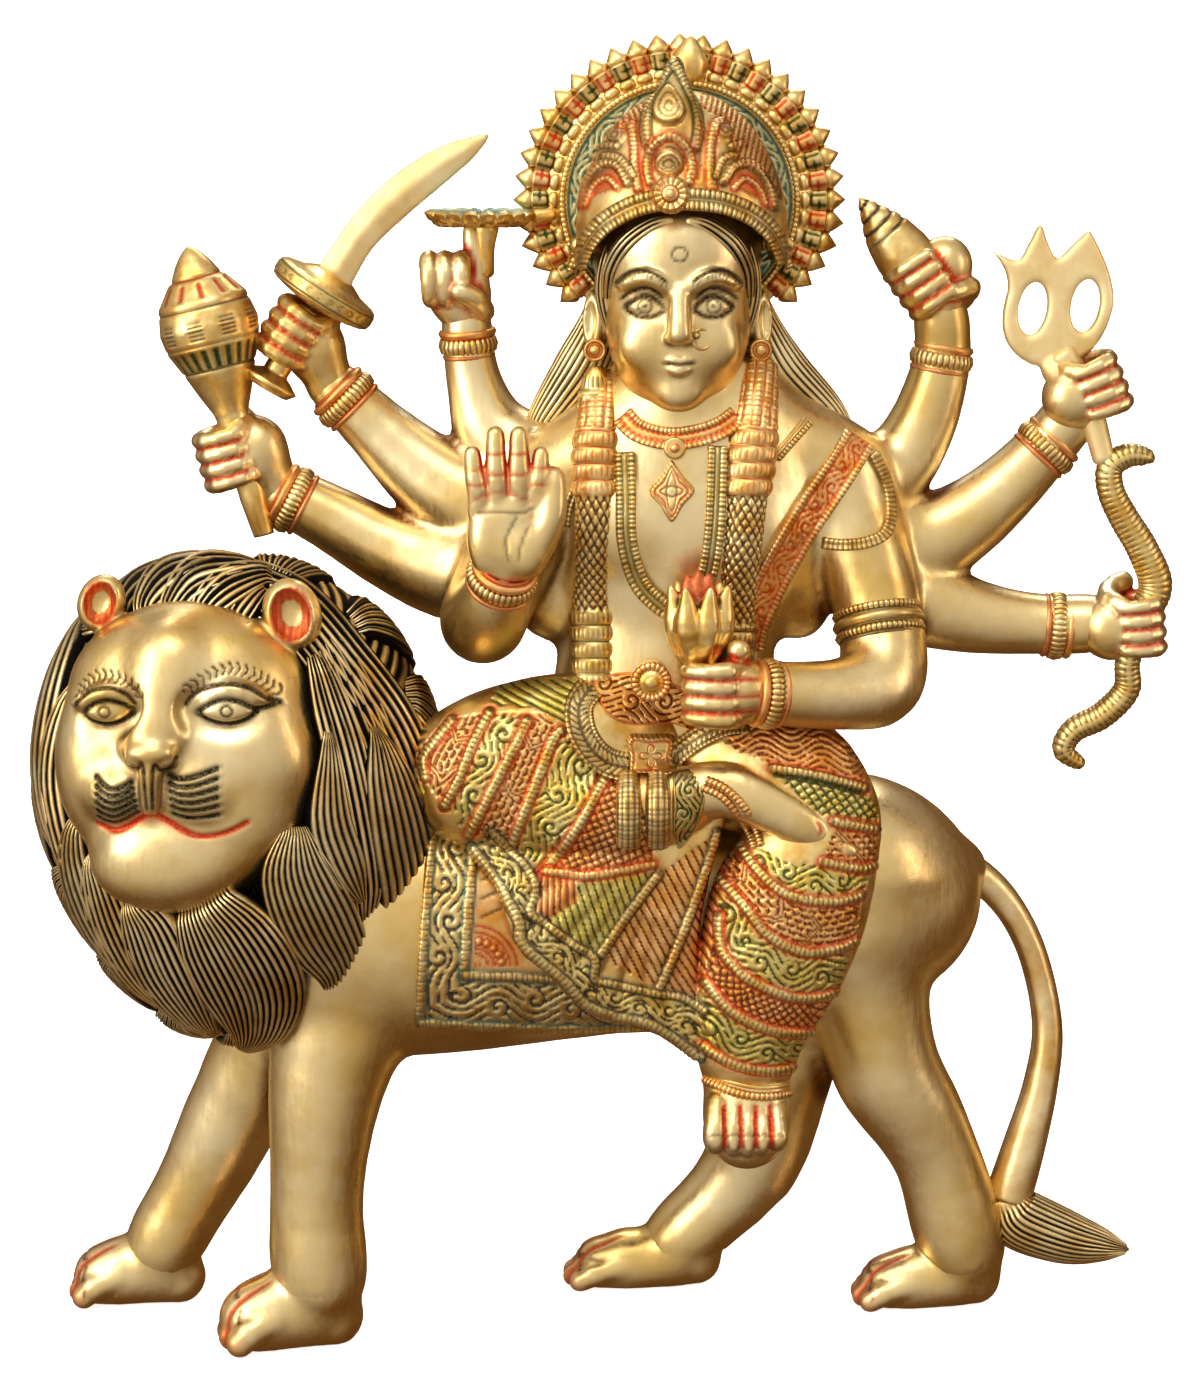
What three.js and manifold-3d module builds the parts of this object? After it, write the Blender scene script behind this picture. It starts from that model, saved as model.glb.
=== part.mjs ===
// A cast brass goddess with eight arms, seated side-saddle on a striding lion.
// The whole figure is one casting: weapons, jewels, saddle cloth and lion are one solid.
// Millimetres, +Z up, the viewer looks along +Y, and the soles of the four paws lie on z = 0.
import * as THREE from "three";
import { mergeVertices } from "three/addons/utils/BufferGeometryUtils.js";
import Module from "manifold-3d";

const wasm = await Module();
wasm.setup();

// Driving sizes. The pose is drawn for a figure 500 mm tall and follows the height.
const statueHeight = 508;
const drawnHeight = 500;
const share = statueHeight / drawnHeight;

const haloRadius = 50.5 * share;
const haloThickness = 7 * share;
const budCount = 25;
const budLength = 12.5 * share;
const budRadius = 4.6 * share;
const bangleWidth = 6 * share;
const bangleRise = 2.4 * share;
const fingerRadius = 3.5 * share;
const bladeThickness = 5 * share;
const tridentThickness = 6 * share;
const discRadius = 22 * share;
const discThickness = 4.5 * share;
const petalCount = 14;
const clothThickness = 4 * share;
const borderWidth = 6 * share;
const borderRise = 2.2 * share;
const pleatDepth = 3.5 * share;
const hemWidth = 6.5 * share;
const lockRise = 6 * share;
const innerLockCount = 15;
const outerLockCount = 18;
const soleDepth = 4 * share;
const seamTolerance = 1.05 * share;

// The box of the drawn pose is centred on the origin by this move.
const originX = -1.654 * share;
const originY = 35.86 * share;

const X = new THREE.Vector3(1, 0, 0);
const Y = new THREE.Vector3(0, 1, 0);
const Z = new THREE.Vector3(0, 0, 1);

function at(x, y, z) {
  return new THREE.Vector3(x, y, z).multiplyScalar(share);
}

// A closed three.js geometry as a solid that can be joined and cut.
function solidOf(geometry) {
  const bare = geometry.index ? geometry.toNonIndexed() : geometry.clone();
  bare.deleteAttribute("normal");
  bare.deleteAttribute("uv");
  const merged = mergeVertices(bare, 1e-4);
  const index = merged.index.array;
  const faces = [];
  for (let i = 0; i < index.length; i += 3) {
    const [a, b, c] = [index[i], index[i + 1], index[i + 2]];
    if (a !== b && b !== c && c !== a) faces.push(a, b, c);
  }
  const mesh = new wasm.Mesh({
    numProp: 3,
    vertProperties: merged.attributes.position.array,
    triVerts: new Uint32Array(faces),
  });
  return new wasm.Manifold(mesh);
}

function join(...solids) {
  return solids.flat(Infinity).reduce((whole, piece) => whole.add(piece));
}

function catmull(a, b, c, d, t) {
  return (
    0.5 *
    (2 * b + (c - a) * t + (2 * a - 5 * b + 4 * c - d) * t * t + (3 * b - a - 3 * c + d) * t ** 3)
  );
}

// Stations [x, y, z, radius] drawn through by a smooth curve, with extra ones between them.
function smoothStations(stations, perSpan) {
  const last = stations.length - 1;
  const found = [];
  for (let i = 0; i < last; i++) {
    const around = [i - 1, i, i + 1, i + 2].map((n) => stations[Math.min(last, Math.max(0, n))]);
    for (let j = 0; j < perSpan; j++) {
      found.push(stations[i].map((_, n) => catmull(...around.map((s) => s[n]), j / perSpan)));
    }
  }
  found.push(stations[last]);
  return found;
}

// A closed skin over rings of points, each ring with the same number of points.
function skin(rings, startPoint, endPoint) {
  const sides = rings[0].length;
  const points = [startPoint, ...rings.flat(), endPoint];
  const end = points.length - 1;
  const index = [];
  rings.forEach((_, r) => {
    for (let s = 0; s < sides; s++) {
      const next = (s + 1) % sides;
      const a = 1 + r * sides + s;
      const b = 1 + r * sides + next;
      if (r === 0) index.push(0, b, a);
      if (r === rings.length - 1) index.push(end, a, b);
      else index.push(a, b, b + sides, a, b + sides, a + sides);
    }
  });
  if (signedVolume(points, index) < 0) index.reverse();
  const geometry = new THREE.BufferGeometry().setFromPoints(points);
  geometry.setIndex(index);
  return solidOf(geometry);
}

function signedVolume(points, index) {
  let volume = 0;
  for (let i = 0; i < index.length; i += 3) {
    const [a, b, c] = [points[index[i]], points[index[i + 1]], points[index[i + 2]]];
    volume += a.dot(new THREE.Vector3().crossVectors(b, c)) / 6;
  }
  return volume;
}

function middleOf(ring) {
  return ring.reduce((sum, p) => sum.add(p), new THREE.Vector3()).multiplyScalar(1 / ring.length);
}

// Stations with a raised band standing out of the limb at the named station.
function banded(stations, index, halfWidth, rise) {
  const here = stations[index];
  const before = stations[Math.max(0, index - 1)];
  const after = stations[Math.min(stations.length - 1, index + 1)];
  const way = direction(after[0] - before[0], after[1] - before[1], after[2] - before[2]);
  const slope = (after[3] - before[3]) / Math.hypot(...[0, 1, 2].map((n) => after[n] - before[n]));
  const ring = (offset, extra) => [
    here[0] + way.x * offset,
    here[1] + way.y * offset,
    here[2] + way.z * offset,
    here[3] + slope * offset + extra,
  ];
  const raised = [
    ring(-halfWidth, 0),
    ring(-0.7 * halfWidth, rise),
    ring(0.7 * halfWidth, rise),
    ring(halfWidth, 0),
  ];
  return [...stations.slice(0, index), ...raised, ...stations.slice(index + 1)];
}

// A limb: a round or flattened tube through stations, with rounded ends.
// deep is its thickness towards the viewer as a share of its width.
function limb(stations, { sides = 8, perSpan = 2, deep = 1, reference = Y, tip = 0.7 } = {}) {
  const path = smoothStations(stations, perSpan);
  const centres = path.map((s) => at(s[0], s[1], s[2]));
  const last = path.length - 1;
  const rings = [];
  const tangents = centres.map((_, i) =>
    centres[Math.min(last, i + 1)].clone().sub(centres[Math.max(0, i - 1)]).normalize(),
  );
  const ring = (centre, tangent, radius) => {
    const across = new THREE.Vector3().crossVectors(tangent, reference).normalize();
    const outward = new THREE.Vector3().crossVectors(tangent, across).normalize();
    return Array.from({ length: sides }, (_, s) => {
      const angle = (2 * Math.PI * s) / sides;
      return centre
        .clone()
        .addScaledVector(across, radius * Math.cos(angle))
        .addScaledVector(outward, radius * deep * Math.sin(angle));
    });
  };
  const beyond = (i, share01) => {
    const way = i === 0 ? -1 : 1;
    return centres[i].clone().addScaledVector(tangents[i], way * share01 * path[i][3] * share);
  };
  rings.push(ring(beyond(0, 0.55 * tip), tangents[0], path[0][3] * share * 0.72));
  path.forEach((s, i) => rings.push(ring(centres[i], tangents[i], s[3] * share)));
  rings.push(ring(beyond(last, 0.55 * tip), tangents[last], path[last][3] * share * 0.72));
  return skin(rings, beyond(0, tip), beyond(last, tip));
}

// An ellipsoid: radii along its own axes, then turned about Y by tilt degrees.
function egg([x, y, z], [rx, ry, rz], { wide = 10, high = 7, tilt = 0 } = {}) {
  const geometry = new THREE.SphereGeometry(1, wide, high);
  geometry.rotateX(Math.PI / 2);
  geometry.scale(rx * share, ry * share, rz * share);
  geometry.rotateY(THREE.MathUtils.degToRad(tilt));
  geometry.translate(x * share, y * share, z * share);
  return solidOf(geometry);
}

// Turns a geometry drawn along +Y onto a line from one point to another.
function along(geometry, from, to) {
  const way = to.clone().sub(from).normalize();
  geometry.applyQuaternion(new THREE.Quaternion().setFromUnitVectors(Y, way));
  return geometry.translate(from.x, from.y, from.z);
}

// A turned piece: [distance along the axis, radius] pairs, closed on the axis.
function turned(profile, from, to, sides = 9) {
  const outline = profile.map(([distance, radius]) => new THREE.Vector2(radius * share, distance * share));
  return solidOf(along(new THREE.LatheGeometry(outline, sides), from, to));
}

// A flat strip laid along a path, such as a necklace or a hem.
function strip(stations, width, thickness, perSpan = 3) {
  const path = smoothStations(stations, perSpan);
  return limb(
    path.map(([x, y, z]) => [x, y, z, width / 2 / share]),
    { sides: 4, perSpan: 1, deep: (2 * thickness) / width, tip: 0.2 },
  );
}

const direction = (x, y, z) => new THREE.Vector3(x, y, z).normalize();

// A fist round a shaft. grip runs along the shaft, reach from the wrist to the knuckles.
// The four fingers are one row of rolls round the shaft, and the thumb crosses them.
function fist({ centre, grip, reach, shaft, palm = 8, startTurn = -70, endTurn = 130, thumb = 1 }) {
  const g = grip.clone().normalize();
  const f = reach.clone().addScaledVector(g, -reach.dot(g)).normalize();
  const o = new THREE.Vector3().crossVectors(g, f);
  const curl = shaft * share + fingerRadius;
  const pitch = 1.75 * fingerRadius;
  const point = (alongGrip, turn, radius) =>
    at(...centre)
      .addScaledVector(g, alongGrip)
      .addScaledVector(f, radius * Math.cos(turn))
      .addScaledVector(o, radius * Math.sin(turn));
  const rings = [0, 1, 2, 3].map((n) => {
    const turn = THREE.MathUtils.degToRad(startTurn + ((endTurn - startTurn) * n) / 3);
    const thin = 1 - 0.05 * n;
    const outer = Array.from({ length: 9 }, (_, i) => {
      const roll = i % 2 ? 1 : 0.35;
      return point((i - 4) * 0.5 * pitch * thin, turn, curl + fingerRadius * roll * thin);
    });
    const inner = [1.7, -1.7].map((i) => point(i * pitch * thin, turn, curl - fingerRadius));
    return [...outer, ...inner];
  });
  const row = skin(rings, middleOf(rings[0]), middleOf(rings[3]));
  const thumbStations = [0, 1, 2].map((n) => {
    const turn = THREE.MathUtils.degToRad(startTurn - 50 - 55 * n);
    const p = point((2.5 - 0.3 * n) * pitch * thumb, turn, curl);
    return [...p.toArray().map((v) => v / share), (fingerRadius * (1.15 - 0.08 * n)) / share];
  });
  const heel = at(...centre).addScaledVector(f, -0.75 * palm * share);
  return [
    row,
    limb(thumbStations, { sides: 5, perSpan: 1, reference: g }),
    egg(heel.toArray().map((v) => v / share), [palm, palm * 0.8, palm * 1.1], { wide: 7, high: 5 }),
  ];
}

// The lion

const maneCentre = [-137, -36, 213.5];
const maneRadii = [79.5, 54, 99];
const maneTaper = 0.12;
const faceCentre = [-155, 235];
const faceRim = [46, 56];

// The lion's barrel as stations [x, y, z, radius], a little flattened towards the viewer.
const barrelFlatness = 0.82;
const barrel = [
  [-104, -32, 162, 49],
  [-60, -27, 158, 52],
  [0, -20, 157, 47],
  [60, -10, 158, 44],
  [92, -4, 168, 43],
  [112, -1, 167, 36],
];

// How far towards the viewer the barrel's side stands at a place along it.
function barrelDepth(x, z) {
  const next = Math.max(1, barrel.findIndex((station) => station[0] >= x));
  const before = barrel[next - 1];
  const t = (x - before[0]) / (barrel[next][0] - before[0]);
  const [, y, middle, radius] = before.map((value, n) => value + (barrel[next][n] - value) * t);
  return y - barrelFlatness * Math.sqrt(Math.max(0, radius ** 2 - (z - middle) ** 2));
}

function lionBody() {
  const trunk = limb(barrel, { sides: 12, perSpan: 1, deep: barrelFlatness });
  const nearForeleg = limb(
    [
      [-98, -40, 134, 27],
      [-105, -46, 103, 20.5],
      [-108, -48, 77, 17],
      [-109.5, -48, 50, 16],
      [-108.5, -48, 27, 19],
    ],
    { sides: 9, perSpan: 1 },
  );
  const farForeleg = limb(
    [
      [-112, -14, 148, 29],
      [-129, -10, 112, 20.5],
      [-146, -6, 78, 17.5],
      [-156, -4, 57, 15.5],
      [-168, -3, 36, 14],
      [-176, -3, 20, 14],
    ],
    { sides: 8, perSpan: 1 },
  );
  const nearHindLeg = limb(
    [
      [100, -6, 176, 38],
      [103, -10, 142, 27],
      [109, -12, 119, 22],
      [115.5, -12, 97, 21],
      [125.5, -10, 80, 18.5],
      [135, -8, 60, 15.5],
      [140.5, -6, 40, 16],
      [145.5, -5, 21, 17],
    ],
    { sides: 9, perSpan: 1 },
  );
  const farHindLeg = limb(
    [
      [82, 10, 142, 28],
      [68, 14, 98, 26],
      [66, 16, 72, 20.5],
      [61, 17, 50, 17],
      [42, 18, 28, 14],
      [30, 18, 17, 13],
    ],
    { sides: 8, perSpan: 1 },
  );
  const tail = limb(
    [
      [124, 2, 180, 11],
      [144, 8, 175.5, 7.4],
      [160, 10, 162.5, 6],
      [172, 10, 141, 5.6],
      [178.5, 8, 112, 6],
      [176, 4, 88, 7],
      [169, 0, 62, 8.6],
      [163, -2, 42, 9.4],
    ],
    { sides: 6, perSpan: 1 },
  );
  const tuft = limb(
    [
      [163, -2, 44, 10],
      [168, -3, 34, 12.5],
      [186, -4, 27, 11],
      [201, -4, 23.5, 7],
      [212, -4, 21.5, 2],
    ],
    { sides: 6, perSpan: 1 },
  );
  return [trunk, nearForeleg, farForeleg, nearHindLeg, farHindLeg, tail, tuft];
}

// A paw: three toes side by side with furrows between them, reaching below the floor to be cut flat.
function paw(heel, toe, width, height) {
  const way = direction(toe[0] - heel[0], toe[1] - heel[1], 0);
  const sideways = new THREE.Vector3().crossVectors(Z, way);
  const length = Math.hypot(toe[0] - heel[0], toe[1] - heel[1]);
  const ring = (reached, wide, high, furrow) => {
    const foot = at(heel[0], heel[1], 0).addScaledVector(way, reached * length * share);
    const half = width * wide * share;
    const top = Array.from({ length: 7 }, (_, i) => {
      const across = (i - 3) / 3;
      const crest = i % 2 ? 0 : furrow;
      const round = Math.sqrt(1 - (0.78 * across) ** 2);
      const level = height * high * (i === 0 || i === 6 ? 0.5 : round - crest) * share;
      return foot.clone().addScaledVector(sideways, across * half).setZ(level);
    });
    const under = [0.7, -0.7].map((u) => foot.clone().addScaledVector(sideways, u * half).setZ(-soleDepth));
    return [...top, ...under];
  };
  const rings = [
    ring(-0.04, 0.6, 0.6, 0),
    ring(0.15, 0.85, 0.9, 0),
    ring(0.6, 0.95, 1, 0.08),
    ring(0.88, 1, 0.88, 0.24),
    ring(1.07, 0.85, 0.5, 0.2),
  ];
  return skin(rings, middleOf(rings[0]), middleOf(rings[4]));
}

function lionPaws() {
  return [
    paw([-105, -46], [-145, -54], 17, 27),
    paw([-170, -2], [-211, -3], 15, 26),
    paw([149, -5], [102, -6], 14, 21),
    paw([38, 18], [-14, 18], 14, 20),
  ];
}

function maneDepth(x, z) {
  const [cx, cy, cz] = maneCentre;
  const [rx, ry, rz] = maneRadii;
  const level = (z - cz) / rz;
  const inside = 1 - ((x - cx) / (rx * (1 + maneTaper * level))) ** 2 - level ** 2;
  return cy - ry * Math.sqrt(Math.max(0, inside));
}

// A layer of locks: a star of ridged leaves round the face, swept downwards at the tips.
function lockLayer(count, rise, rootShare, tipShare, offset) {
  const outlinePoint = (n, toOutline, lift) => {
    const turn = (Math.PI * (n + 2 * offset)) / count;
    const tipTurn = turn - THREE.MathUtils.degToRad(24) * Math.cos(turn) * toOutline;
    const rimX = faceCentre[0] + faceRim[0] * Math.cos(turn);
    const rimZ = faceCentre[1] + faceRim[1] * Math.sin(turn);
    const outX = maneCentre[0] + maneRadii[0] * Math.cos(tipTurn) * (1 + maneTaper * Math.sin(tipTurn));
    const outZ = maneCentre[2] + maneRadii[2] * Math.sin(tipTurn);
    const x = rimX + (outX - rimX) * toOutline;
    const z = rimZ + (outZ - rimZ) * toOutline;
    return at(x, maneDepth(x, z) - lift, z);
  };
  const ring = (toOutline, ridge, groove, scallop) =>
    Array.from({ length: 2 * count }, (_, n) => {
      const crest = n % 2 === 0;
      return outlinePoint(n, crest ? toOutline : toOutline - scallop, crest ? ridge : groove);
    });
  const reach = tipShare - rootShare;
  const rings = [
    ring(rootShare, 0.25 * rise, 0.1 * rise, 0),
    ring(rootShare + 0.45 * reach, rise, 0.4 * rise, 0),
    ring(rootShare + 0.8 * reach, 0.9 * rise, 0.2 * rise, 0.02),
    ring(tipShare, 0.1 * rise, -0.2 * rise, 0.16),
    ring(tipShare - 0.08, -1.6 * rise, -1.6 * rise, 0.12),
  ];
  const [x, y, z] = [faceCentre[0], maneDepth(...faceCentre), faceCentre[1]];
  return skin(rings, at(x, y, z), at(x, y + 30, z));
}

function mane() {
  const ball = new THREE.SphereGeometry(0.93 * share, 16, 11);
  ball.rotateX(Math.PI / 2);
  const spot = ball.attributes.position;
  for (let i = 0; i < spot.count; i++) spot.setX(i, spot.getX(i) * (1 + (maneTaper * spot.getZ(i)) / share));
  ball.scale(...maneRadii);
  const middle = at(...maneCentre);
  const base = solidOf(ball.translate(middle.x, middle.y, middle.z));
  return [
    base,
    lockLayer(outerLockCount, lockRise / share, 0.3, 0.97, 0.5),
    lockLayer(innerLockCount, (1.5 * lockRise) / share, 0, 0.56, 0),
  ];
}

function lionFace() {
  const skull = egg([-154, -68, 236], [47, 35, 57], { wide: 14, high: 10 });
  const muzzle = [
    [-147, -91, 227],
    [-174, -90, 226],
  ].map((c) => egg(c, [15.5, 14, 11.5], { wide: 8, high: 6 }));
  const chin = egg([-161, -87, 204], [23, 15.5, 14], { wide: 8, high: 6 });
  const bridge = limb(
    [
      [-157, -86, 272, 10],
      [-159, -93, 259, 9],
      [-161, -99, 249, 8.5],
      [-162, -103, 241, 8],
    ],
    { sides: 6, perSpan: 1 },
  );
  const nose = egg([-162, -106.8, 242.5], [10.5, 5, 5], { wide: 8, high: 5 });
  const eyes = [
    egg([-178.5, -89, 256.6], [9.5, 5, 5.2], { wide: 7, high: 5 }),
    egg([-135, -92.5, 257.6], [11, 5, 5.6], { wide: 7, high: 5 }),
  ];
  const brows = [
    [-178.5, -90, 264],
    [-134, -92.5, 265],
  ].map(([x, y, z]) =>
    limb(
      [
        [x - 12, y + 3, z - 4, 3],
        [x, y - 1, z + 1, 3.5],
        [x + 12, y + 2, z - 3, 3],
      ],
      { sides: 5, perSpan: 1 },
    ),
  );
  const ears = [
    [-184, -60, 292, 9, 20],
    [-113, -53, 289.5, 10.8, -14],
  ].map(([x, y, z, size, tilt]) => {
    const shell = egg([x, y, z], [size, size * 0.7, size * 1.25], { wide: 8, high: 5, tilt });
    const hollow = [size * 0.62, size * 0.5, size * 0.85];
    const bowl = egg([x, y - size * 0.6, z + 1], hollow, { wide: 6, high: 4, tilt });
    return shell.subtract(bowl);
  });
  return [skull, muzzle, chin, bridge, nose, eyes, brows, ears];
}

// The goddess

function torso() {
  const trunk = limb(
    [
      [25, -24, 236, 43],
      [25, -23, 262, 38],
      [28, -22, 290, 37],
      [34, -22, 314, 49],
      [35, -22, 336, 48],
      [33, -23, 352, 32],
    ],
    { sides: 12, perSpan: 1, deep: 0.62, tip: 0.4 },
  );
  const shoulders = limb(
    [
      [-18, -18, 333, 18],
      [8, -21, 347, 17],
      [34, -22, 352, 17],
      [64, -20, 348, 17],
      [92, -16, 333, 21],
    ],
    { sides: 8, perSpan: 1 },
  );
  const armpits = [
    [-20, -20, 296, 15, 12, 24],
    [77, -19, 298, 14, 12, 26],
  ].map(([x, y, z, rx, ry, rz]) => egg([x, y, z], [rx, ry, rz], { wide: 8, high: 6 }));
  const breasts = [
    [10, -42, 318],
    [52, -42, 318],
  ].map((c) => egg(c, [17, 12, 17], { wide: 8, high: 5 }));
  const neck = limb(
    [
      [32, -24, 344, 23],
      [31, -27, 358, 19],
      [30, -30, 376, 19],
    ],
    { sides: 8, perSpan: 1 },
  );
  return [trunk, shoulders, armpits, breasts, neck];
}

function head() {
  const skull = egg([29, -33, 396], [28, 26, 35], { wide: 12, high: 9 });
  const jaw = egg([29, -40, 378], [19, 16, 17], { wide: 8, high: 5 });
  const nose = limb(
    [
      [29, -57, 404, 2.6],
      [29, -60, 396, 3.2],
      [29, -62, 390, 4.4],
    ],
    { sides: 5, perSpan: 1 },
  );
  const lips = egg([29, -56.5, 381], [7.5, 3.4, 3.2], { wide: 7, high: 5 });
  const lids = [16, 42].map((x) => egg([x, -54.5, 400], [7, 3.6, 3.6], { wide: 7, high: 5 }));
  const ears = [-1, 61].map((x) => egg([x, -26, 393], [4.5, 6, 12], { wide: 6, high: 5 }));
  const earrings = [-1, 60].map((x) => [
    egg([x, -32, 377], [5, 4.5, 5], { wide: 6, high: 4 }),
    turned(
      [
        [0, 0],
        [0, 7.5],
        [11, 4],
        [14, 0],
      ],
      at(x, -33, 361),
      at(x, -33, 376),
      6,
    ),
  ]);
  const hair = [
    [3, -12, 402, -8, -9, 378, -22, -6, 352],
    [57, -12, 400, 72, -9, 374, 92, -6, 350],
  ].map(([ax, ay, az, bx, by, bz, cx, cy, cz]) =>
    limb(
      [
        [ax, ay, az, 8],
        [bx, by, bz, 8.5],
        [cx, cy, cz, 8],
      ],
      { sides: 5, perSpan: 1, deep: 0.6 },
    ),
  );
  return [skull, jaw, nose, lips, lids, ears, earrings, hair];
}

// The crown: a ribbed dome with a rolled brow band, five raised crests and a rosette.
function crown() {
  const dome = egg([29, -28, 424], [38, 33, 55], { wide: 14, high: 10 });
  const brow = Array.from({ length: 11 }, (_, n) => {
    const turn = THREE.MathUtils.degToRad(195 + 15 * n);
    return [29 + 38 * Math.cos(turn), -26 + 35 * Math.sin(turn), 425 - 9 * Math.sin(turn) - 1, 5];
  });
  const band = limb(brow, { sides: 5, perSpan: 1, reference: Z });
  const crests = [-2, -1, 0, 1, 2].map((n) => {
    const lean = n * 9;
    const high = 24 - 4 * Math.abs(n);
    return limb(
      [
        [29 + n * 12, -60 + Math.abs(n) * 3.5, 440, 6],
        [29 + n * 12 + lean * 0.3, -57 + Math.abs(n) * 3.5, 440 + high * 0.5, 6.5],
        [29 + n * 12 + lean * 0.6, -48 + Math.abs(n) * 3.5, 440 + high, 2.5],
      ],
      { sides: 5, perSpan: 1, deep: 0.7 },
    );
  });
  const rosette = egg([27, -65, 437], [6.5, 4, 6.5], { wide: 7, high: 4 });
  const peak = limb(
    [
      [27, -56, 455, 7],
      [27, -52, 466, 9],
      [28, -40, 484, 3],
    ],
    { sides: 5, perSpan: 1, deep: 0.7 },
  );
  return [dome, band, crests, rosette, peak];
}

// The halo: a plate whose edge is a fringe of lotus buds, open below where the shoulders are.
function halo() {
  const centre = at(30, -4, 437);
  const spread = THREE.MathUtils.degToRad(258);
  const step = spread / budCount;
  const outline = Array.from({ length: budCount }, (_, n) => {
    const middle = Math.PI / 2 + spread / 2 - step * (n + 0.5);
    const budEdge = budRadius / (haloRadius + 0.4 * budLength);
    return [
      [haloRadius, middle + 0.48 * step],
      [haloRadius + 0.45 * budLength, middle + budEdge],
      [haloRadius + budLength, middle],
      [haloRadius + 0.45 * budLength, middle - budEdge],
    ].map(([radius, turn]) => new THREE.Vector2(radius * Math.cos(turn), radius * Math.sin(turn)));
  }).flat();
  const plate = (shape, depth) => {
    const geometry = new THREE.ExtrudeGeometry(shape, { depth, bevelEnabled: false });
    geometry.translate(0, 0, -depth / 2);
    geometry.rotateX(Math.PI / 2);
    return solidOf(geometry.translate(centre.x, centre.y, centre.z));
  };
  const inner = outline.filter((_, n) => n % 4 === 0).map((p) => p.clone().multiplyScalar(0.86));
  const pinnacle = turned(
    [
      [0, 0],
      [0, 5],
      [7, 7],
      [18, 0],
    ],
    at(31, -9, 481),
    at(31, -9, 499),
    6,
  );
  const fringe = plate(new THREE.Shape(outline), haloThickness);
  const raised = plate(new THREE.Shape(inner), haloThickness + 4 * share);
  return [fringe, raised, pinnacle];
}

const arms = {
  raisedPalm: [
    [-15, -22, 332, 18],
    [-32, -30, 308, 16.5],
    [-44, -36, 282, 15.5],
    [-41, -52, 287, 13.5],
    [-36, -64, 302, 11],
  ],
  mace: [
    [-18, -12, 314, 21],
    [-50, -8, 297, 20],
    [-77, -6, 302, 15],
    [-103, -6, 316, 12],
    [-124, -7, 327, 10.5],
  ],
  sword: [
    [-16, -8, 328, 20],
    [-48, -6, 323, 17.5],
    [-67, -4, 333.5, 15],
    [-83, -4, 348, 12],
    [-103, -5, 368, 10],
  ],
  disc: [
    [-18, -6, 334, 18],
    [-40, -4, 348, 14],
    [-47, -4, 364, 10],
    [-50, -4, 379, 8.6],
    [-51, -5, 394, 9],
  ],
  lotus: [
    [88, -18, 332, 19],
    [98, -24, 309, 17.5],
    [106, -32, 280, 15.5],
    [106, -43, 259.5, 15.5],
    [92, -54, 256, 12.5],
    [74, -62, 257, 11.3],
    [58, -67, 259, 10.5],
  ],
  serpent: [
    [92, -10, 306, 20],
    [117, -8, 287.5, 17],
    [135, -8, 280.5, 14.5],
    [154, -8, 276.5, 12],
    [176, -8, 275, 10.6],
    [192, -10, 276, 10.6],
  ],
  trident: [
    [92, -6, 318, 19],
    [121, -4, 307, 17],
    [140, -4, 314.5, 14.5],
    [157, -4, 328.5, 12],
    [171, -4, 343.5, 10.4],
    [182, -7, 358, 10],
  ],
  conch: [
    [90, -8, 326, 20],
    [112, -6, 335, 14],
    [123, -4, 351, 12],
    [128.5, -4, 367, 10.5],
    [131, -4, 381, 9.4],
    [129.5, -6, 396, 10],
  ],
};

// The station of each arm that carries its bangle, and for the lotus arm its armlets.
const bangleStations = {
  raisedPalm: [4],
  mace: [3],
  sword: [3],
  disc: [3],
  lotus: [5, 2, 1],
  serpent: [4],
  trident: [4],
  conch: [4],
};

function armsWithBangles() {
  return Object.entries(arms).map(([name, stations]) => {
    const dressed = bangleStations[name].reduce(
      (path, index) => banded(path, index, bangleWidth / 2 / share, bangleRise / share),
      stations,
    );
    return limb(dressed, { sides: 7, perSpan: 1, reference: name === "raisedPalm" ? X : Y });
  });
}

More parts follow.
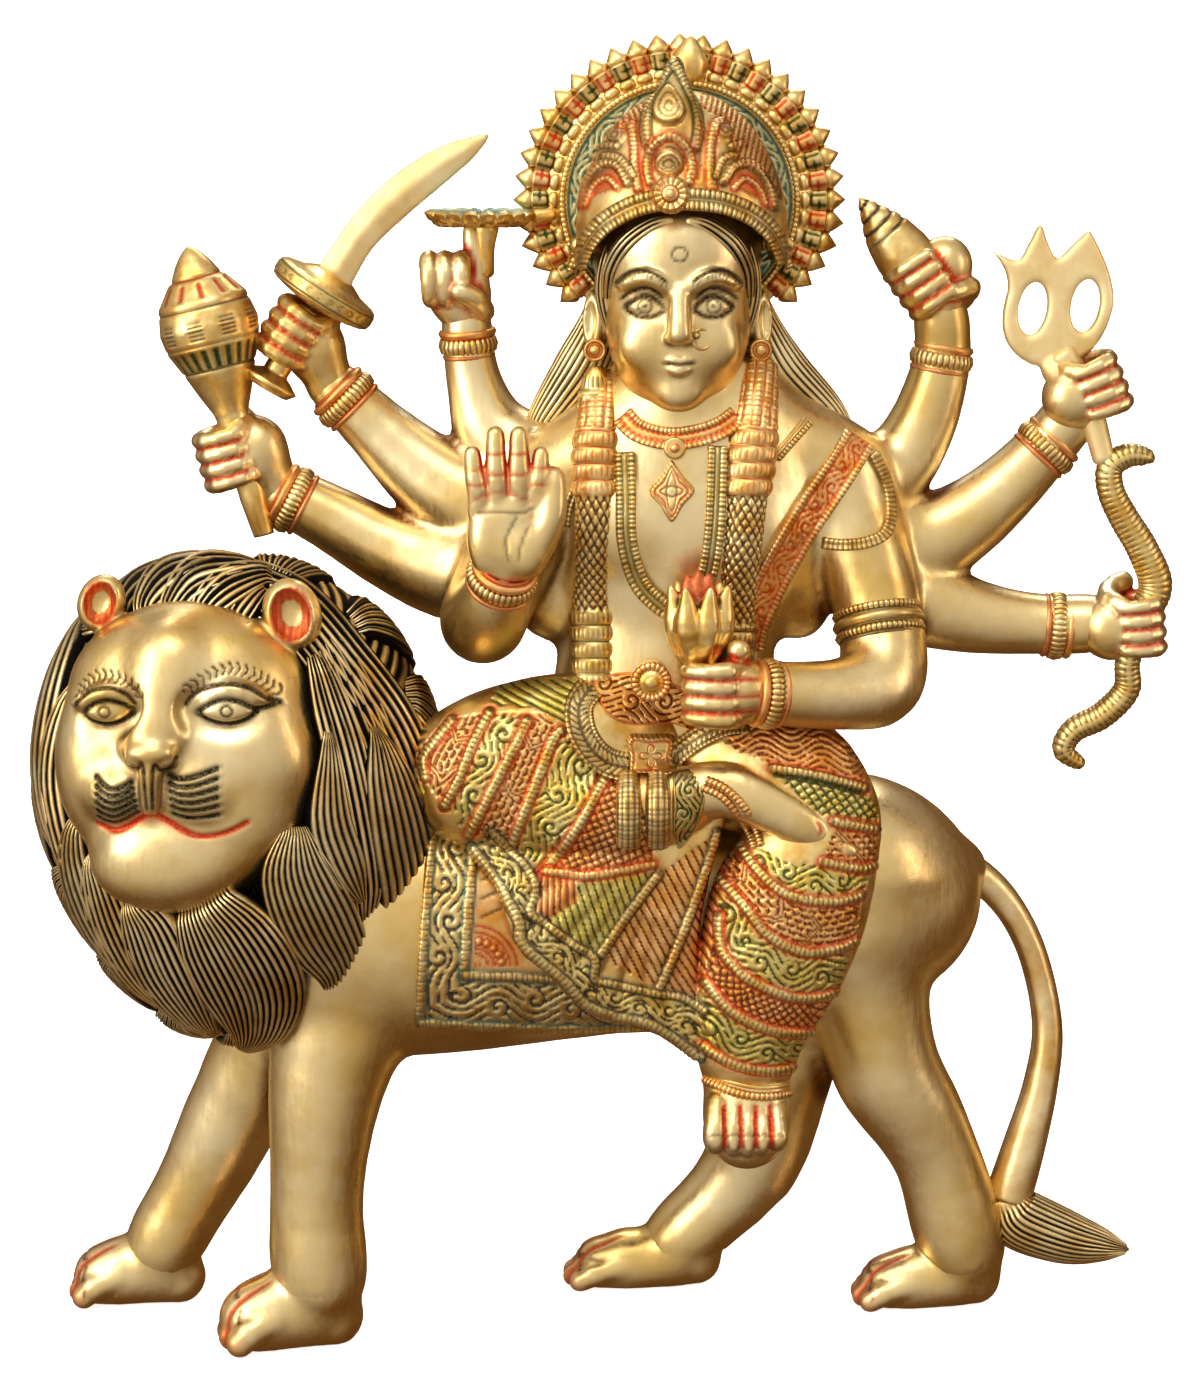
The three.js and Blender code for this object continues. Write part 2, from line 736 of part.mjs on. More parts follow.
function hands() {
  const palm = egg([-34, -70, 321], [15, 6.5, 17], { wide: 9, high: 6 });
  const raised = [
    [-44.5, 331, -46.5, 348, 3.6],
    [-37.5, 334, -38, 355, 3.8],
    [-29.5, 334, -29.5, 355, 3.8],
    [-23, 332, -21.5, 348, 3.4],
  ].map(([ax, az, bx, bz, r]) =>
    limb(
      [
        [ax, -70, az, r],
        [(ax + bx) / 2, -72, (az + bz) / 2, r],
        [bx, -71, bz, r * 0.9],
      ],
      { sides: 5, perSpan: 1 },
    ),
  );
  const thumb = limb(
    [
      [-24, -69, 314, 5],
      [-18, -71, 326, 4.6],
      [-16.5, -70, 338, 3.6],
    ],
    { sides: 5, perSpan: 1 },
  );
  const folded = [-63, -57, -51].map((x) =>
    limb(
      [
        [x - 2, -6, 412, 3.6],
        [x - 1.5, -15, 412, 3.4],
        [x - 1, -16, 403, 3],
      ],
      { sides: 5, perSpan: 1, reference: X },
    ),
  );
  const pointing = limb(
    [
      [-47, -7, 400, 4.2],
      [-48, -9, 413, 3.8],
      [-49, -9, 427, 3.2],
    ],
    { sides: 5, perSpan: 1 },
  );
  return [
    palm,
    raised,
    thumb,
    egg([-54, -7, 403], [12.5, 8, 12.5], { wide: 8, high: 6 }),
    folded,
    pointing,
    fist({
      centre: [-141, -13, 341],
      grip: direction(-8, 0, 30),
      reach: direction(-10, -2, 4),
      shaft: 6.5,
      palm: 13,
    }),
    fist({
      centre: [-116, -10, 387],
      grip: direction(11, 0, 17),
      reach: direction(-10, -3, 9),
      shaft: 6,
      palm: 12,
      startTurn: -60,
    }),
    fist({
      centre: [42, -70, 260],
      grip: direction(0, 0, 1),
      reach: direction(-10, 0, 0),
      shaft: 6,
      palm: 12,
      startTurn: 120,
      endTurn: -20,
    }),
    fist({
      centre: [205, -14, 276],
      grip: direction(-1, 0, 10),
      reach: direction(10, 0, 0),
      shaft: 6,
      palm: 12,
      startTurn: 60,
      endTurn: -120,
    }),
    fist({
      centre: [188, -12, 367],
      grip: direction(-10, 0, 24),
      reach: direction(8, 0, 6),
      shaft: 6,
      palm: 12,
      startTurn: 60,
      endTurn: -120,
    }),
    fist({
      centre: [124, -11, 409],
      grip: direction(10, 0, -14),
      reach: direction(-10, 0, -7),
      shaft: 8,
      palm: 10.5,
      startTurn: 70,
      endTurn: -110,
    }),
  ];
}

function heldThings() {
  const mace = turned(
    [
      [0, 0],
      [0, 4],
      [15, 5.5],
      [48, 6.5],
      [56, 10],
      [66, 14],
      [75, 18],
      [82, 19],
      [92, 17],
      [100, 11],
      [104, 6],
      [110, 0],
    ],
    at(-128.5, -14, 311),
    at(-156, -13, 423),
    10,
  );
  const outline = [
    [-8.5, 0],
    [-7, 20],
    [-1, 42],
    [12, 61],
    [30, 73],
    [41, 76],
    [33, 66],
    [20, 50],
    [11, 30],
    [7.5, 0],
  ].map(([u, v]) => new THREE.Vector2(u * share, v * share));
  const blade = new THREE.ExtrudeGeometry(new THREE.Shape(outline), {
    depth: bladeThickness,
    bevelEnabled: false,
  });
  blade.translate(0, 0, -bladeThickness / 2);
  blade.rotateX(Math.PI / 2);
  blade.rotateY(THREE.MathUtils.degToRad(18));
  const bladeFoot = at(-99, -10, 399.5);
  blade.translate(bladeFoot.x, bladeFoot.y, bladeFoot.z);
  const guard = turned(
    [
      [-4, 0],
      [-4, 12],
      [-1, 21],
      [2, 21],
      [6, 11],
      [8, 0],
    ],
    at(-105, -10, 402),
    at(-94, -10, 419),
    10,
  );
  const hilt = turned(
    [
      [0, 0],
      [0, 9],
      [3, 11.5],
      [7, 5],
      [34, 5],
      [36, 0],
    ],
    at(-127, -12, 367),
    at(-104, -10, 405),
    8,
  );
  const petals = Array.from({ length: 2 * petalCount }, (_, n) => {
    const radius = discRadius * (n % 2 ? 0.9 : 1);
    const turn = (Math.PI * n) / petalCount;
    return new THREE.Vector2(radius * Math.cos(turn), radius * Math.sin(turn));
  });
  const disc = new THREE.ExtrudeGeometry(new THREE.Shape(petals), {
    depth: discThickness,
    bevelEnabled: false,
  });
  const discPlace = at(-45, -9, 430);
  disc.translate(discPlace.x, discPlace.y, discPlace.z);
  const discStalk = limb(
    [
      [-45, -8, 408, 5],
      [-42, -8, 430, 4.5],
    ],
    { sides: 7, perSpan: 1 },
  );
  const discTie = limb(
    [
      [-30, -9, 432.5, 3],
      [-16, -6, 432.5, 3],
    ],
    { sides: 5, perSpan: 1 },
  );
  const conch = turned(
    [
      [0, 0],
      [2, 7],
      [10, 11.5],
      [20, 11],
      [28, 8.5],
      [30, 8],
      [31, 7],
      [35, 5.6],
      [36, 4.6],
      [41, 2.6],
      [46, 0],
    ],
    at(126, -12, 403),
    at(96.5, -13, 440),
    8,
  );
  const serpent = limb(
    [
      [211, -14, 339, 2.5],
      [201, -14, 341, 4.6],
      [193, -14, 336, 5.2],
      [198, -14, 321, 5.6],
      [208, -14, 305, 6.2],
      [213, -14, 291, 6.6],
      [207, -15, 277, 6],
      [203, -15, 262, 5],
      [203, -14, 251, 5.4],
      [194, -14, 241, 5.4],
      [183, -14, 235, 5],
      [179.5, -14, 227, 4.2],
      [187.5, -14, 222, 2.4],
    ],
    { sides: 5 },
  );
  const bud = [0, 1, 2, 3].map((n) => {
    const turn = THREE.MathUtils.degToRad(195 + 50 * n);
    return limb(
      [
        [38 + 5 * Math.cos(turn), -69 + 5 * Math.sin(turn), 274, 5],
        [38 + 10 * Math.cos(turn), -69 + 9 * Math.sin(turn), 286, 6],
        [38 + 11 * Math.cos(turn), -69 + 9 * Math.sin(turn), 296, 1.5],
      ],
      { sides: 4, perSpan: 1 },
    );
  });
  const calyx = egg([38, -68, 280], [10, 9, 12], { wide: 8, high: 6 });
  const sword = [solidOf(blade), guard, hilt];
  const discus = [solidOf(disc), discStalk, discTie];
  return [mace, sword, discus, conch, serpent, bud, calyx, trident()];
}

function trident() {
  const corner = (u, v) => [u * share, v * share];
  const head = new THREE.Shape();
  head.moveTo(...corner(-6, -2));
  head.bezierCurveTo(...corner(-19, 2), ...corner(-21, 12), ...corner(-19.5, 24));
  head.quadraticCurveTo(...corner(-20, 33), ...corner(-29, 38.5));
  head.lineTo(...corner(-18, 36));
  head.lineTo(...corner(-11.5, 50.5));
  head.lineTo(...corner(-3, 39));
  head.lineTo(...corner(7, 51.5));
  head.quadraticCurveTo(...corner(20, 36), ...corner(21, 25));
  head.bezierCurveTo(...corner(21, 14), ...corner(16, 3), ...corner(6, -2));
  for (const [u, v] of [
    [-9, 19],
    [10.5, 23],
  ]) {
    const rim = Array.from({ length: 10 }, (_, n) => {
      const turn = (2 * Math.PI * n) / 10;
      return new THREE.Vector2((u + 5.4 * Math.cos(turn)) * share, (v + 10 * Math.sin(turn)) * share);
    });
    head.holes.push(new THREE.Path(rim));
  }
  const plate = new THREE.ExtrudeGeometry(head, {
    depth: tridentThickness,
    bevelEnabled: false,
    curveSegments: 5,
  });
  plate.translate(0, 0, -tridentThickness / 2);
  plate.rotateX(Math.PI / 2);
  const place = at(172, -11, 377);
  plate.translate(place.x, place.y, place.z);
  const shaft = limb(
    [
      [174, -11, 382, 6],
      [180, -12, 372, 5.5],
      [187, -13, 357, 5],
      [193, -14, 338, 4],
    ],
    { sides: 6, perSpan: 1 },
  );
  return [solidOf(plate), shaft];
}

const legs = {
  rightThigh: [
    [14, -34, 234, 25],
    [-20, -44, 233, 25],
    [-49, -51, 226, 24],
  ],
  rightShin: [
    [-46, -54, 220, 21],
    [-15, -58, 213, 19],
    [14, -60, 213, 16],
    [36, -60, 219, 11],
  ],
  rightFoot: [
    [40, -62, 224, 10],
    [60, -66, 216, 8.5],
    [82, -64, 205, 6],
  ],
  leftThigh: [
    [44, -36, 228, 24],
    [72, -46, 225, 24],
    [91, -53, 210, 19],
  ],
  leftShin: [
    [89, -54, 203, 21],
    [76, -56, 180, 31],
    [68, -56, 156, 29],
    [61, -54, 138, 24],
    [57, -52, 122, 18.5],
    [56, -50, 110, 16],
  ],
};

// The stations of each leg that carry a raised border of the skirt.
const borderStations = {
  rightThigh: [1],
  rightShin: [1],
  rightFoot: [],
  leftThigh: [1],
  leftShin: [4, 3, 2, 1],
};

function legsAndSkirt() {
  const flatness = { rightThigh: 0.85, rightShin: 0.85, rightFoot: 0.8, leftThigh: 0.8, leftShin: 0.68 };
  const limbs = Object.entries(legs).map(([name, stations]) => {
    const dressed = borderStations[name].reduce(
      (path, index) => banded(path, index, borderWidth / 2 / share, borderRise / share),
      stations,
    );
    return limb(dressed, { sides: 10, deep: flatness[name], perSpan: 1 });
  });
  const foot = limb(
    [
      [56, -50, 112, 14],
      [56, -51, 107, 17],
      [56, -52, 102, 14],
      [56, -54, 93, 15],
      [56, -59, 84, 15.5],
    ],
    { sides: 8, perSpan: 1, deep: 0.65 },
  );
  const toes = [-12, -6.5, -0.5, 5.5, 11].map((dx, n) =>
    limb(
      [
        [56 + dx, -62, 96, 3],
        [56 + dx, -67, 86, n === 0 ? 4 : 3.2],
      ],
      { sides: 4, perSpan: 1 },
    ),
  );
  return [limbs, foot, toes];
}

// The fan of pleats that falls from the lap over the saddle cloth, with its waved hem.
function apron() {
  const waist = [26, -57, 212];
  const feet = [
    [-46, 206],
    [-33, 193],
    [-29, 179],
    [-25, 168],
    [-15, 159],
    [-4, 147],
    [8, 142],
    [20, 137],
    [31, 131],
    [38, 125],
  ].map(([x, z]) => [x, barrelDepth(x, Math.max(z, 140)) - 9, z]);
  const rings = [0, 0.45, 0.8, 1].map((down) => {
    const front = feet.map(([x, y, z], n) => {
      const fold = n % 2 ? pleatDepth / share : 0;
      const bulge = 5 * Math.sin(Math.PI * down);
      const start = waist[0] + (n - 4.5) * 2;
      const deep = waist[1] + (y - waist[1]) * down - bulge + fold;
      return at(start + (x - start) * down, deep, waist[2] + (z - waist[2]) * down);
    });
    const back = [front[front.length - 1], front[0]].map((p) => p.clone().addScaledVector(Y, 24 * share));
    return [...front, ...back];
  });
  const hem = feet.map(([x, y, z]) => [x, y - 1, z + 1]);
  return [skin(rings, middleOf(rings[0]), middleOf(rings[3])), strip(hem, hemWidth, 2 * clothThickness, 1)];
}

// The saddle cloth follows the round of the barrel on the near side.
function saddleCloth() {
  const lean = 0.07;
  const place = (x, z, outward) => at(x + (z - 170) * lean, barrelDepth(x, z) - outward, z);
  const levels = [206, 192, 176, 158, 142, 128];
  const columns = [-66, -44, -20, 10, 45, 84];
  const out = clothThickness / share;
  const rings = levels.map((z) => {
    const front = columns.map((x) => place(x, z, out));
    return [...front, place(columns[5], z, -3 * out), place(columns[0], z, -3 * out)];
  });
  const border = (x, low) => {
    const path = levels.filter((z) => z >= low).map((z) => place(x, z, out));
    return strip(path.map((p) => p.toArray().map((v) => v / share)), 2 * borderRise, borderRise, 1);
  };
  return [skin(rings, middleOf(rings[0]), middleOf(rings[5])), border(-64, 128), border(-49, 142)];
}

// The garlands, necklaces, pendant, shoulder sash, belt and tassels.
function jewels() {
  const garland = (foot, top) => {
    const length = top[1] - foot[1];
    const profile = [
      [0, 0],
      [0, 6],
      [0.22 * length, 7.5],
      [0.25 * length, 8.8],
      [0.59 * length, 7],
      [0.63 * length, 8.4],
      [length, 5.6],
      [length, 0],
    ];
    return turned(profile, at(foot[0], -43, foot[1]), at(top[0], -43, top[1]), 7);
  };
  const necklace = Array.from({ length: 9 }, (_, n) => {
    const turn = Math.PI * (1 + n / 8);
    return [26 + 17 * Math.cos(turn), -47 - 3 * Math.abs(Math.sin(turn)), 310 + 26 * Math.sin(turn)];
  });
  const ropes = [[9, -44, 344], ...necklace, [43, -44, 344]];
  const collar = Array.from({ length: 7 }, (_, n) => {
    const turn = Math.PI * (1 + n / 6);
    return [31 + 24 * Math.cos(turn), -36 - 10 * Math.abs(Math.sin(turn)), 355 + 15 * Math.sin(turn)];
  });
  const pendant = turned(
    [
      [-4, 0],
      [-4, 8],
      [2, 8],
      [2, 0],
    ],
    at(26.5, -44, 331),
    at(26.5, -50, 331),
    4,
  );
  const sash = strip(
    [
      [99, -33, 350],
      [88, -39, 334],
      [75, -44, 314],
      [62, -43, 290],
    ],
    14 * share,
    8 * share,
    2,
  );
  const belt = strip(
    [
      [-6, -49, 258],
      [-6, -55, 245],
      [4, -60, 234],
      [19, -63, 233],
      [32, -62, 238],
      [50, -59, 244],
    ],
    9 * share,
    10 * share,
    2,
  );
  const buckle = new THREE.BoxGeometry(16 * share, 8 * share, 15 * share);
  const bucklePlace = at(19, -66, 236);
  buckle.translate(bucklePlace.x, bucklePlace.y, bucklePlace.z);
  const tassels = [10.5, 21.5].map((x) =>
    limb(
      [
        [x, -68, 229, 4.2],
        [x, -73, 217, 4.5],
        [x, -74, 204, 3.8],
      ],
      { sides: 4, perSpan: 1 },
    ),
  );
  return [
    garland([-2.5, 252], [0.5, 368]),
    garland([50, 262], [60, 376]),
    strip(ropes, 7 * share, 5 * share, 1),
    strip(collar, 8 * share, 6 * share, 1),
    pendant,
    sash,
    belt,
    solidOf(buckle),
    tassels,
  ];
}

// Everything joined, then cut flat along the floor.
function casting() {
  const whole = join(
    lionBody(),
    lionPaws(),
    mane(),
    lionFace(),
    torso(),
    head(),
    crown(),
    halo(),
    armsWithBangles(),
    hands(),
    heldThings(),
    legsAndSkirt(),
    apron(),
    saddleCloth(),
    jewels(),
  );
  const floor = new THREE.BoxGeometry(2 * statueHeight, 2 * statueHeight, statueHeight);
  floor.translate(0, 0, -statueHeight / 2);
  return whole.subtract(solidOf(floor));
}

// The outer surface of the joined solid: points, faces and the faces round each point.
// The metal fills the small hollows that are shut in between joined forms.
function facesOf(solid) {
  const mesh = solid.getMesh();
  const points = Array.from({ length: mesh.numVert }, (_, i) =>
    new THREE.Vector3().fromArray(mesh.vertProperties, i * mesh.numProp),
  );
  const all = Array.from({ length: mesh.numTri }, (_, i) => [...mesh.triVerts.subarray(3 * i, 3 * i + 3)]);
  const around = points.map(() => []);
  all.forEach((face, i) => face.forEach((p) => around[p].push(i)));
  const top = points.reduce((best, p, i) => (p.z > points[best].z ? i : best), 0);
  const outer = new Set();
  const queue = [...around[top]];
  while (queue.length) {
    const next = queue.pop();
    if (outer.has(next)) continue;
    outer.add(next);
    all[next].forEach((p) => queue.push(...around[p]));
  }
  const faces = [...outer].map((i) => all[i]);
  const round = points.map(() => new Set());
  faces.forEach((face, i) => face.forEach((p) => round[p].add(i)));
  return { points, faces, round };
}

function planeOf([a, b, c]) {
  const normal = b.clone().sub(a).cross(c.clone().sub(a));
  return { normal: normal.clone().normalize(), distance: a.dot(normal.normalize()) };
}

// Merges a point into its neighbour wherever that moves the surface by less than the tolerance,
// so that the seams between joined forms leave no slivers.
function merged({ points, faces, round }, tolerance) {
  const corners = (face) => face.map((p) => points[p]);
  const planes = round.map((around) => [...around].map((f) => planeOf(corners(faces[f]))));
  const neighbours = (p) => new Set([...round[p]].flatMap((f) => faces[f]).filter((q) => q !== p));
  const strayed = (from, to) =>
    planes[from].reduce(
      (most, { normal, distance }) => Math.max(most, Math.abs(normal.dot(points[to]) - distance)),
      0,
    );
  const foldsOver = (from, to) =>
    [...round[from]].some((f) => {
      if (faces[f].includes(to)) return false;
      const moved = planeOf(faces[f].map((p) => points[p === from ? to : p]));
      const [a, b, c] = faces[f].map((p) => points[p === from ? to : p]);
      const area = b.clone().sub(a).cross(c.clone().sub(a)).length();
      const longest = Math.max(a.distanceTo(b), b.distanceTo(c), c.distanceTo(a));
      return area < 0.02 * longest * longest || moved.normal.dot(planeOf(corners(faces[f])).normal) < 0.3;
    });
  const collapse = (from, to) => {
    for (const f of [...round[from]]) {
      if (faces[f].includes(to)) {
        faces[f].forEach((p) => round[p].delete(f));
        faces[f] = null;
      } else {
        faces[f] = faces[f].map((p) => (p === from ? to : p));
        round[to].add(f);
      }
    }
    planes[to] = planes[to].concat(planes[from]);
    round[from].clear();
  };
  for (let found = true; found; ) {
    found = false;
    const moves = [];
    round.forEach((around, from) => {
      if (!around.size) return;
      for (const to of neighbours(from)) {
        const strays = strayed(from, to);
        if (strays < tolerance) moves.push([strays, from, to]);
      }
    });
    moves.sort((a, b) => a[0] - b[0]);
    const touched = new Set();
    for (const [, from, to] of moves) {
      if (touched.has(from) || touched.has(to)) continue;
      const [near, far] = [neighbours(from), neighbours(to)];
      const shared = [...near].filter((p) => far.has(p));
      if (shared.length !== 2 || near.size < 4 || foldsOver(from, to)) continue;
      collapse(from, to);
      [from, ...near].forEach((p) => touched.add(p));
      found = true;
    }
  }
  return { points, faces: faces.filter(Boolean) };
}

function geometryOf(solid) {
  const { points, faces } = merged(facesOf(solid), seamTolerance);
  const geometry = new THREE.BufferGeometry().setFromPoints(points);
  geometry.setIndex(faces.flat());
  return mergeVertices(geometry.toNonIndexed(), 1e-5);
}

const brass = new THREE.MeshStandardMaterial({ color: 0xc8a24a, roughness: 0.34, metalness: 1 });
const figure = new THREE.Mesh(geometryOf(casting()), brass);
figure.name = "durga_on_lion";
figure.position.set(originX, originY, 0);

const statue = new THREE.Group();
statue.add(figure);

export default statue;
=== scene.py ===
# Durga on her lion: a one-piece brass casting, hand engraved, with coloured lacquer rubbed into the cuts
import bpy, math
import numpy as np
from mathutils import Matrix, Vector


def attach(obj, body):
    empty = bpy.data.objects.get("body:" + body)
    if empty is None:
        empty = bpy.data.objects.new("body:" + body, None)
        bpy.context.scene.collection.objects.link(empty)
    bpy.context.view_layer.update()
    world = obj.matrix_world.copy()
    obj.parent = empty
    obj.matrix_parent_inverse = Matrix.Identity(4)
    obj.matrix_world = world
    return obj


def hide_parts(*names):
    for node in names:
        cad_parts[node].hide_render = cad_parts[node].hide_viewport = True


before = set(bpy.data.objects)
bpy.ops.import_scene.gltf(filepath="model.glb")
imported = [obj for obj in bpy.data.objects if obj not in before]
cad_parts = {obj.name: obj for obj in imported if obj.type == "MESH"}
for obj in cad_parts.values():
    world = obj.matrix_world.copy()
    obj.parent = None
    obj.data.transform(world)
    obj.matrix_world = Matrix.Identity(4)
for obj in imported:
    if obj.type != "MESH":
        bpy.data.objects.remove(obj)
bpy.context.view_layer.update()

# Points are drawn in millimetres for a figure 500 mm tall, then brought to the cast height
figure = {"castHeight": 508.0, "drawnHeight": 500.0, "moveX": -1.654, "moveY": 35.86}
figureScale = figure["castHeight"] / figure["drawnHeight"]


def toMetres(points):
    moved = np.asarray(points, float) + [figure["moveX"], figure["moveY"], 0]
    return moved * (figureScale / 1000)


def hexColour(text):
    # sRGB hex to linear
    parts = [int(text[i:i + 2], 16) / 255 for i in (1, 3, 5)]
    return tuple(c / 12.92 if c <= 0.04045 else ((c + 0.055) / 1.055) ** 2.4 for c in parts)


# the lacquers and the soot that the cuts are rubbed with
lacquerCodes = {
    "orange": "#dd6506", "red": "#b82a04", "rust": "#571303",
    "leaf": "#a0ad34", "green": "#0a3413", "teal": "#1b5a58",
    "verdigris": "#7ba79c", "blueBlack": "#0a1324", "black": "#070504",
    "plum": "#351c28", "brown": "#2f1707",
}
lacquer = {name: hexColour(code) for name, code in lacquerCodes.items()}


def clamp(values):
    return np.clip(values, 0.0, 1.0)


def ramp(values, low, high):
    t = clamp((values - low) / (high - low))
    return t * t * (3 - 2 * t)


def within(values, start, full, fading, end):
    # rises from start to full and falls again from fading to end
    return ramp(values, start, full) * ramp(-values, -end, -fading)


def peak(values, width):
    # 1 at nought, and next to nothing at twice the width
    return np.exp(-(values / width) ** 2)


def beat(run, pitch):
    # swings between 1 and -1 once in each pitch
    return np.cos(2 * np.pi * run / pitch)


def dome(values):
    # a half round: 1 at nought, 0 at 1
    return np.sqrt(clamp(1 - values ** 2))


def unit(vectors):
    length = np.linalg.norm(vectors, axis=-1, keepdims=True)
    return vectors / np.maximum(length, 1e-9)


def smoothPath(stations, perSpan):
    # a smooth curve through the stations, with any number of columns
    s = np.asarray(stations, float)
    padded = np.vstack([s[:1], s, s[-1:]])
    t = (np.arange(perSpan) / perSpan)[:, None]
    rows = []
    for a, b, c, d in zip(padded, padded[1:], padded[2:], padded[3:]):
        rows.append(0.5 * (2 * b + (c - a) * t + (2 * a - 5 * b + 4 * c - d) * t ** 2
                           + (3 * b - a - 3 * c + d) * t ** 3))
    return np.vstack(rows + [s[-1:]])


def evenPath(stations, step, perSpan=12, dims=3):
    # the same curve with points a fixed distance apart, and the distance run
    path = smoothPath(stations, perSpan)
    run = np.concatenate([[0], np.cumsum(np.linalg.norm(np.diff(path[:, :dims], axis=0), axis=1))])
    count = max(3, int(math.ceil(run[-1] / step)) + 1)
    at = np.linspace(0, run[-1], count)
    return np.stack([np.interp(at, run, path[:, i]) for i in range(path.shape[1])], 1), at


# Engraving: relief and lacquer laid over points that are seen from the front

class Engraving:
    def __init__(self, points):
        self.shape = points.shape[:-1]
        flat = points.reshape(-1, 3)
        self.x, self.z = flat[:, 0], flat[:, 2]
        count = len(flat)
        self.high = np.zeros(count)
        self.cover = np.zeros(count)
        self.age = np.zeros(count)
        self.tint = np.tile(lacquer["black"], (count, 1)).astype(float)
        # how much of each cut and rope is made, such as only where the form faces the viewer
        self.where = 1.0

    def near(self, line, step=1.2):
        # distance to a drawn line, which side of it, and how far along it
        path, run = evenPath(line, step, dims=2)
        a, b = path[:-1], path[1:]
        ab = b - a
        size = np.maximum((ab ** 2).sum(1), 1e-9)
        best = np.full(len(self.x), 1e9)
        side = np.zeros(len(self.x))
        along = np.zeros(len(self.x))
        for (ax, az), (dx, dz), square, start, length in zip(a, ab, size, run[:-1], np.diff(run)):
            px, pz = self.x - ax, self.z - az
            t = clamp((px * dx + pz * dz) / square)
            ex, ez = px - t * dx, pz - t * dz
            d = np.hypot(ex, ez)
            closer = d < best
            best[closer] = d[closer]
            side[closer] = np.sign(dx * ez - dz * ex)[closer]
            along[closer] = (start + t * length)[closer]
        return best, side, along

    def colour(self, amount, tint):
        # mixes a lacquer in over what is there
        more = clamp(amount)
        share = more / np.maximum(more + self.cover * (1 - more), 1e-6)
        self.tint = self.tint * (1 - share)[:, None] + np.asarray(lacquer[tint]) * share[:, None]
        self.cover = self.cover + (1 - self.cover) * more

    def cut(self, amount, depth, tint, strength=0.9):
        # a groove: amount runs from 0, untouched, to 1, its bottom
        amount = amount * self.where
        self.high -= depth * amount
        self.colour(clamp(1.7 * amount) * strength, tint)

    def line(self, line, width=0.7, depth=0.35, tint="black", strength=0.95):
        d, _, run = self.near(line)
        end = evenPath(line, 1.2, dims=2)[1][-1]
        fade = ramp(run, -0.1, 1.2) * ramp(end - run, -0.1, 1.2)
        self.cut(peak(d, 0.62 * width) * (0.25 + 0.75 * fade), depth, tint, strength)

    def rope(self, line, half=1.9, rise=0.9, pitch=1.9, tint="brown", edge="brown"):
        # a raised roll cut across by strokes, with a dark line down each side
        d, _, run = self.near(line)
        strokes = ramp(beat(run, pitch), 0.1, 0.85) * ramp(half - d, 0.1, 0.6)
        taken = (1 - ramp(d, half - 0.2, half + 0.5)) * self.where
        self.cover *= 1 - taken * 0.85
        self.high = self.high * (1 - taken) + rise * dome(d / half) * self.where
        self.colour(0.5 * peak(d - half, 1.5) * (d > half) * self.where, edge)
        self.cut(strokes, 0.3 * rise, tint, 0.8)
        self.cut(peak(d - half - 0.15, 0.38), 0.4, edge, 0.9)

    def rings(self, r, sizes, width, depth, tint, strength):
        # round grooves at some distances from a middle
        for size in sizes:
            self.cut(peak(r - size, width), depth, tint, strength)

    def field(self, outline):
        # the points inside a closed outline
        rim = np.asarray(outline, float)
        inside = np.zeros(len(self.x), bool)
        for (ax, az), (bx, bz) in zip(rim, np.roll(rim, -1, axis=0)):
            if az != bz:
                crosses = (self.z >= min(az, bz)) & (self.z < max(az, bz))
                inside ^= crosses & (self.x < ax + (self.z - az) * (bx - ax) / (bz - az))
        return inside

    def band(self, first, second):
        # the ground between two lines: where it is, how far along, how far off its middle
        rim = np.vstack([smoothPath(first, 6), smoothPath(second, 6)[::-1]])
        da, _, ra = self.near(first)
        db, _, rb = self.near(second)
        return self.field(rim), (ra + rb) / 2, (da - db) / 2

    def fill(self, inside, u, v, kind, ground, tint, wash=0.2, pitch=2.0, depth=0.4, turn=0.0, size=11.0):
        # covers a field with one of the chased patterns
        soft = inside.astype(float) if inside.dtype == bool else inside
        s, c = math.sin(turn), math.cos(turn)
        p, q = u * c - v * s, u * s + v * c
        if kind == "hatch":
            cuts = ramp(beat(q, pitch), 0.25, 0.9)
        elif kind == "cross":
            one = ramp(beat(p + q, 1.41 * pitch), 0.3, 0.85)
            two = ramp(beat(p - q, 1.41 * pitch), 0.3, 0.85)
            cuts = np.maximum(one, two)
        elif kind == "scroll":
            # waves that curl over alternately to either side, and lines that follow them
            cell = np.floor(p / size)
            sign = np.where(cell % 2 == 0, 1.0, -1.0)
            cu = p - (cell + 0.5) * size
            swell = q + sign * 0.24 * size * np.cos(np.pi * cu / size)
            r = np.hypot(cu, q - sign * 0.13 * size)
            way = np.arctan2(q - sign * 0.13 * size, cu)
            curl = ramp(np.cos(2 * np.pi * (r / (1.35 * pitch)) - sign * way + 0.6), 0.1, 0.7)
            follow = ramp(np.cos(2 * np.pi * swell / (1.2 * pitch) + 0.8), 0.1, 0.75)
            follow = follow * ramp(np.cos(np.pi * cu / size * 3 + swell), -1.0, -0.75)
            cuts = np.where(r < 0.3 * size, curl, follow)
        elif kind == "fans":
            # rows of short curved strokes between double slanting lines
            row = np.floor(q / (0.95 * pitch))
            cu = p / (1.7 * pitch) + 0.5 * (row % 2)
            cu = (cu - np.floor(cu) - 0.5) * 2
            cv = (q / (0.95 * pitch) - row - 0.5) * 2
            cuts = ramp(-np.abs(cv - 0.7 + 1.2 * cu ** 2), -0.75, -0.3) * ramp(-np.abs(cu), -0.95, -0.7)
            slant = (p + 0.9 * np.abs(q)) / (1.5 * size)
            slant = np.abs(slant - np.floor(slant) - 0.5) * 1.5 * size
            cuts = np.maximum(cuts * (slant > 1.9), peak(slant - 0.9, 0.4))
        elif kind == "leaves":
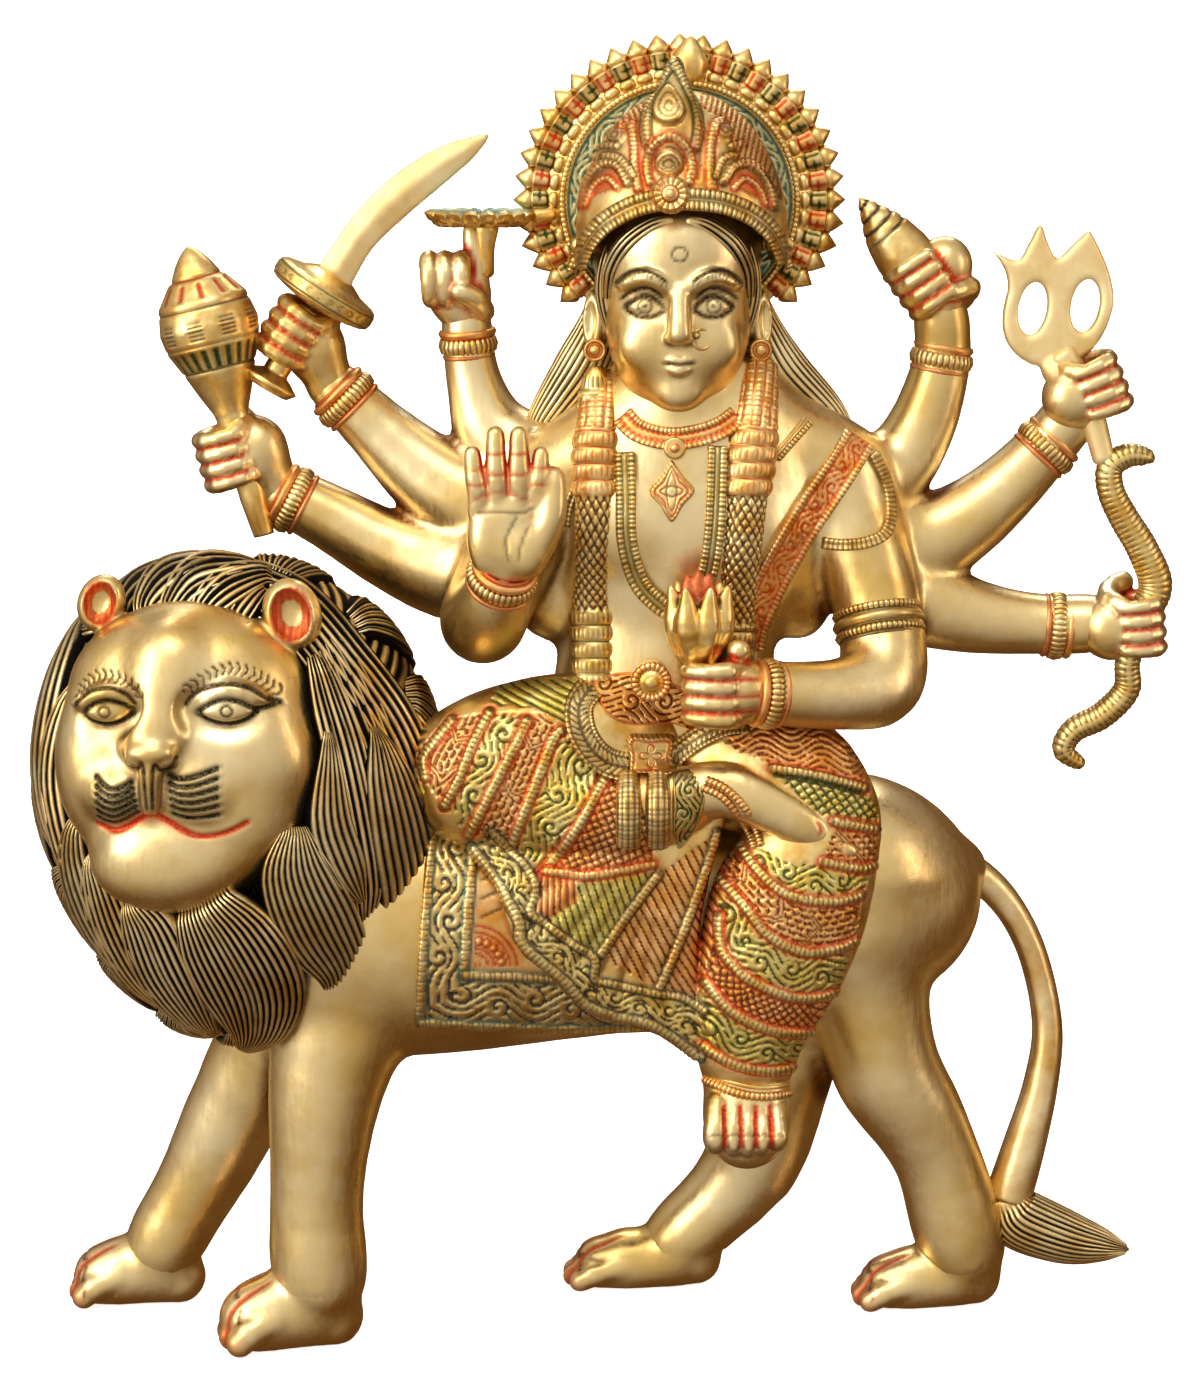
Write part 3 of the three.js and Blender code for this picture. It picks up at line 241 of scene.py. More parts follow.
            # slanting pairs of strokes either side of a rib
            fold = np.abs(q)
            cuts = ramp(beat(p + 0.8 * fold, pitch), 0.25, 0.9)
            cuts = np.maximum(cuts * ramp(fold, 0.3, 0.8), peak(q, 0.4))
        else:
            # dots in rows
            cu = p - (np.floor(p / pitch) + 0.5) * pitch
            cv = q - (np.floor(q / pitch) + 0.5) * pitch
            cuts = ramp(-np.hypot(cu, cv), -0.34 * pitch, -0.18 * pitch)
        self.colour(wash * soft * self.where, ground)
        self.cut(cuts * soft, depth, tint, 0.96)

    def part(self):
        # rise, colour, cover and age with its painted shade, in the shape that the points came in
        shape = self.shape
        return (self.high.reshape(shape), self.tint.reshape(shape + (3,)), self.cover.reshape(shape),
                self.age.reshape(shape))


# Mesh parts and pieces

rollSides = 7  # points round a thin roll

def gridPart(points, closed=False, tint=None, cover=None, age=None, capEnds=False, face=None):
    # a sheet of quads; face gives the way that an open sheet looks
    n, m = points.shape[:2]
    index = np.arange(n * m).reshape(n, m)
    if closed:
        index = np.hstack([index, index[:, :1]])
    a, b, c, d = index[:-1, :-1], index[:-1, 1:], index[1:, 1:], index[1:, :-1]
    quads = np.stack([a, b, c, d], -1).reshape(-1, 4)
    verts = points.reshape(-1, 3)
    shape = (n, m)
    tint = np.broadcast_to(np.asarray(lacquer["black"] if tint is None else tint, float), shape + (3,))
    cover = np.broadcast_to(0.0 if cover is None else cover, shape)
    age = np.broadcast_to(0.0 if age is None else age, shape)
    part = {"verts": verts, "quads": quads, "tint": tint.reshape(-1, 3), "cover": cover.reshape(-1),
            "age": age.reshape(-1)}
    if face is not None:
        q = verts[quads]
        normal = np.cross(q[:, 2] - q[:, 0], q[:, 3] - q[:, 1]).sum(0)
        if normal @ np.asarray(face, float) < 0:
            part["quads"] = quads[:, ::-1]
    if capEnds:
        count = len(verts)
        part["verts"] = np.vstack([verts, points[0].mean(0), points[-1].mean(0)])
        first, last = index[0], index[-1]
        one, two = np.full(len(first) - 1, count), np.full(len(last) - 1, count + 1)
        start = np.stack([first[1:], first[:-1], one, one], 1)
        end = np.stack([last[:-1], last[1:], two, two], 1)
        part["quads"] = np.vstack([quads, start, end])
        for key in ("tint", "cover", "age"):
            values = part[key]
            part[key] = np.concatenate([values, values[:1], values[-1:]])
    return part


def makePiece(name, parts, material, share=1.0):
    # joins parts into one object, in metres, with the lacquer, and the age with its painted shade, kept on
    # its points; share is how much of its triangles stay, the flattest going first
    offset, quads = 0, []
    for part in parts:
        quads.append(part["quads"] + offset)
        offset += len(part["verts"])
    verts = toMetres(np.vstack([part["verts"] for part in parts]))
    quads = np.vstack(quads)
    triangle = quads[:, 2] == quads[:, 3]
    sizes = np.where(triangle, 3, 4)
    keep = np.ones(quads.shape, bool)
    keep[triangle, 3] = False
    flat = quads[keep]
    mesh = bpy.data.meshes.new(name)
    mesh.vertices.add(len(verts))
    mesh.vertices.foreach_set("co", verts.astype(np.float32).ravel())
    mesh.loops.add(len(flat))
    mesh.loops.foreach_set("vertex_index", flat.astype(np.int32))
    mesh.polygons.add(len(quads))
    mesh.polygons.foreach_set("loop_start", np.concatenate([[0], np.cumsum(sizes)[:-1]]).astype(np.int32))
    mesh.update(calc_edges=True)
    colour = np.hstack([np.vstack([part["tint"] for part in parts]),
                        np.concatenate([part["cover"] for part in parts])[:, None]])
    layer = mesh.attributes.new("lacquer", "FLOAT_COLOR", "POINT")
    layer.data.foreach_set("color", colour.astype(np.float32).ravel())
    layer = mesh.attributes.new("age", "FLOAT", "POINT")
    layer.data.foreach_set("value", np.concatenate([part["age"] for part in parts]).astype(np.float32))
    mesh.validate()
    mesh.polygons.foreach_set("use_smooth", np.ones(len(mesh.polygons), bool))
    mesh.materials.append(material)
    piece = bpy.data.objects.new(name, mesh)
    bpy.context.scene.collection.objects.link(piece)
    if share < 1:
        piece.modifiers.new("lighter", "DECIMATE").ratio = share
        lighter = piece.evaluated_get(bpy.context.evaluated_depsgraph_get())
        mesh = bpy.data.meshes.new_from_object(lighter)
        piece.modifiers.clear()
        piece.data = mesh
    count = sum(len(face.vertices) - 2 for face in mesh.polygons)
    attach(piece, "root")
    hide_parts("durga_on_lion")
    print("piece", name, count, "triangles")
    return piece


def tube(stations, step=1.0, sides=24, deep=1.0, relief=None, ends=0.6, angles=None, perSpan=12):
    # a limb through stations [x, y, z, radius]; the angle of 90 degrees faces the viewer
    path, run = evenPath(stations, step, perSpan)
    tangent = unit(np.gradient(path[:, :3], axis=0))
    across = unit(np.cross(tangent, (0, 1, 0)))
    outward = unit(np.cross(tangent, across))
    turn = np.linspace(0, 2 * np.pi, sides, endpoint=False) if angles is None else np.asarray(angles)
    radius = path[:, 3].copy()
    if ends:
        # the ends close in a quarter circle
        for gap in (run, run[-1] - run):
            size = radius * ends
            near = gap < size
            radius[near] = radius[near] * np.sqrt(np.maximum(1 - (1 - gap[near] / size[near]) ** 2, 0.0004))
    c, s = np.cos(turn)[None, :, None], np.sin(turn)[None, :, None]
    way = across[:, None] * c + outward[:, None] * (s * deep)
    points = path[:, None, :3] + way * radius[:, None, None]
    if relief is None:
        return gridPart(points, closed=True, capEnds=True)
    arc = run[:, None] + 0 * turn[None]
    high, tint, cover, age = relief(arc, turn[None] + 0 * arc, radius[:, None] + 0 * arc, points)
    normal = unit(across[:, None] * c * deep + outward[:, None] * s)
    points = points + normal * np.asarray(high)[..., None]
    return gridPart(points, closed=True, tint=tint, cover=cover, age=age, capEnds=True)


def turned(profile, start, end, sides=36, relief=None, step=0.8, deep=1.0):
    # [distance, radius] pairs turned about the line from start to end
    profile = np.asarray(profile, float)
    run = np.concatenate([[0], np.cumsum(np.linalg.norm(np.diff(profile, axis=0), axis=1))])
    at = np.unique(np.concatenate([np.linspace(0, run[-1], max(4, int(run[-1] / step))), run]))
    far = np.interp(at, run, profile[:, 0])
    radius = np.interp(at, run, profile[:, 1])
    start, end = np.asarray(start, float), np.asarray(end, float)
    axis = unit(end - start)
    guide = np.array([0, 1.0, 0]) if abs(axis[1]) < 0.9 else np.array([1.0, 0, 0])
    across = unit(np.cross(axis, guide))
    outward = np.cross(axis, across)
    turn = np.linspace(0, 2 * np.pi, sides, endpoint=False)
    way = across[None] * np.cos(turn)[:, None] + deep * outward[None] * np.sin(turn)[:, None]
    arc = far[:, None] + 0 * turn[None]
    tint = cover = age = None
    high = 0 * arc
    if relief is not None:
        high, tint, cover, age = relief(arc, turn[None] + 0 * arc, radius[:, None] + 0 * arc, None)
    wide = np.maximum(radius[:, None] + high, 0.02)
    points = start + axis * far[:, None, None] + way[None] * wide[..., None]
    return gridPart(points, closed=True, tint=tint, cover=cover, age=age, capEnds=True)


def roll(stations, radius, pitch=1.7, tint="brown", cover=0.9, plain=False):
    # a rolled edge cut across by fine strokes, with lacquer left in them
    def strokes(run, turn, size, points):
        cut = 0 * run if plain else ramp(np.cos(2 * np.pi * (run / pitch + 0.15 * np.sin(turn))), 0.2, 0.9)
        return -0.25 * radius * cut, lacquer[tint], cover * cut, 0.3 * cut
    path = [list(p[:3]) + [radius] for p in stations]
    return tube(path, 1.8 if plain else pitch / 4, rollSides, relief=strokes, ends=0.5)


def ring(centre, axis, radius, thick, pitch=1.7, tint="brown", cover=0.9, plain=False, guide=(0, 1, 0),
         wide=1.0):
    # a closed roll round a limb
    axis = unit(np.asarray(axis, float))
    across = unit(np.cross(axis, guide))
    outward = np.cross(axis, across)
    count = int(max(30, 2 * np.pi * radius / (1.9 if plain else pitch / 4)))
    turn = np.linspace(0, 2 * np.pi, count + 1)
    way = across[None] * np.cos(turn)[:, None] + outward[None] * np.sin(turn)[:, None]
    small = -np.linspace(0, 2 * np.pi, rollSides, endpoint=False)
    cut = 0 * turn if plain else ramp(np.cos(turn * round(2 * np.pi * radius / pitch)), 0.2, 0.9)
    size = thick * (1 - 0.25 * cut)
    points = (np.asarray(centre, float)
              + way[:, None] * (radius + np.cos(small)[None] * size[:, None])[..., None]
              + axis[None, None] * (np.sin(small)[None] * size[:, None] * wide)[..., None])
    # a plain ring holds a thin even wash, a cut one keeps it in its strokes
    covers = np.repeat((cover * (0 * turn + 0.25) if plain else cover * cut)[:, None], rollSides, 1)
    return gridPart(points, closed=True, tint=lacquer[tint], cover=covers, age=0.3 * covers)


def disc(centre, normal, profile, sides=28, petals=0, petalDepth=0.0, tint="brown", lines=()):
    # a round boss: profile of [radius, height] pairs from its rim to its middle; lines are rings of colour
    normal = unit(np.asarray(normal, float))
    across = unit(np.cross((0, 0, 1), normal))
    above = np.cross(normal, across)
    profile = np.asarray(profile, float)
    run = np.concatenate([[0], np.cumsum(np.linalg.norm(np.diff(profile, axis=0), axis=1))])
    at = np.unique(np.concatenate([np.linspace(0, run[-1], max(6, int(run[-1] / 0.35))), run]))
    radius, high = np.interp(at, run, profile[:, 0]), np.interp(at, run, profile[:, 1])
    turn = np.linspace(0, 2 * np.pi, sides, endpoint=False)
    cut = np.zeros((len(at), sides))
    if petals:
        outer = ramp(radius, 0.35 * radius[0], 0.6 * radius[0])
        cut = ramp(np.cos(turn * petals), 0.3, 0.95)[None] * outer[:, None]
    cover = 0.85 * cut
    for r in lines:
        cover = np.maximum(cover, 0.9 * peak(radius - r, 0.3)[:, None] + 0 * cut)
    flat = across[None] * np.cos(turn)[:, None] + above[None] * np.sin(turn)[:, None]
    points = (np.asarray(centre, float) + flat[None] * radius[:, None, None]
              + normal[None, None] * (high[:, None] - petalDepth * cut)[..., None])
    return gridPart(points, closed=True, tint=lacquer[tint], cover=cover, age=0.3 * cover, capEnds=True)


# Modelled bodies: masses blended on a grid of cells, then given a skin

class Clay:
    def __init__(self, low, high, cell):
        self.low, self.cell = np.asarray(low, float), cell
        self.count = np.ceil((np.asarray(high, float) - self.low) / cell).astype(int) + 1
        self.field = np.full(self.count, 40.0, np.float32)

    def blank(self):
        # an empty clay on the same grid
        other = Clay(self.low, self.low, self.cell)
        other.count, other.field = self.count, np.full_like(self.field, 40.0)
        return other

    def add(self, other):
        # joins another clay with a sharp crease between the two
        self.field = np.minimum(self.field, other.field)

    def window(self, low, high):
        # the cells between two corners, and their places
        first = np.maximum(np.floor((np.asarray(low) - self.low) / self.cell).astype(int), 0)
        last = np.minimum(np.ceil((np.asarray(high) - self.low) / self.cell).astype(int) + 1, self.count)
        if np.any(last <= first):
            return None, None
        axes = [(self.low[i] + self.cell * np.arange(first[i], last[i])).astype(np.float32) for i in range(3)]
        part = tuple(slice(first[i], last[i]) for i in range(3))
        return part, np.meshgrid(*axes, indexing="ij", sparse=True)

    def blend(self, part, distance, soft, carve=False):
        # joins or takes away a form with a fillet about as wide as soft
        old = self.field[part]
        if carve:
            distance = -distance
            h = clamp(0.5 - 0.5 * (old - distance) / max(soft, 1e-3))
            self.field[part] = old + (distance - old) * h + soft * h * (1 - h)
        else:
            h = clamp(0.5 + 0.5 * (old - distance) / max(soft, 1e-3))
            self.field[part] = old + (distance - old) * h - soft * h * (1 - h)

    def cone(self, a, b, ra, rb, soft=3.0, deep=1.0):
        # a rod with round ends, as wide as ra at a and rb at b
        a, b = np.asarray(a, float), np.asarray(b, float)
        reach = max(ra, rb) + soft + 2 * self.cell
        part, grid = self.window(np.minimum(a, b) - reach, np.maximum(a, b) + reach)
        if part is None:
            return
        ab = (b - a) / [1, deep, 1]
        px, py, pz = grid[0] - a[0], (grid[1] - a[1]) / deep, grid[2] - a[2]
        t = clamp((px * ab[0] + py * ab[1] + pz * ab[2]) / max(ab @ ab, 1e-9))
        far = np.sqrt((px - ab[0] * t) ** 2 + (py - ab[1] * t) ** 2 + (pz - ab[2] * t) ** 2)
        d = far - (ra + (rb - ra) * t)
        self.blend(part, (d * min(1.0, deep + 0.15)).astype(np.float32), soft)

    def limb(self, stations, soft=3.0, deep=1.0, perSpan=3):
        # rods joined end to end through stations [x, y, z, radius]
        path = smoothPath(stations, perSpan)
        for one, two in zip(path, path[1:]):
            self.cone(one[:3], two[:3], one[3], two[3], soft, deep)

    def egg(self, centre, radii, soft=3.0, tilt=0.0, carve=False):
        # an egg turned by tilt in the picture, joined on or carved away
        c, r = np.asarray(centre, float), np.asarray(radii, float)
        reach = r.max() + soft + 2 * self.cell
        part, grid = self.window(c - reach, c + reach)
        if part is None:
            return
        x, y, z = grid[0] - c[0], grid[1] - c[1], grid[2] - c[2]
        s, k = math.sin(math.radians(tilt)), math.cos(math.radians(tilt))
        x, z = x * k - z * s, x * s + z * k
        near = np.sqrt((x / r[0]) ** 2 + (y / r[1]) ** 2 + (z / r[2]) ** 2)
        far = np.sqrt((x / r[0] ** 2) ** 2 + (y / r[1] ** 2) ** 2 + (z / r[2] ** 2) ** 2)
        d = np.maximum(near * (near - 1) / np.maximum(far, 1e-6), -r.min())
        self.blend(part, d.astype(np.float32), soft, carve)

    def floor(self, level):
        # cuts everything off flat below the level
        z = self.low[2] + self.cell * np.arange(self.count[2])
        self.field = np.maximum(self.field, (level - z)[None, None, :].astype(np.float32))

    def sample(self, points):
        # how far points are from the surface
        g = (points - self.low) / self.cell
        i = np.clip(np.floor(g).astype(int), 0, self.count - 2)
        f = np.clip(g - i, 0, 1)
        field = self.field.ravel()
        ny, nz = self.count[1], self.count[2]
        base = (i[:, 0] * ny + i[:, 1]) * nz + i[:, 2]
        out = 0
        for dx in (0, 1):
            wx = f[:, 0] if dx else 1 - f[:, 0]
            for dy in (0, 1):
                wy = wx * (f[:, 1] if dy else 1 - f[:, 1])
                row = base + (dx * ny + dy) * nz
                out = out + wy * ((1 - f[:, 2]) * field[row] + f[:, 2] * field[row + 1])
        return out

    def slope(self, points):
        # the way that the surface faces near points
        steps = np.eye(3) * self.cell
        return unit(np.stack([self.sample(points + s) - self.sample(points - s) for s in steps], 1))

    def skin(self, tint="black", creaseCover=0.0, creaseAge=0.7, reach=4.0, even=3, keep=None, engrave=None,
             creaseFrom=0.3):
        # one point in each cell that the surface crosses, joined round each crossed edge
        f, n = self.field, self.count
        cells = n - 1

        def number(cell):
            return (cell[:, 0] * cells[1] + cell[:, 1]) * cells[2] + cell[:, 2]
        key, hit = [], []
        for axis in range(3):
            lo, hi = [slice(None)] * 3, [slice(None)] * 3
            lo[axis], hi[axis] = slice(0, -1), slice(1, None)
            a, b = f[tuple(lo)], f[tuple(hi)]
            index = np.argwhere((a < 0) != (b < 0))
            at = tuple(index.T)
            point = index.astype(np.float32)
            point[:, axis] += a[at] / (a[at] - b[at])
            u, v = [k for k in range(3) if k != axis]
            for du in (0, -1):
                for dv in (0, -1):
                    cell = index.copy()
                    cell[:, u] += du
                    cell[:, v] += dv
                    ok = np.all((cell >= 0) & (cell < cells), axis=1)
                    key.append(number(cell[ok]))
                    hit.append(point[ok])
        key, order = np.unique(np.concatenate(key), return_inverse=True)
        hit = np.concatenate(hit)
        weight = np.bincount(order)
        verts = np.stack([np.bincount(order, hit[:, k]) / weight for k in range(3)], 1)
        verts = self.low + self.cell * verts
        quads = []
        for axis in range(3):
            u, v = [k for k in range(3) if k != axis]
            lo, hi = [slice(1, -1)] * 3, [slice(1, -1)] * 3
            lo[axis], hi[axis] = slice(0, -1), slice(1, None)
            index = np.argwhere((f[tuple(lo)] < 0) != (f[tuple(hi)] < 0))
            index[:, u] += 1
            index[:, v] += 1
            flip = f[tuple(index.T)] < 0
            if axis == 1:
                flip = ~flip
            corner = []
            for du, dv in ((-1, -1), (0, -1), (0, 0), (-1, 0)):
                cell = index.copy()
                cell[:, u] += du
                cell[:, v] += dv
                corner.append(np.searchsorted(key, number(cell)))
            quad = np.stack(corner, 1)
            quad[~flip] = quad[~flip][:, ::-1]
            quads.append(quad)
        quads = np.vstack(quads)
        for _ in range(even):
            # each point drifts to the middle of its neighbours, then back onto the surface
            mean, count = np.zeros_like(verts), np.zeros(len(verts))
            for k in range(4):
                one, two = quads[:, k], quads[:, (k + 1) % 4]
                mean += np.stack([np.bincount(one, verts[two, j], len(verts)) for j in range(3)], 1)
                count += np.bincount(one, minlength=len(verts))
            verts = verts * 0.4 + 0.6 * mean / np.maximum(count, 1)[:, None]
            verts = verts - self.slope(verts) * self.sample(verts)[:, None]
        normal = self.slope(verts)
        shut = clamp(1 - self.sample(verts + normal * reach) / reach)
        if keep is not None:
            wanted = keep(verts)
            quads = quads[np.all(wanted[quads], axis=1)]
            live = np.unique(quads)
            new = np.full(len(verts), -1)
            new[live] = np.arange(len(live))
            quads, verts, shut, normal = new[quads], verts[live], shut[live], normal[live]
        # patina gathers in the creases, and faces that look down are darkened further as painted shade
        part = {"verts": verts, "quads": quads, "tint": np.tile(lacquer[tint], (len(verts), 1)),
                "cover": creaseCover * ramp(shut, creaseFrom, creaseFrom + 0.35),
                "age": np.maximum(creaseAge * ramp(shut, 0.1, 0.65), 0.4 * ramp(-normal[:, 2], 0.3, 1.0))}
        if engrave is not None:
            marks = Engraving(verts)
            marks.cover[:], marks.age[:] = part["cover"], part["age"]
            marks.tint[:] = part["tint"]
            engrave(marks, normal, verts)
            part["verts"] = verts + normal * marks.high[:, None]
            part["tint"], part["cover"], part["age"] = marks.tint, marks.cover, marks.age
        return part


# Materials

def addNode(tree, kind, values=None, links=None, **settings):
    # adds a node, sets its options and sockets, and links sources to it
    node = tree.nodes.new(kind)
    for key, value in settings.items():
        setattr(node, key, value)
    for socket, value in (values or {}).items():
        node.inputs[socket].default_value = value
    for socket, source in (links or {}).items():
        tree.links.new(source, node.inputs[socket])
    return node


def brassMaterial(name, look):
    material = bpy.data.materials.new(name)
    material.use_nodes = True
    tree = material.node_tree
    tree.nodes.clear()
    place = addNode(tree, "ShaderNodeTexCoord").outputs["Object"]
    colour = addNode(tree, "ShaderNodeAttribute", attribute_name="lacquer", attribute_type="GEOMETRY")
    agedAndShaded = addNode(tree, "ShaderNodeAttribute", attribute_name="age", attribute_type="GEOMETRY")
    # cloudy change of tone across the casting, cloudMm wide
    cloud = addNode(tree, "ShaderNodeTexNoise", {"Scale": 1000 / look["cloudMm"], "Detail": 4.0,
                                                 "Roughness": 0.6}, {"Vector": place})
    spread = addNode(tree, "ShaderNodeMapRange", {"From Min": 0.36, "From Max": 0.66},
                     {"Value": cloud.outputs["Fac"]})
    bright, deep = hexColour(look["bright"]) + (1,), hexColour(look["deep"]) + (1,)
    tone = addNode(tree, "ShaderNodeMix", {6: bright, 7: deep}, {0: spread.outputs[0]}, data_type="RGBA")
    # sand grain and casting pits, grainMm wide
    grain = addNode(tree, "ShaderNodeTexNoise", {"Scale": 1000 / look["grainMm"], "Detail": 3.0,
                                                 "Roughness": 0.7}, {"Vector": place})
    # old polish and soot stay in the hollows, and the undersides take the same brown as painted shade; both
    # break up over the grain
    broken = addNode(tree, "ShaderNodeMath", {1: look["ageBreak"]}, {0: grain.outputs["Fac"]},
                     operation="MULTIPLY")
    hollowAndShade = addNode(tree, "ShaderNodeMath", {}, {0: agedAndShaded.outputs["Fac"], 1: broken.outputs[0]},
                     operation="ADD")
    sootAndShade = addNode(tree, "ShaderNodeMapRange", {"From Min": look["ageFrom"], "From Max": look["ageTo"]},
                   {"Value": hollowAndShade.outputs[0]})
    sootedAndShaded = addNode(tree, "ShaderNodeMix", {7: hexColour(look["sootAndShade"]) + (1,)},
                    {0: sootAndShade.outputs[0], 6: tone.outputs[2]}, data_type="RGBA")
    # the lacquer is rubbed thin where the grain stands proud
    worn = addNode(tree, "ShaderNodeMapRange", {"From Min": 0.3, "From Max": 0.6, "To Min": 0.8,
                                                "To Max": 1.0}, {"Value": grain.outputs["Fac"]})
    coat = addNode(tree, "ShaderNodeMath", {}, {0: colour.outputs["Alpha"], 1: worn.outputs[0]},
                   operation="MULTIPLY")
    painted = addNode(tree, "ShaderNodeMix", {}, {0: coat.outputs[0], 6: sootedAndShaded.outputs[2],
                                                  7: colour.outputs["Color"]}, data_type="RGBA")
    # the brass shines through the thin lacquer, so the surface stays a metal under it
    metal = addNode(tree, "ShaderNodeMapRange", {"To Min": look["metal"], "To Max": 0.9},
                    {"Value": coat.outputs[0]})
    dull = addNode(tree, "ShaderNodeMath", {1: 0.22}, {0: sootAndShade.outputs[0]}, operation="MULTIPLY")
    duller = addNode(tree, "ShaderNodeMath", {1: 0.15}, {0: coat.outputs[0], 2: dull.outputs[0]},
                     operation="MULTIPLY_ADD")
    # file and brush strokes, brushMm wide and nine times as long
    stretched = addNode(tree, "ShaderNodeMapping", {"Scale": (1.0, 1.0, 0.11)}, {"Vector": place})
    brush = addNode(tree, "ShaderNodeTexNoise", {"Scale": 1000 / look["brushMm"], "Detail": 2.0},
                    {"Vector": stretched.outputs[0]})
    smooth, coarse = look["rough"] - look["roughVary"], look["rough"] + look["roughVary"]
    gloss = addNode(tree, "ShaderNodeMapRange", {"From Min": 0.3, "From Max": 0.7, "To Min": smooth,
                                                 "To Max": coarse}, {"Value": brush.outputs["Fac"]})
    roughness = addNode(tree, "ShaderNodeMath", {}, {0: gloss.outputs[0], 1: duller.outputs[0]},
                        operation="ADD", use_clamp=True)
    dent = addNode(tree, "ShaderNodeTexNoise", {"Scale": 1000 / look["dentMm"], "Detail": 2.0},
                   {"Vector": place})
    wide = addNode(tree, "ShaderNodeBump", {"Strength": look["dentBump"], "Distance": 0.001},
                   {"Height": dent.outputs["Fac"]})
    fine = addNode(tree, "ShaderNodeBump", {"Strength": look["grainBump"], "Distance": 0.0002},
                   {"Height": grain.outputs["Fac"], "Normal": wide.outputs[0]})
    shader = addNode(tree, "ShaderNodeBsdfPrincipled", {},
                     {"Base Color": painted.outputs[2], "Metallic": metal.outputs[0],
                      "Roughness": roughness.outputs[0], "Normal": fine.outputs[0]})
    addNode(tree, "ShaderNodeOutputMaterial", {}, {"Surface": shader.outputs[0]})
    return material


# cast brass, filed and buffed: warm pale gold, soft broad highlights, faint file streaks
buffedBrass = brassMaterial("cast brass buffed", {
    "bright": "#f1dfb2", "deep": "#dcbb72", "sootAndShade": "#733c0a", "metal": 1.0,
    "cloudMm": 45, "grainMm": 0.9, "brushMm": 1.4, "dentMm": 9, "rough": 0.33, "roughVary": 0.06,
    "ageBreak": 0.35, "ageFrom": 0.3, "ageTo": 1.0, "dentBump": 0.2, "grainBump": 0.15})
# cast brass with black patina left in every cut: bright ridges, dark lines
hairBrass = brassMaterial("cast brass with black patina", {
    "bright": "#f3dfb0", "deep": "#cfa45c", "sootAndShade": "#150b04", "metal": 1.0,
    "cloudMm": 22, "grainMm": 0.8, "brushMm": 1.2, "dentMm": 6, "rough": 0.34, "roughVary": 0.06,
    "ageBreak": 0.3, "ageFrom": 0.35, "ageTo": 0.85, "dentBump": 0.15, "grainBump": 0.2})
# brass chased by hand and rubbed with coloured lacquer: gold on the high cuts, colour in the low ones
chasedBrass = brassMaterial("chased brass with lacquer", {
    "bright": "#f2da9c", "deep": "#d8a954", "sootAndShade": "#5f2e09", "metal": 1.0,
    "cloudMm": 10, "grainMm": 0.8, "brushMm": 1.2, "dentMm": 5, "rough": 0.34, "roughVary": 0.05,
    "ageBreak": 0.35, "ageFrom": 0.35, "ageTo": 1.0, "dentBump": 0.15, "grainBump": 0.2})
# blades left from the sand blast: pale, matt, no streaks
blastedBrass = brassMaterial("cast brass blasted matt", {
    "bright": "#efdcae", "deep": "#dcc083", "sootAndShade": "#7a5a24", "metal": 0.85,
    "cloudMm": 22, "grainMm": 0.6, "brushMm": 0.9, "dentMm": 5, "rough": 0.48, "roughVary": 0.05,
    "ageBreak": 0.3, "ageFrom": 0.4, "ageTo": 1.0, "dentBump": 0.12, "grainBump": 0.3})
print("materials made")


# The lion's body, legs and paws
lion = {
    "cell": 3.0, "pawCell": 1.35,
    "trunk": [[-104, -32, 163, 48], [-60, -27, 162, 47.5], [0, -20, 162, 42.5], [60, -10, 161.5, 40],
              [92, -4, 168, 43], [112, -1, 167, 36]],
    "legs": {
        "nearForeleg": [[-98, -40, 134, 27], [-105, -46, 103, 20.5], [-108, -48, 77, 17],
                        [-109.5, -48, 50, 16], [-108.5, -48, 27, 18]],
        "farForeleg": [[-112, -14, 148, 29], [-129, -10, 112, 20.5], [-146, -6, 78, 17.5],
                       [-156, -4, 57, 15.5], [-168, -3, 36, 14], [-176, -3, 22, 14]],
        "nearHindLeg": [[100, -6, 176, 38], [101.5, -10, 142, 25.5], [107, -12, 119, 20.5],
                        [113.5, -12, 97, 19], [124.5, -10, 80, 17], [134.5, -8, 60, 15], [140.5, -6, 40, 16],
                        [145.5, -5, 22, 16]],
        "farHindLeg": [[82, 10, 142, 28], [68, 12.5, 98, 25.5], [66, 16, 72, 20.5], [61, 17, 50, 17],
                       [42, 18, 28, 14], [30, 18, 17, 13]],
    },
    # heel, toe, half the width, height
    "paws": [[[-105, -46], [-145, -54], 17, 27], [[-170, -2], [-210.6, -3], 15, 26],
             [[149, -5], [102, -6], 14, 21], [[38, 18], [-14, 18], 14, 20]],
    "tail": [[124, 2, 180, 12], [144, 8, 175.5, 7.6], [160, 10, 162.5, 6.2], [172, 10, 141, 5.8],
             [178.5, 8, 112, 6.1], [176, 4, 88, 7], [169, 0, 62, 8.6], [163, -2, 42, 9.4]],
    "tuft": [[161, -2, 46, 8], [163, -2, 40, 10], [168, -3, 34, 12.5], [186, -4, 27, 11], [201, -4, 23.5, 7],
             [211.8, -4, 21.5, 1.5]],
}


def pawClay(clay, heel, toe, width, height):
    heel, toe = np.array(heel, float), np.array(toe, float)
    way = (toe - heel) / np.linalg.norm(toe - heel)
    side = np.array([-way[1], way[0]])
    length = np.linalg.norm(toe - heel)
    at = lambda far, off, z: [*(heel + way * far * length + side * off), z]
    clay.cone(at(-0.02, 0, 10), at(0.5, 0, height * 0.5), width * 0.72, width * 0.86, 5, 1.0)
    clay.cone(at(0.2, 0, height * 0.55), at(0.72, 0, height * 0.4), width * 0.72, width * 0.8, 6, 1.0)
    for k in (-1.5, -0.5, 0.5, 1.5):
        off, thick = k * width * 0.46, width * 0.34
        far = 0.86 - 0.05 * abs(k)
        clay.cone(at(0.55, off * 0.85, height * 0.5), at(far, off, height * 0.34), thick, thick * 1.05, 1.6)
        clay.cone(at(far, off, height * 0.34), at(far + 0.1, off, height * 0.2), thick * 1.05, thick * 0.95,
                  1.2)


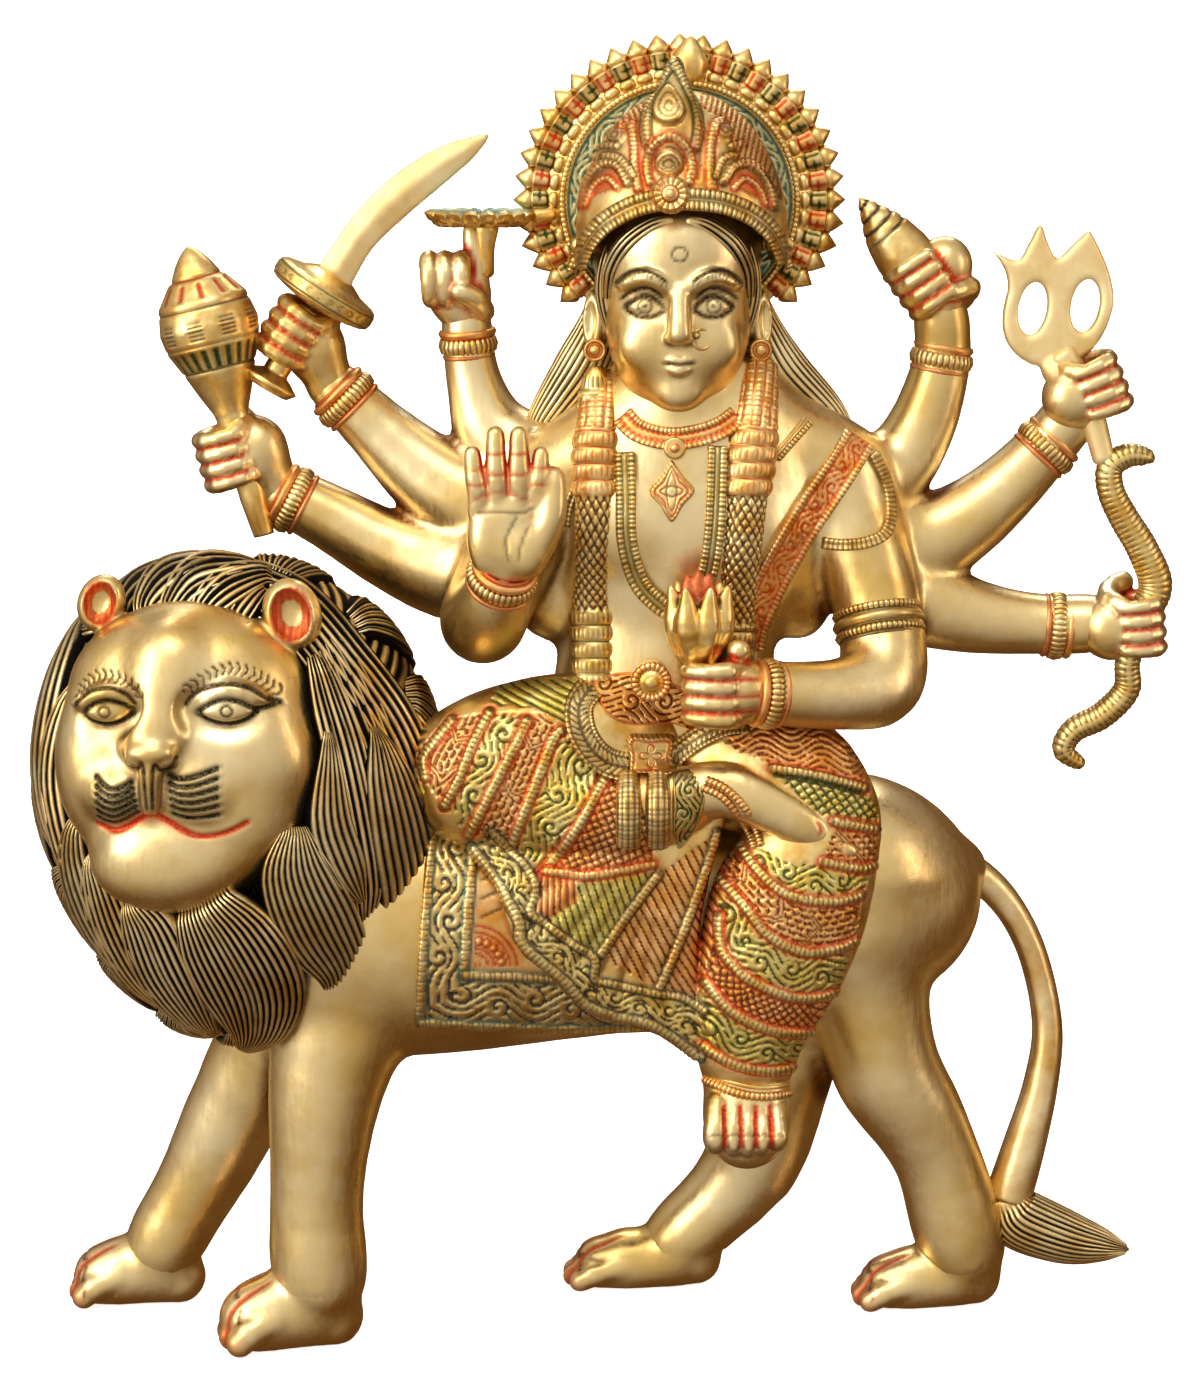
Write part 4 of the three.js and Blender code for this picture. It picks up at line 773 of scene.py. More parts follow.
def toeCuts(heel, toe, width):
    # red lacquer between the toes and round the nails, rubbed thin over the whole tip of the paw
    heel = np.array(heel, float)
    length = np.linalg.norm(toe - heel)
    way = (toe - heel) / length

    def engrave(marks, normal, verts):
        along = (verts[:, :2] - heel) @ way / length
        off = (verts[:, :2] - heel) @ np.array([-way[1], way[0]]) / (0.85 + 0.15 * ramp(along, 0.55, 0.86))
        pitch = width * 0.46
        gap = np.abs(off / pitch - np.round(off / pitch)) * pitch
        gap = np.where(np.abs(off) < 1.5 * pitch, gap, 9)
        ahead = ramp(along, 0.5, 0.66)
        marks.cover *= ahead
        marks.cut(peak(gap, 1.0) * ahead, 0.5, "red", 0.9)
        marks.colour(0.4 * ramp(along, 0.78, 0.95) * ramp(-verts[:, 2], -16, -6), "orange")
        middle = np.abs(off / pitch - np.floor(off / pitch) - 0.5) * pitch
        nail = peak(along * length + 0.25 * middle ** 2 - 0.9 * length, 0.7) * (middle < 2.2)
        marks.cut(nail * ramp(verts[:, 2], 5, 7), 0.4, "rust", 0.9)
    return engrave


body = Clay([-200, -90, -6], [190, 62, 226], lion["cell"])
body.limb(lion["trunk"], 10, 0.82)
for leg in lion["legs"].values():
    body.limb(leg, 7, 1.0, 2)
body.limb(lion["tail"][:2], 8, 1.0, 4)
makePiece("lion_body", [body.skin(creaseAge=0.75, reach=9.0, keep=lambda v: v[:, 2] > 15)], buffedBrass)

paws = []
for heel, toe, width, height in lion["paws"]:
    low = [*(np.minimum(heel, toe) - 22), -3]
    high = [*(np.maximum(heel, toe) + 22), 46]
    clay = Clay(low, high, lion["pawCell"])
    for leg in lion["legs"].values():
        clay.limb(leg, 4, 1.0, 2)
    pawClay(clay, heel, toe, width, height)
    clay.floor(0.0)
    paws.append(clay.skin("red", 0.7, 0.5, 2.6, 3, lambda v: (v[:, 2] < 33) & (v[:, 2] > -1),
                          toeCuts(heel, toe, width)))
makePiece("lion_paws", paws, buffedBrass)


def hairCuts(count, depth):
    # grooves that run along a lock of hair
    def cuts(run, turn, size, points):
        wave = ramp(np.cos(turn * count + 0.35 * np.sin(run / 9.0)), -0.2, 0.9)
        end = ramp(run, 2, 10)
        return -depth * wave * end, lacquer["black"], clamp(1.5 * wave * end), 0.7 * wave * end
    return cuts


makePiece("lion_tail", [tube(lion["tail"], step=1.6, sides=26, ends=0),
                        tube(lion["tuft"], step=1.4, sides=130, relief=hairCuts(30, 0.8), ends=0.3)],
          hairBrass)
print("lion body done")


# The lion's face: smooth masses with engraved eyes, brows, whiskers and a red mouth
face = {
    "cell": 0.74, "share": 0.68,
    "eggs": [  # centre, radii, softness
             [(-151, -66, 236), (49, 33, 56), 6], [(-151, -68, 263), (43, 28, 28.5), 8],
             [(-157, -80, 199), (30, 20, 19), 9],
             [(-129, -81, 236), (24, 17, 25), 9], [(-131, -77, 214), (20.5, 18, 19), 9],
             [(-184, -76, 234), (15, 17, 26), 9],
             [(-148, -91, 227.5), (15, 13, 11), 6], [(-173, -90, 226.5), (14, 13, 11), 6],
             [(-160, -86, 199), (23, 14, 14), 9], [(-163, -91.5, 207), (14.5, 7, 6), 8],
    ],
    "nose": [[(-162, -103.2, 243.6), (8.8, 5.8, 4.6), 3], [(-167.6, -102, 240.6), (3.8, 4.3, 3.0), 2],
             [(-156.4, -102, 240.2), (3.8, 4.3, 3.0), 2]],
    "ridges": [(-134, -94.5, 264.4), (-178.5, -91.5, 263.2)],
    "bridge": [[-156, -84, 276, 10.5], [-158.5, -86.5, 262, 10], [-160.5, -90.5, 252, 8.4],
               [-162, -95, 245.5, 7]],
    "philtrum": [[-162, -103.6, 239, 3.8], [-162.3, -103.2, 231, 3.0], [-162.5, -101.4, 222, 2.2]],
    "eyes": [[(-135, -92.5, 257.6), (10.5, 5, 5.4)], [(-178.5, -88.5, 256.6), (9.2, 5, 5.1)]],
    "folds": [
        [[-149.5, 259], [-147.5, 262.5], [-142.2, 266], [-134.2, 267.8], [-126.2, 266], [-120.5, 261.8],
         [-115, 259]],
        [[-190.5, 257.5], [-189, 260.5], [-183.8, 264.7], [-177.1, 265.7], [-170.8, 263], [-167.8, 258.5]],
    ],
    "brows": [[[-149.5, 265], [-142.1, 270.2], [-134, 272.6], [-126.1, 270.4], [-117.5, 264.2]],
              [[-190, 262.5], [-183.7, 268.6], [-177, 269.6], [-169.3, 267.4], [-166.5, 264]]],
    "lids": [
        [[-146, 256.8], [-142, 259.6], [-136, 261.8], [-129.5, 260.8], [-123.5, 258], [-116.5, 259.6]],
        [[-146, 256.8], [-141, 254], [-134.5, 252.6], [-128, 254.2], [-123, 257.6]],
        [[-187.8, 255.6], [-184, 259], [-178.5, 260.9], [-172.5, 259.6], [-168.2, 256.6]],
        [[-187.8, 255.6], [-184, 253], [-178.5, 251.7], [-173, 253.2], [-168.2, 256.6]],
    ],
    "pupils": [(-134.6, 257.6), (-179.3, 256.7)],
    "mouth": [[-184.3, 215.4], [-177.5, 213.4], [-171.7, 215], [-163.5, 219.6], [-158.2, 218.2],
              [-150.3, 213.6], [-143.7, 211.6], [-135.7, 212.8], [-127, 217]],
    "ears": [[(-184, -63, 292), 8.8, 20], [(-113, -70.5, 289), 10.8, -14]],
}


def engraveFace(marks, normal, verts):
    marks.where = ramp(-normal[:, 1], -0.1, 0.25)
    for fold in face["folds"]:
        marks.line(fold, 1.4, 0.5, "brown", 1.0)
    for lid in face["lids"]:
        marks.line(lid, 1.6, 0.6, "black", 1.0)
    for x, z in face["pupils"]:
        marks.rings(np.hypot(verts[:, 0] - x, verts[:, 2] - z), [2.0], 0.5, 0.35, "brown", 0.9)
    for brow in face["brows"]:
        d, _, run = marks.near(brow)
        strokes = ramp(beat(run + 0.6 * d, 2.7), 0.2, 0.8) * ramp(-d, -2.7, -1.7)
        marks.cut(strokes, 0.3, "brown", 0.9)
    for k in range(6):
        f = k / 5
        left = [[-183.5, 234.6 - 16 * f], [-180, 231.6 - 15 * f], [-175, 230 - 13.6 * f],
                [-168 + 2 * f, 233 - 11.5 * f]]
        right = [[-156.5 + f, 235.6 - 14.5 * f], [-152, 233.9 - 14.5 * f], [-146, 234.6 - 16 * f],
                 [-137, 237.4 - 17.5 * f]]
        for whisker in (left, right):
            marks.line(whisker, 1.9 - 0.4 * f, 0.8, "black", 1.0)
    for line in ([[-172, 243], [-170, 239], [-166.5, 237.8], [-164.4, 240.4], [-163.9, 236]],
                 [[-152, 242.6], [-154, 238.6], [-157.5, 237.4], [-159.6, 240], [-160.3, 236]],
                 [[-163.9, 238], [-163.4, 222]], [[-160.3, 238], [-161.2, 222]]):
        marks.line(line, 1.2, 0.6, "brown", 1.0)
    d, _, _ = marks.near(face["mouth"])
    marks.colour(0.55 * ramp(-d, -2.8, -0.8) * ramp(-np.abs(marks.x + 163), -19, -11) * marks.where, "orange")
    marks.line(face["mouth"], 1.7, 0.7, "red", 1.0)
    marks.where = 1.0
    for (x, y, z), size, _ in face["ears"]:
        bowl = ((verts[:, 0] - x) / (0.72 * size)) ** 2 + ((verts[:, 2] - z - 0.5) / (0.98 * size)) ** 2
        inside = ramp(-bowl, -1.15, -0.8) * (verts[:, 1] < y - 0.15 * size)
        marks.colour(0.9 * inside, "red")
        marks.cut(inside * ramp(np.cos(verts[:, 0] * 2.4), 0.3, 0.9), 0.3, "orange", 0.6)


head = Clay([-212, -122, 170], [-96, -34, 310], face["cell"])
for centre, radii, soft in face["eggs"]:
    head.egg(centre, radii, soft)
head.limb(face["bridge"], 9, 1.0)
for centre, radii, soft in face["nose"]:
    head.egg(centre, radii, soft)
head.limb(face["philtrum"], 3)
for (x, y, z), (rx, ry, rz) in face["eyes"]:
    head.egg((x, y - 7.5, z + 1), (rx + 6, 7, rz + 5), 5, 0, True)
    head.egg((x, y - 1.0, z), (rx, ry, rz), 1.2)
for x, y, z in face["ridges"]:
    head.limb([[x - 12, y + 3, z - 4, 1.8], [x, y - 0.4, z + 0.8, 2.3], [x + 12, y + 2.2, z - 3, 1.8]], 4)
for (x, y, z), size, tilt in face["ears"]:
    head.egg((x, y, z), (size, size * 0.75, size * 1.25), 3, tilt)
    head.egg((x, y - size * 0.62, z + 0.5), (size * 0.66, size * 0.55, size * 0.92), 0.8, tilt, True)
makePiece("lion_face",
          [head.skin(creaseAge=0.5, reach=3.5, keep=lambda v: v[:, 1] < -52, engrave=engraveFace)],
          buffedBrass, face["share"])

# The mane: leaf-shaped locks, grooved along, over a grooved ball
mane = {
    "centre": (-137.7, -36, 212), "radii": (76.4, 53, 94.5), "taper": 0.12, "pitch": 2.4, "share": 0.7,
    # locks seen from the front: layer lift, rise, then x, z and half width along the lock
    "front": [
        [0.2, 2.6, [-142, 301, 8], [-115, 290.5, 11], [-95, 269, 12], [-78, 243, 12], [-69, 212, 10],
         [-69, 184, 6], [-76, 166, 1]],
        [0.6, 2.6, [-103, 281, 3], [-96, 268, 8], [-88, 249, 10], [-81, 228, 9], [-77, 205, 5],
         [-78, 190, 1]],
        [0.8, 2.6, [-192, 290, 3], [-201, 268, 5], [-206, 248, 6], [-208, 228, 6], [-205, 208, 5],
         [-199, 192, 1]],
        [1.4, 2.8, [-193, 262, 2], [-200, 245, 5], [-203, 226, 6], [-200, 206, 6], [-194, 188, 5],
         [-187, 174, 1]],
        [1.6, 2.8, [-106, 275, 3], [-101, 260, 6.5], [-95, 240, 8.5], [-90, 214, 9], [-87, 188, 7.5],
         [-89, 168, 1]],
        [2.2, 3.0, [-192, 214, 3], [-194, 198, 7], [-190, 180, 9], [-182, 163, 7], [-170, 148, 1]],
        [3.2, 3.0, [-101, 248, 1], [-100.5, 234, 5], [-100, 214, 8.5], [-95, 196, 8], [-89.5, 181, 1]],
        [3.4, 3.4, [-85.5, 247.5, 1], [-81, 230, 8], [-76.5, 206, 11], [-75, 184, 10], [-81, 166, 5],
         [-86, 156, 1]],
        [2.8, 3.2, [-186, 202, 2], [-183, 190, 9], [-178, 172, 12], [-170, 154, 10], [-158, 138, 1]],
        [3.6, 3.4, [-112, 213, 5], [-112, 196, 14], [-105, 174, 16], [-99, 156, 11], [-102, 140, 1]],
        [4.4, 3.4, [-172, 186, 4], [-166, 176, 11], [-160, 158, 13], [-152, 142, 9], [-144, 129, 1]],
        [5.2, 3.8, [-146, 186, 12], [-138, 172, 20], [-130, 152, 21], [-130, 136, 14], [-136, 122.5, 1]],
        [0.8, 2.4, [-186, 288, 3], [-187, 294, 6], [-182, 299.5, 7], [-171, 303.5, 2]],
        [1.6, 2.6, [-177, 285, 4], [-176, 292.5, 6.5], [-170, 299, 7.5], [-157, 303.5, 2]],
        [2.4, 2.8, [-167, 284, 4], [-166, 291.5, 6.5], [-159, 299, 8], [-143, 304, 2]],
        [3.0, 3.0, [-157, 283, 4.5], [-155, 290.5, 7], [-147, 298, 9], [-127, 301, 3]],
        [3.4, 3.0, [-146, 283, 4.5], [-144, 289.5, 7], [-136, 296, 8], [-122, 299.5, 3]],
        [2.6, 2.8, [-134, 281, 4], [-132, 287, 6], [-128, 292, 5], [-123, 296, 1.5]],
    ],
}


def maneSpot(turn, polar):
    # a point on the mane's ball: turn runs round the face, polar from the face's middle, 1 being its outline
    (cx, cy, cz), (rx, ry, rz) = mane["centre"], mane["radii"]
    s, c = np.sin(polar * np.pi / 2), np.cos(polar * np.pi / 2)
    x = cx + rx * np.cos(turn) * s * (1 + mane["taper"] * np.sin(turn) * s)
    z, y = cz + rz * np.sin(turn) * s, cy - ry * c
    point = np.stack([x, y, z], -1)
    normal = unit(np.stack([(x - cx) / rx ** 2, (y - cy) / ry ** 2, (z - cz) / rz ** 2], -1))
    return point, normal


def maneFront(x, z):
    # the same, for a point as seen from the front
    (cx, _, cz), (rx, _, rz) = mane["centre"], mane["radii"]
    level = (z - cz) / rz
    wide = (x - cx) / (rx * (1 + mane["taper"] * level))
    far = np.hypot(wide, level)
    polar = np.where(far < 0.985, np.arcsin(np.minimum(far, 0.985)) / (np.pi / 2), 0.89 + (far - 0.985) * 3)
    return maneSpot(np.arctan2(level, wide), polar)


def lock(path, lift, rise, place, scale=1.0, sideStep=0.6, step=2.3):
    # a leaf of hair: its middle and half width in the place's own coordinates, grooved along its length
    line, run = evenPath(path, step / scale, dims=2)
    line[:, 2] = np.maximum(line[:, 2], 0.3 / scale)
    along = unit(np.gradient(line[:, :2], axis=0))
    across = np.stack([-along[:, 1], along[:, 0]], 1)
    widest = line[:, 2].max()
    count = int(max(7, 2 * widest * scale / sideStep))
    v = np.linspace(-1, 1, count)
    spot = line[:, None, :2] + across[:, None] * (v[None] * line[:, 2:3])[..., None]
    point, normal = place(spot[..., 0], spot[..., 1])
    grooves = max(3, round(2 * widest * scale / mane["pitch"]))
    # the cuts are thin in the beard, and widened high up behind the ear, where their black is painted shade
    shade = ramp(point[..., 2], 225, 300) * (0.45 + 0.55 * ramp(point[..., 0], -165, -95))
    wave = np.cos(np.pi * (v * grooves + grooves + 1))[None] + 0 * shade
    wave = ramp(wave + 0.2 + 0.65 * shade, -0.05, 0.6) * (1 - ramp(np.abs(v), 0.9, 0.98))
    body = dome(v)[None]
    share = (run / run[-1])[:, None]
    full = ramp(share, -0.04, 0.1) * (1 - 0.75 * ramp(share, 0.8, 1.02))
    edge = ramp(np.abs(v), 0.86, 1.0)[None]
    high = lift * (1 - 0.85 * edge) + rise * body * full - 0.9 * wave * full - 1.6 * edge
    high[0] -= 2.0
    high[-1] -= 2.0
    cover = clamp(1.5 * wave + 1.2 * edge + 0 * high)
    return gridPart(point + normal * high[..., None], tint=lacquer["black"], cover=cover, age=0.8 * cover,
                    face=normal.mean((0, 1)))


turns = np.linspace(0, 2 * np.pi, 384, endpoint=False)
polars = np.linspace(0.4, 1.98, 40)
ball, ballNormal = maneSpot(turns[None] + 0.25 * polars[:, None] ** 2, polars[:, None] + 0 * turns[None])
ballWave = ramp(np.cos(84 * turns[None] + 0.5 * np.sin(polars[:, None] * 9)), -0.5, 0.5) + 0 * polars[:, None]
ball = ball - ballNormal * (1.6 + 0.8 * ballWave)[..., None]
hair = [gridPart(ball, closed=True, capEnds=True, tint=lacquer["black"], cover=clamp(0.25 + 1.2 * ballWave),
                 age=0.9 * ballWave)]
for lift, rise, *path in mane["front"]:
    hair.append(lock(path, lift, rise, maneFront))
for n in range(15):
    # locks round the outline and over the back, swept down
    turn = 2 * math.pi * n / 15 + 0.1
    sweep = -0.5 * math.cos(turn)
    hair.append(lock([[turn, 0.8, 0.08], [turn + 0.3 * sweep, 0.98, 0.17], [turn + 0.7 * sweep, 1.2, 0.2],
                      [turn + sweep, 1.42, 0.02]], -0.4, 2.4, maneSpot, 72, 0.9, 2.4))
for n in range(11):
    turn = 2 * math.pi * n / 11 + 0.3
    sweep = -0.4 * math.cos(turn)
    hair.append(lock([[turn, 1.22, 0.1], [turn + 0.4 * sweep, 1.42, 0.28], [turn + sweep, 1.66, 0.3],
                      [turn + 1.6 * sweep, 1.86, 0.04]], -0.2, 2.4, maneSpot, 50, 1.0, 2.6))
makePiece("lion_mane", hair, hairBrass, mane["share"])
print("lion head done")


# Bands and rolls laid over a form that is seen from the front

viewSlope = math.tan(math.radians(10.0))
# upright planes in front of the figure's middle, on which lines are drawn as they are seen
trunkPlane, lapPlane, headPlane = -45.0, -55.0, -30.0


def seenHeight(points, plane):
    # the height at which points show on an upright plane
    return points[..., 2] + (points[..., 1] - plane) * viewSlope


def frontOf(clay, x, z, plane, stop):
    # where the line of sight through x, z on an upright plane first meets the clay: its depth and height
    start = -96.0  # before everything
    x, z = np.asarray(x, float), np.asarray(z, float)
    points = np.stack([x.ravel(), np.full(x.size, start), z.ravel() + (plane - start) * viewSlope], 1)
    for _ in range(34):
        move = np.minimum(0.85 * clay.sample(points), stop - points[:, 1])
        points[:, 1] += move
        points[:, 2] -= move * viewSlope
    return points[:, 1].reshape(x.shape), points[:, 2].reshape(x.shape)


def facing(plane, *clays, stop=24.0):
    # a function that finds the depth and height of whichever of the clays is seen first
    def find(x, z):
        depth, high = frontOf(clays[0], x, z, plane, stop)
        for clay in clays[1:]:
            other, otherHigh = frontOf(clay, x, z, plane, stop)
            high = np.where(depth < other, high, otherHigh)
            depth = np.minimum(depth, other)
        return depth, high
    return find


def evened(values, times):
    # each value drifts to the middle of its neighbours
    for _ in range(times):
        values[1:-1] = 0.25 * values[:-2] + 0.5 * values[1:-1] + 0.25 * values[2:]
    return values


def drape(line, front, lift=0.0):
    # a line drawn as seen from the front, laid on a form as points in space
    path, _ = evenPath(line, 2.0, dims=2)
    depth, high = front(path[:, 0], path[:, 1])
    return [[x, y - lift, z] for x, y, z in zip(path[:, 0], evened(depth, 3), evened(high, 3))]


def strap(line, front, half, lift=1.4, ground=None, rope=1.2, pitch=1.8, tint="brown", step=0.62,
          middle=None):
    # a band with roped edges; line gives its middle as x, z and perhaps its half width
    rows = [list(p) + ([half] if len(p) < 3 else []) for p in line]
    path, run = evenPath(rows, step, dims=2)
    along = unit(np.gradient(path[:, :2], axis=0))
    across = np.stack([-along[:, 1], along[:, 0]], 1)
    count = int(max(7, 2 * path[:, 2].max() / step))
    off = np.linspace(-1, 1, count)[None] * path[:, 2:3]
    spot = path[:, None, :2] + across[:, None] * off[..., None]
    depth, high = front(spot[..., 0], spot[..., 1])
    points = np.stack([spot[..., 0], depth, high], -1)
    marks = Engraving(points)
    u, v = (run[:, None] + 0 * off).ravel(), off.ravel()
    edge = (path[:, 2:3] - np.abs(off)).ravel()
    if ground:
        marks.fill(ramp(edge, 2 * rope, 2 * rope + 0.5), u, v, **ground)
    if middle:
        # a plain raised line down the middle, in its own colour at its sides
        marks.high += 0.7 * dome(v / 0.8)
        marks.colour(0.9 * ramp(np.abs(v), 0.6, 0.9) * ramp(edge, 2 * rope - 0.1, 2 * rope + 0.2), middle)
    if rope:
        near = np.abs(edge - rope) / rope
        strokes = ramp(beat(u, pitch), 0.0, 0.8) * ramp(-near, -0.98, -0.7)
        marks.high += 0.75 * rope * dome(near)
        marks.cut(strokes, 0.35 * rope, tint, 0.85)
        marks.cut(peak(edge - 2 * rope - 0.2, 0.35), 0.3, tint, 0.85)
    rise, colour, cover, age = marks.part()
    edge = edge.reshape(rise.shape)
    rise = rise + lift - (lift + 1.4) * (1 - ramp(edge, -0.01, 0.55))
    rise[[0, -1]] -= lift + 1.0
    points[..., 1] -= rise
    shut = ramp(-edge, -0.6, 0.0)
    return gridPart(points, tint=colour, cover=np.maximum(cover, 0.6 * shut), age=age + 0.3 * shut,
                    face=(0, -1, 0))


def rolled(line, front, radius=1.0, lift=0.3, **look):
    return roll(drape(line, front, lift), radius, **look)


def raised(outline, front, lift=2.0, step=0.6, edge=1.2, engrave=None):
    # a flat raised field with a soft edge: outline is a closed line of x, z round its middle
    rim = np.asarray(outline, float)
    path, _ = evenPath(np.vstack([rim, rim[:1]]), step, dims=2)
    middle = rim.mean(0)
    far = np.linalg.norm(path[:, :2] - middle, axis=1).max()
    share = np.linspace(1, 0.02, max(5, int(far / step)))
    spot = middle + (path[None, :-1, :2] - middle) * share[:, None, None]
    depth, high = front(spot[..., 0], spot[..., 1])
    points = np.stack([spot[..., 0], depth, high], -1)
    inward = (1 - share)[:, None] * np.linalg.norm(path[None, :-1, :2] - middle, axis=2)
    marks = Engraving(np.stack([spot[..., 0], depth, spot[..., 1]], -1))
    if engrave:
        engrave(marks, inward.ravel())
    rise, colour, cover, age = marks.part()
    points[..., 1] -= rise + lift * ramp(inward, -0.1, edge) - 1.0 * (inward < 0.05)
    cover = np.maximum(cover, 0.5 * ramp(-inward, -0.4, 0.0))
    return gridPart(points, closed=True, tint=colour, cover=cover, age=age, face=(0, -1, 0))


# The goddess's trunk and her eight arms, smooth and buffed
goddess = {
    "cell": 2.35, "bangleShare": 0.75,
    "trunk": [[25, -24, 236, 43], [25, -23, 262, 38], [28, -22, 290, 37], [34, -22, 314, 49],
              [35, -22, 336, 48], [33, -23, 352, 32]],
    "shoulders": [[-18, -18, 333, 17], [8, -21, 347, 16], [34, -22, 352, 16], [64, -20, 348, 16],
                  [92, -16, 333, 20]],
    "neck": [[32, -24, 344, 22], [31, -27, 358, 18.5], [30, -30, 372, 18.5]],
    "arms": {
        "palm": [[-15, -22, 332, 18], [-32, -30, 308, 16.5], [-44, -36, 282, 15.5], [-41, -52, 287, 13.5],
                 [-36, -64, 302, 11]],
        "mace": [[-18, -12, 314, 21], [-50, -8, 297, 20], [-77, -6, 302, 15], [-103, -6, 316, 12],
                 [-124, -7, 327, 10.5]],
        "sword": [[-16, -8, 328, 20], [-48, -6, 323, 17.5], [-67, -4, 333.5, 15], [-83, -4, 348, 12],
                  [-103, -5, 368, 10]],
        "disc": [[-18, -6, 334, 18], [-40, -4, 348, 14], [-47, -4, 364, 10], [-50, -4, 379, 8.6],
                 [-51, -5, 394, 9]],
        "lotus": [[88, -18, 332, 19], [98, -24, 309, 17.5], [106, -32, 280, 15.5], [106, -43, 259.5, 15.5],
                  [92, -54, 256, 12.5], [74, -62, 257, 11.3], [58, -67, 259, 10.5]],
        "serpent": [[92, -10, 306, 20], [117, -8, 287.5, 17], [135, -8, 280.5, 14.5], [154, -8, 276.5, 12],
                    [176, -8, 275, 10.6], [192, -10, 276, 10.6]],
        "trident": [[92, -6, 318, 19], [121, -4, 307, 17], [140, -4, 314.5, 14.5], [157, -4, 328.5, 12],
                    [171, -4, 343.5, 10.4], [182, -7, 358, 10]],
        "conch": [[90, -8, 326, 20], [112, -6, 335, 14], [123, -4, 351, 12], [128.5, -4, 367, 10.5],
                  [131, -4, 381, 9.4], [129.5, -6, 396, 10]],
    },
    # how many stations along each arm its bangle sits
    "bangles": {"palm": 4, "mace": 3.7, "sword": 3.7, "disc": 3.27, "lotus": 5.75, "serpent": 4, "trident": 4,
                "conch": 3.75},
}

bust = Clay([-150, -92, 206], [216, 32, 402], goddess["cell"])
bust.limb(goddess["trunk"], 6, 0.62)
bust.limb(goddess["shoulders"], 8, 1.0)
bust.egg((-20, -20, 296), (15, 12, 24), 8)
bust.egg((77, -19, 298), (14, 12, 26), 8)
for x in (10, 52):
    bust.egg((x, -42, 318), (17, 12, 17), 7)
bust.limb(goddess["neck"], 6)
for arm in goddess["arms"].values():
    bust.limb([[x, y, z + 0.5, r - 0.7] for x, y, z, r in arm], 5)
makePiece("goddess_body", [bust.skin(creaseAge=0.8, reach=6.0, keep=lambda v: v[:, 2] > 210)], buffedBrass)

bustFront = facing(trunkPlane, bust)
bangles = []
for name, far in goddess["bangles"].items():
    stations = np.array(goddess["arms"][name], float)
    index = int(math.ceil(far))
    before, after = stations[index - 1], stations[index]
    way = unit(after[:3] - before[:3])
    slope = (after[3] - before[3]) / np.linalg.norm(after[:3] - before[:3])
    here = before + (after - before) * (far - index + 1)
    guide = (0, 1, 0) if abs(way[1]) < 0.8 else (0, 0, 1)
    # a wide hatched band between plain rolls, with orange-red lacquer in the grooves between them
    for off, proud, thick, wide, plain, tint, cover in (
        (0, 0.9, 1.9, 1.75, False, "rust", 0.95), (4.6, 0.8, 1.6, 1.0, True, "orange", 1.8),
        (-4.3, 0.5, 1.1, 1.0, True, "red", 2.4), (3.1, 0.5, 0.9, 1.0, True, "red", 3.8),
        (-3.2, 0.4, 0.7, 1.0, True, "red", 3.8), (6.3, -0.2, 0.8, 1.0, True, "red", 3.4)):
        bangles.append(ring(here[:3] + way * off, way, here[3] + slope * off + proud, thick, 2.0, tint, cover,
                            plain=plain, guide=guide, wide=wide))
for off, thick, plain in ((-4.2, 1.6, False), (0, 2.0, True), (4.2, 1.6, False)):
    centre, way = np.array([105.5, -33.5, 280.0]), unit(np.array([0.13, -0.35, -0.93]))
    bangles.append(ring(centre + way * off, way, 15.8, thick, 1.9, "blueBlack", 0.95, plain=plain))
    bangles.append(ring(centre + way * (off + 2.1), way, 15.3, 0.8, 1.9, "blueBlack", 3.0, plain=True))
makePiece("goddess_bangles", bangles, chasedBrass, goddess["bangleShare"])
print("goddess body done")

# Her hands: a raised palm, a hand that points, and fists round what they hold
hands = {
    "cell": 1.25, "reach": 3.0, "finger": 3.5,
    # arm, centre, grip, reach, shaft, palm, first and last turn of the fingers
    "fists": [
        ["mace", (-141, -13, 341), (-8, 0, 30), (-10, -2, 4), 6.5, 13, -70, 130],
        ["sword", (-116, -10, 387), (11, 0, 17), (-10, -3, 9), 6, 12, -60, 130],
        ["lotus", (42, -70, 260), (0, 0, 1), (-1, 0, 0), 6, 12, 120, -20],
        ["serpent", (205, -14, 276), (-1, 0, 10), (1, 0, 0), 6, 12, 60, -120],
        ["trident", (188, -12, 367), (-10, 0, 24), (8, 0, 6), 6, 12, 60, -120],
        ["conch", (124, -11, 409), (10, 0, -14), (-10, 0, -7), 8, 10.5, 70, -110],
    ],
    "palm": [[-44.5, 331, -46.5, 348, 3.6], [-37.5, 334, -38, 355, 3.8], [-29.5, 334, -29.5, 355, 3.8],
             [-23, 332, -21.5, 348, 3.4]],
}


def handClay(centre, half=27):
    centre = np.asarray(centre, float)
    return Clay(centre - half, centre + half, hands["cell"])


def creaseCuts(c, g, f, o, first, last, curl, pitch):
    # red lacquer in the three grooves between the four fingers
    sign, span = np.sign(last - first), abs(last - first)

    def engrave(marks, normal, verts):
        far = verts - c
        turn = (np.degrees(np.arctan2(far @ o, far @ f)) - first) * sign
        turn = (turn + 180) % 360 - 180
        row = far @ g / pitch
        off = np.abs(row - np.round(row)) * pitch
        there = ramp(turn, -45, -30) * ramp(-turn, -span - 10, -span + 5) * (np.abs(row) < 1.4)
        there = there * (np.hypot(far @ f, far @ o) > curl - 1)
        marks.cut(peak(off, 0.85) * there, 0.4, "red", 0.95)
    return engrave


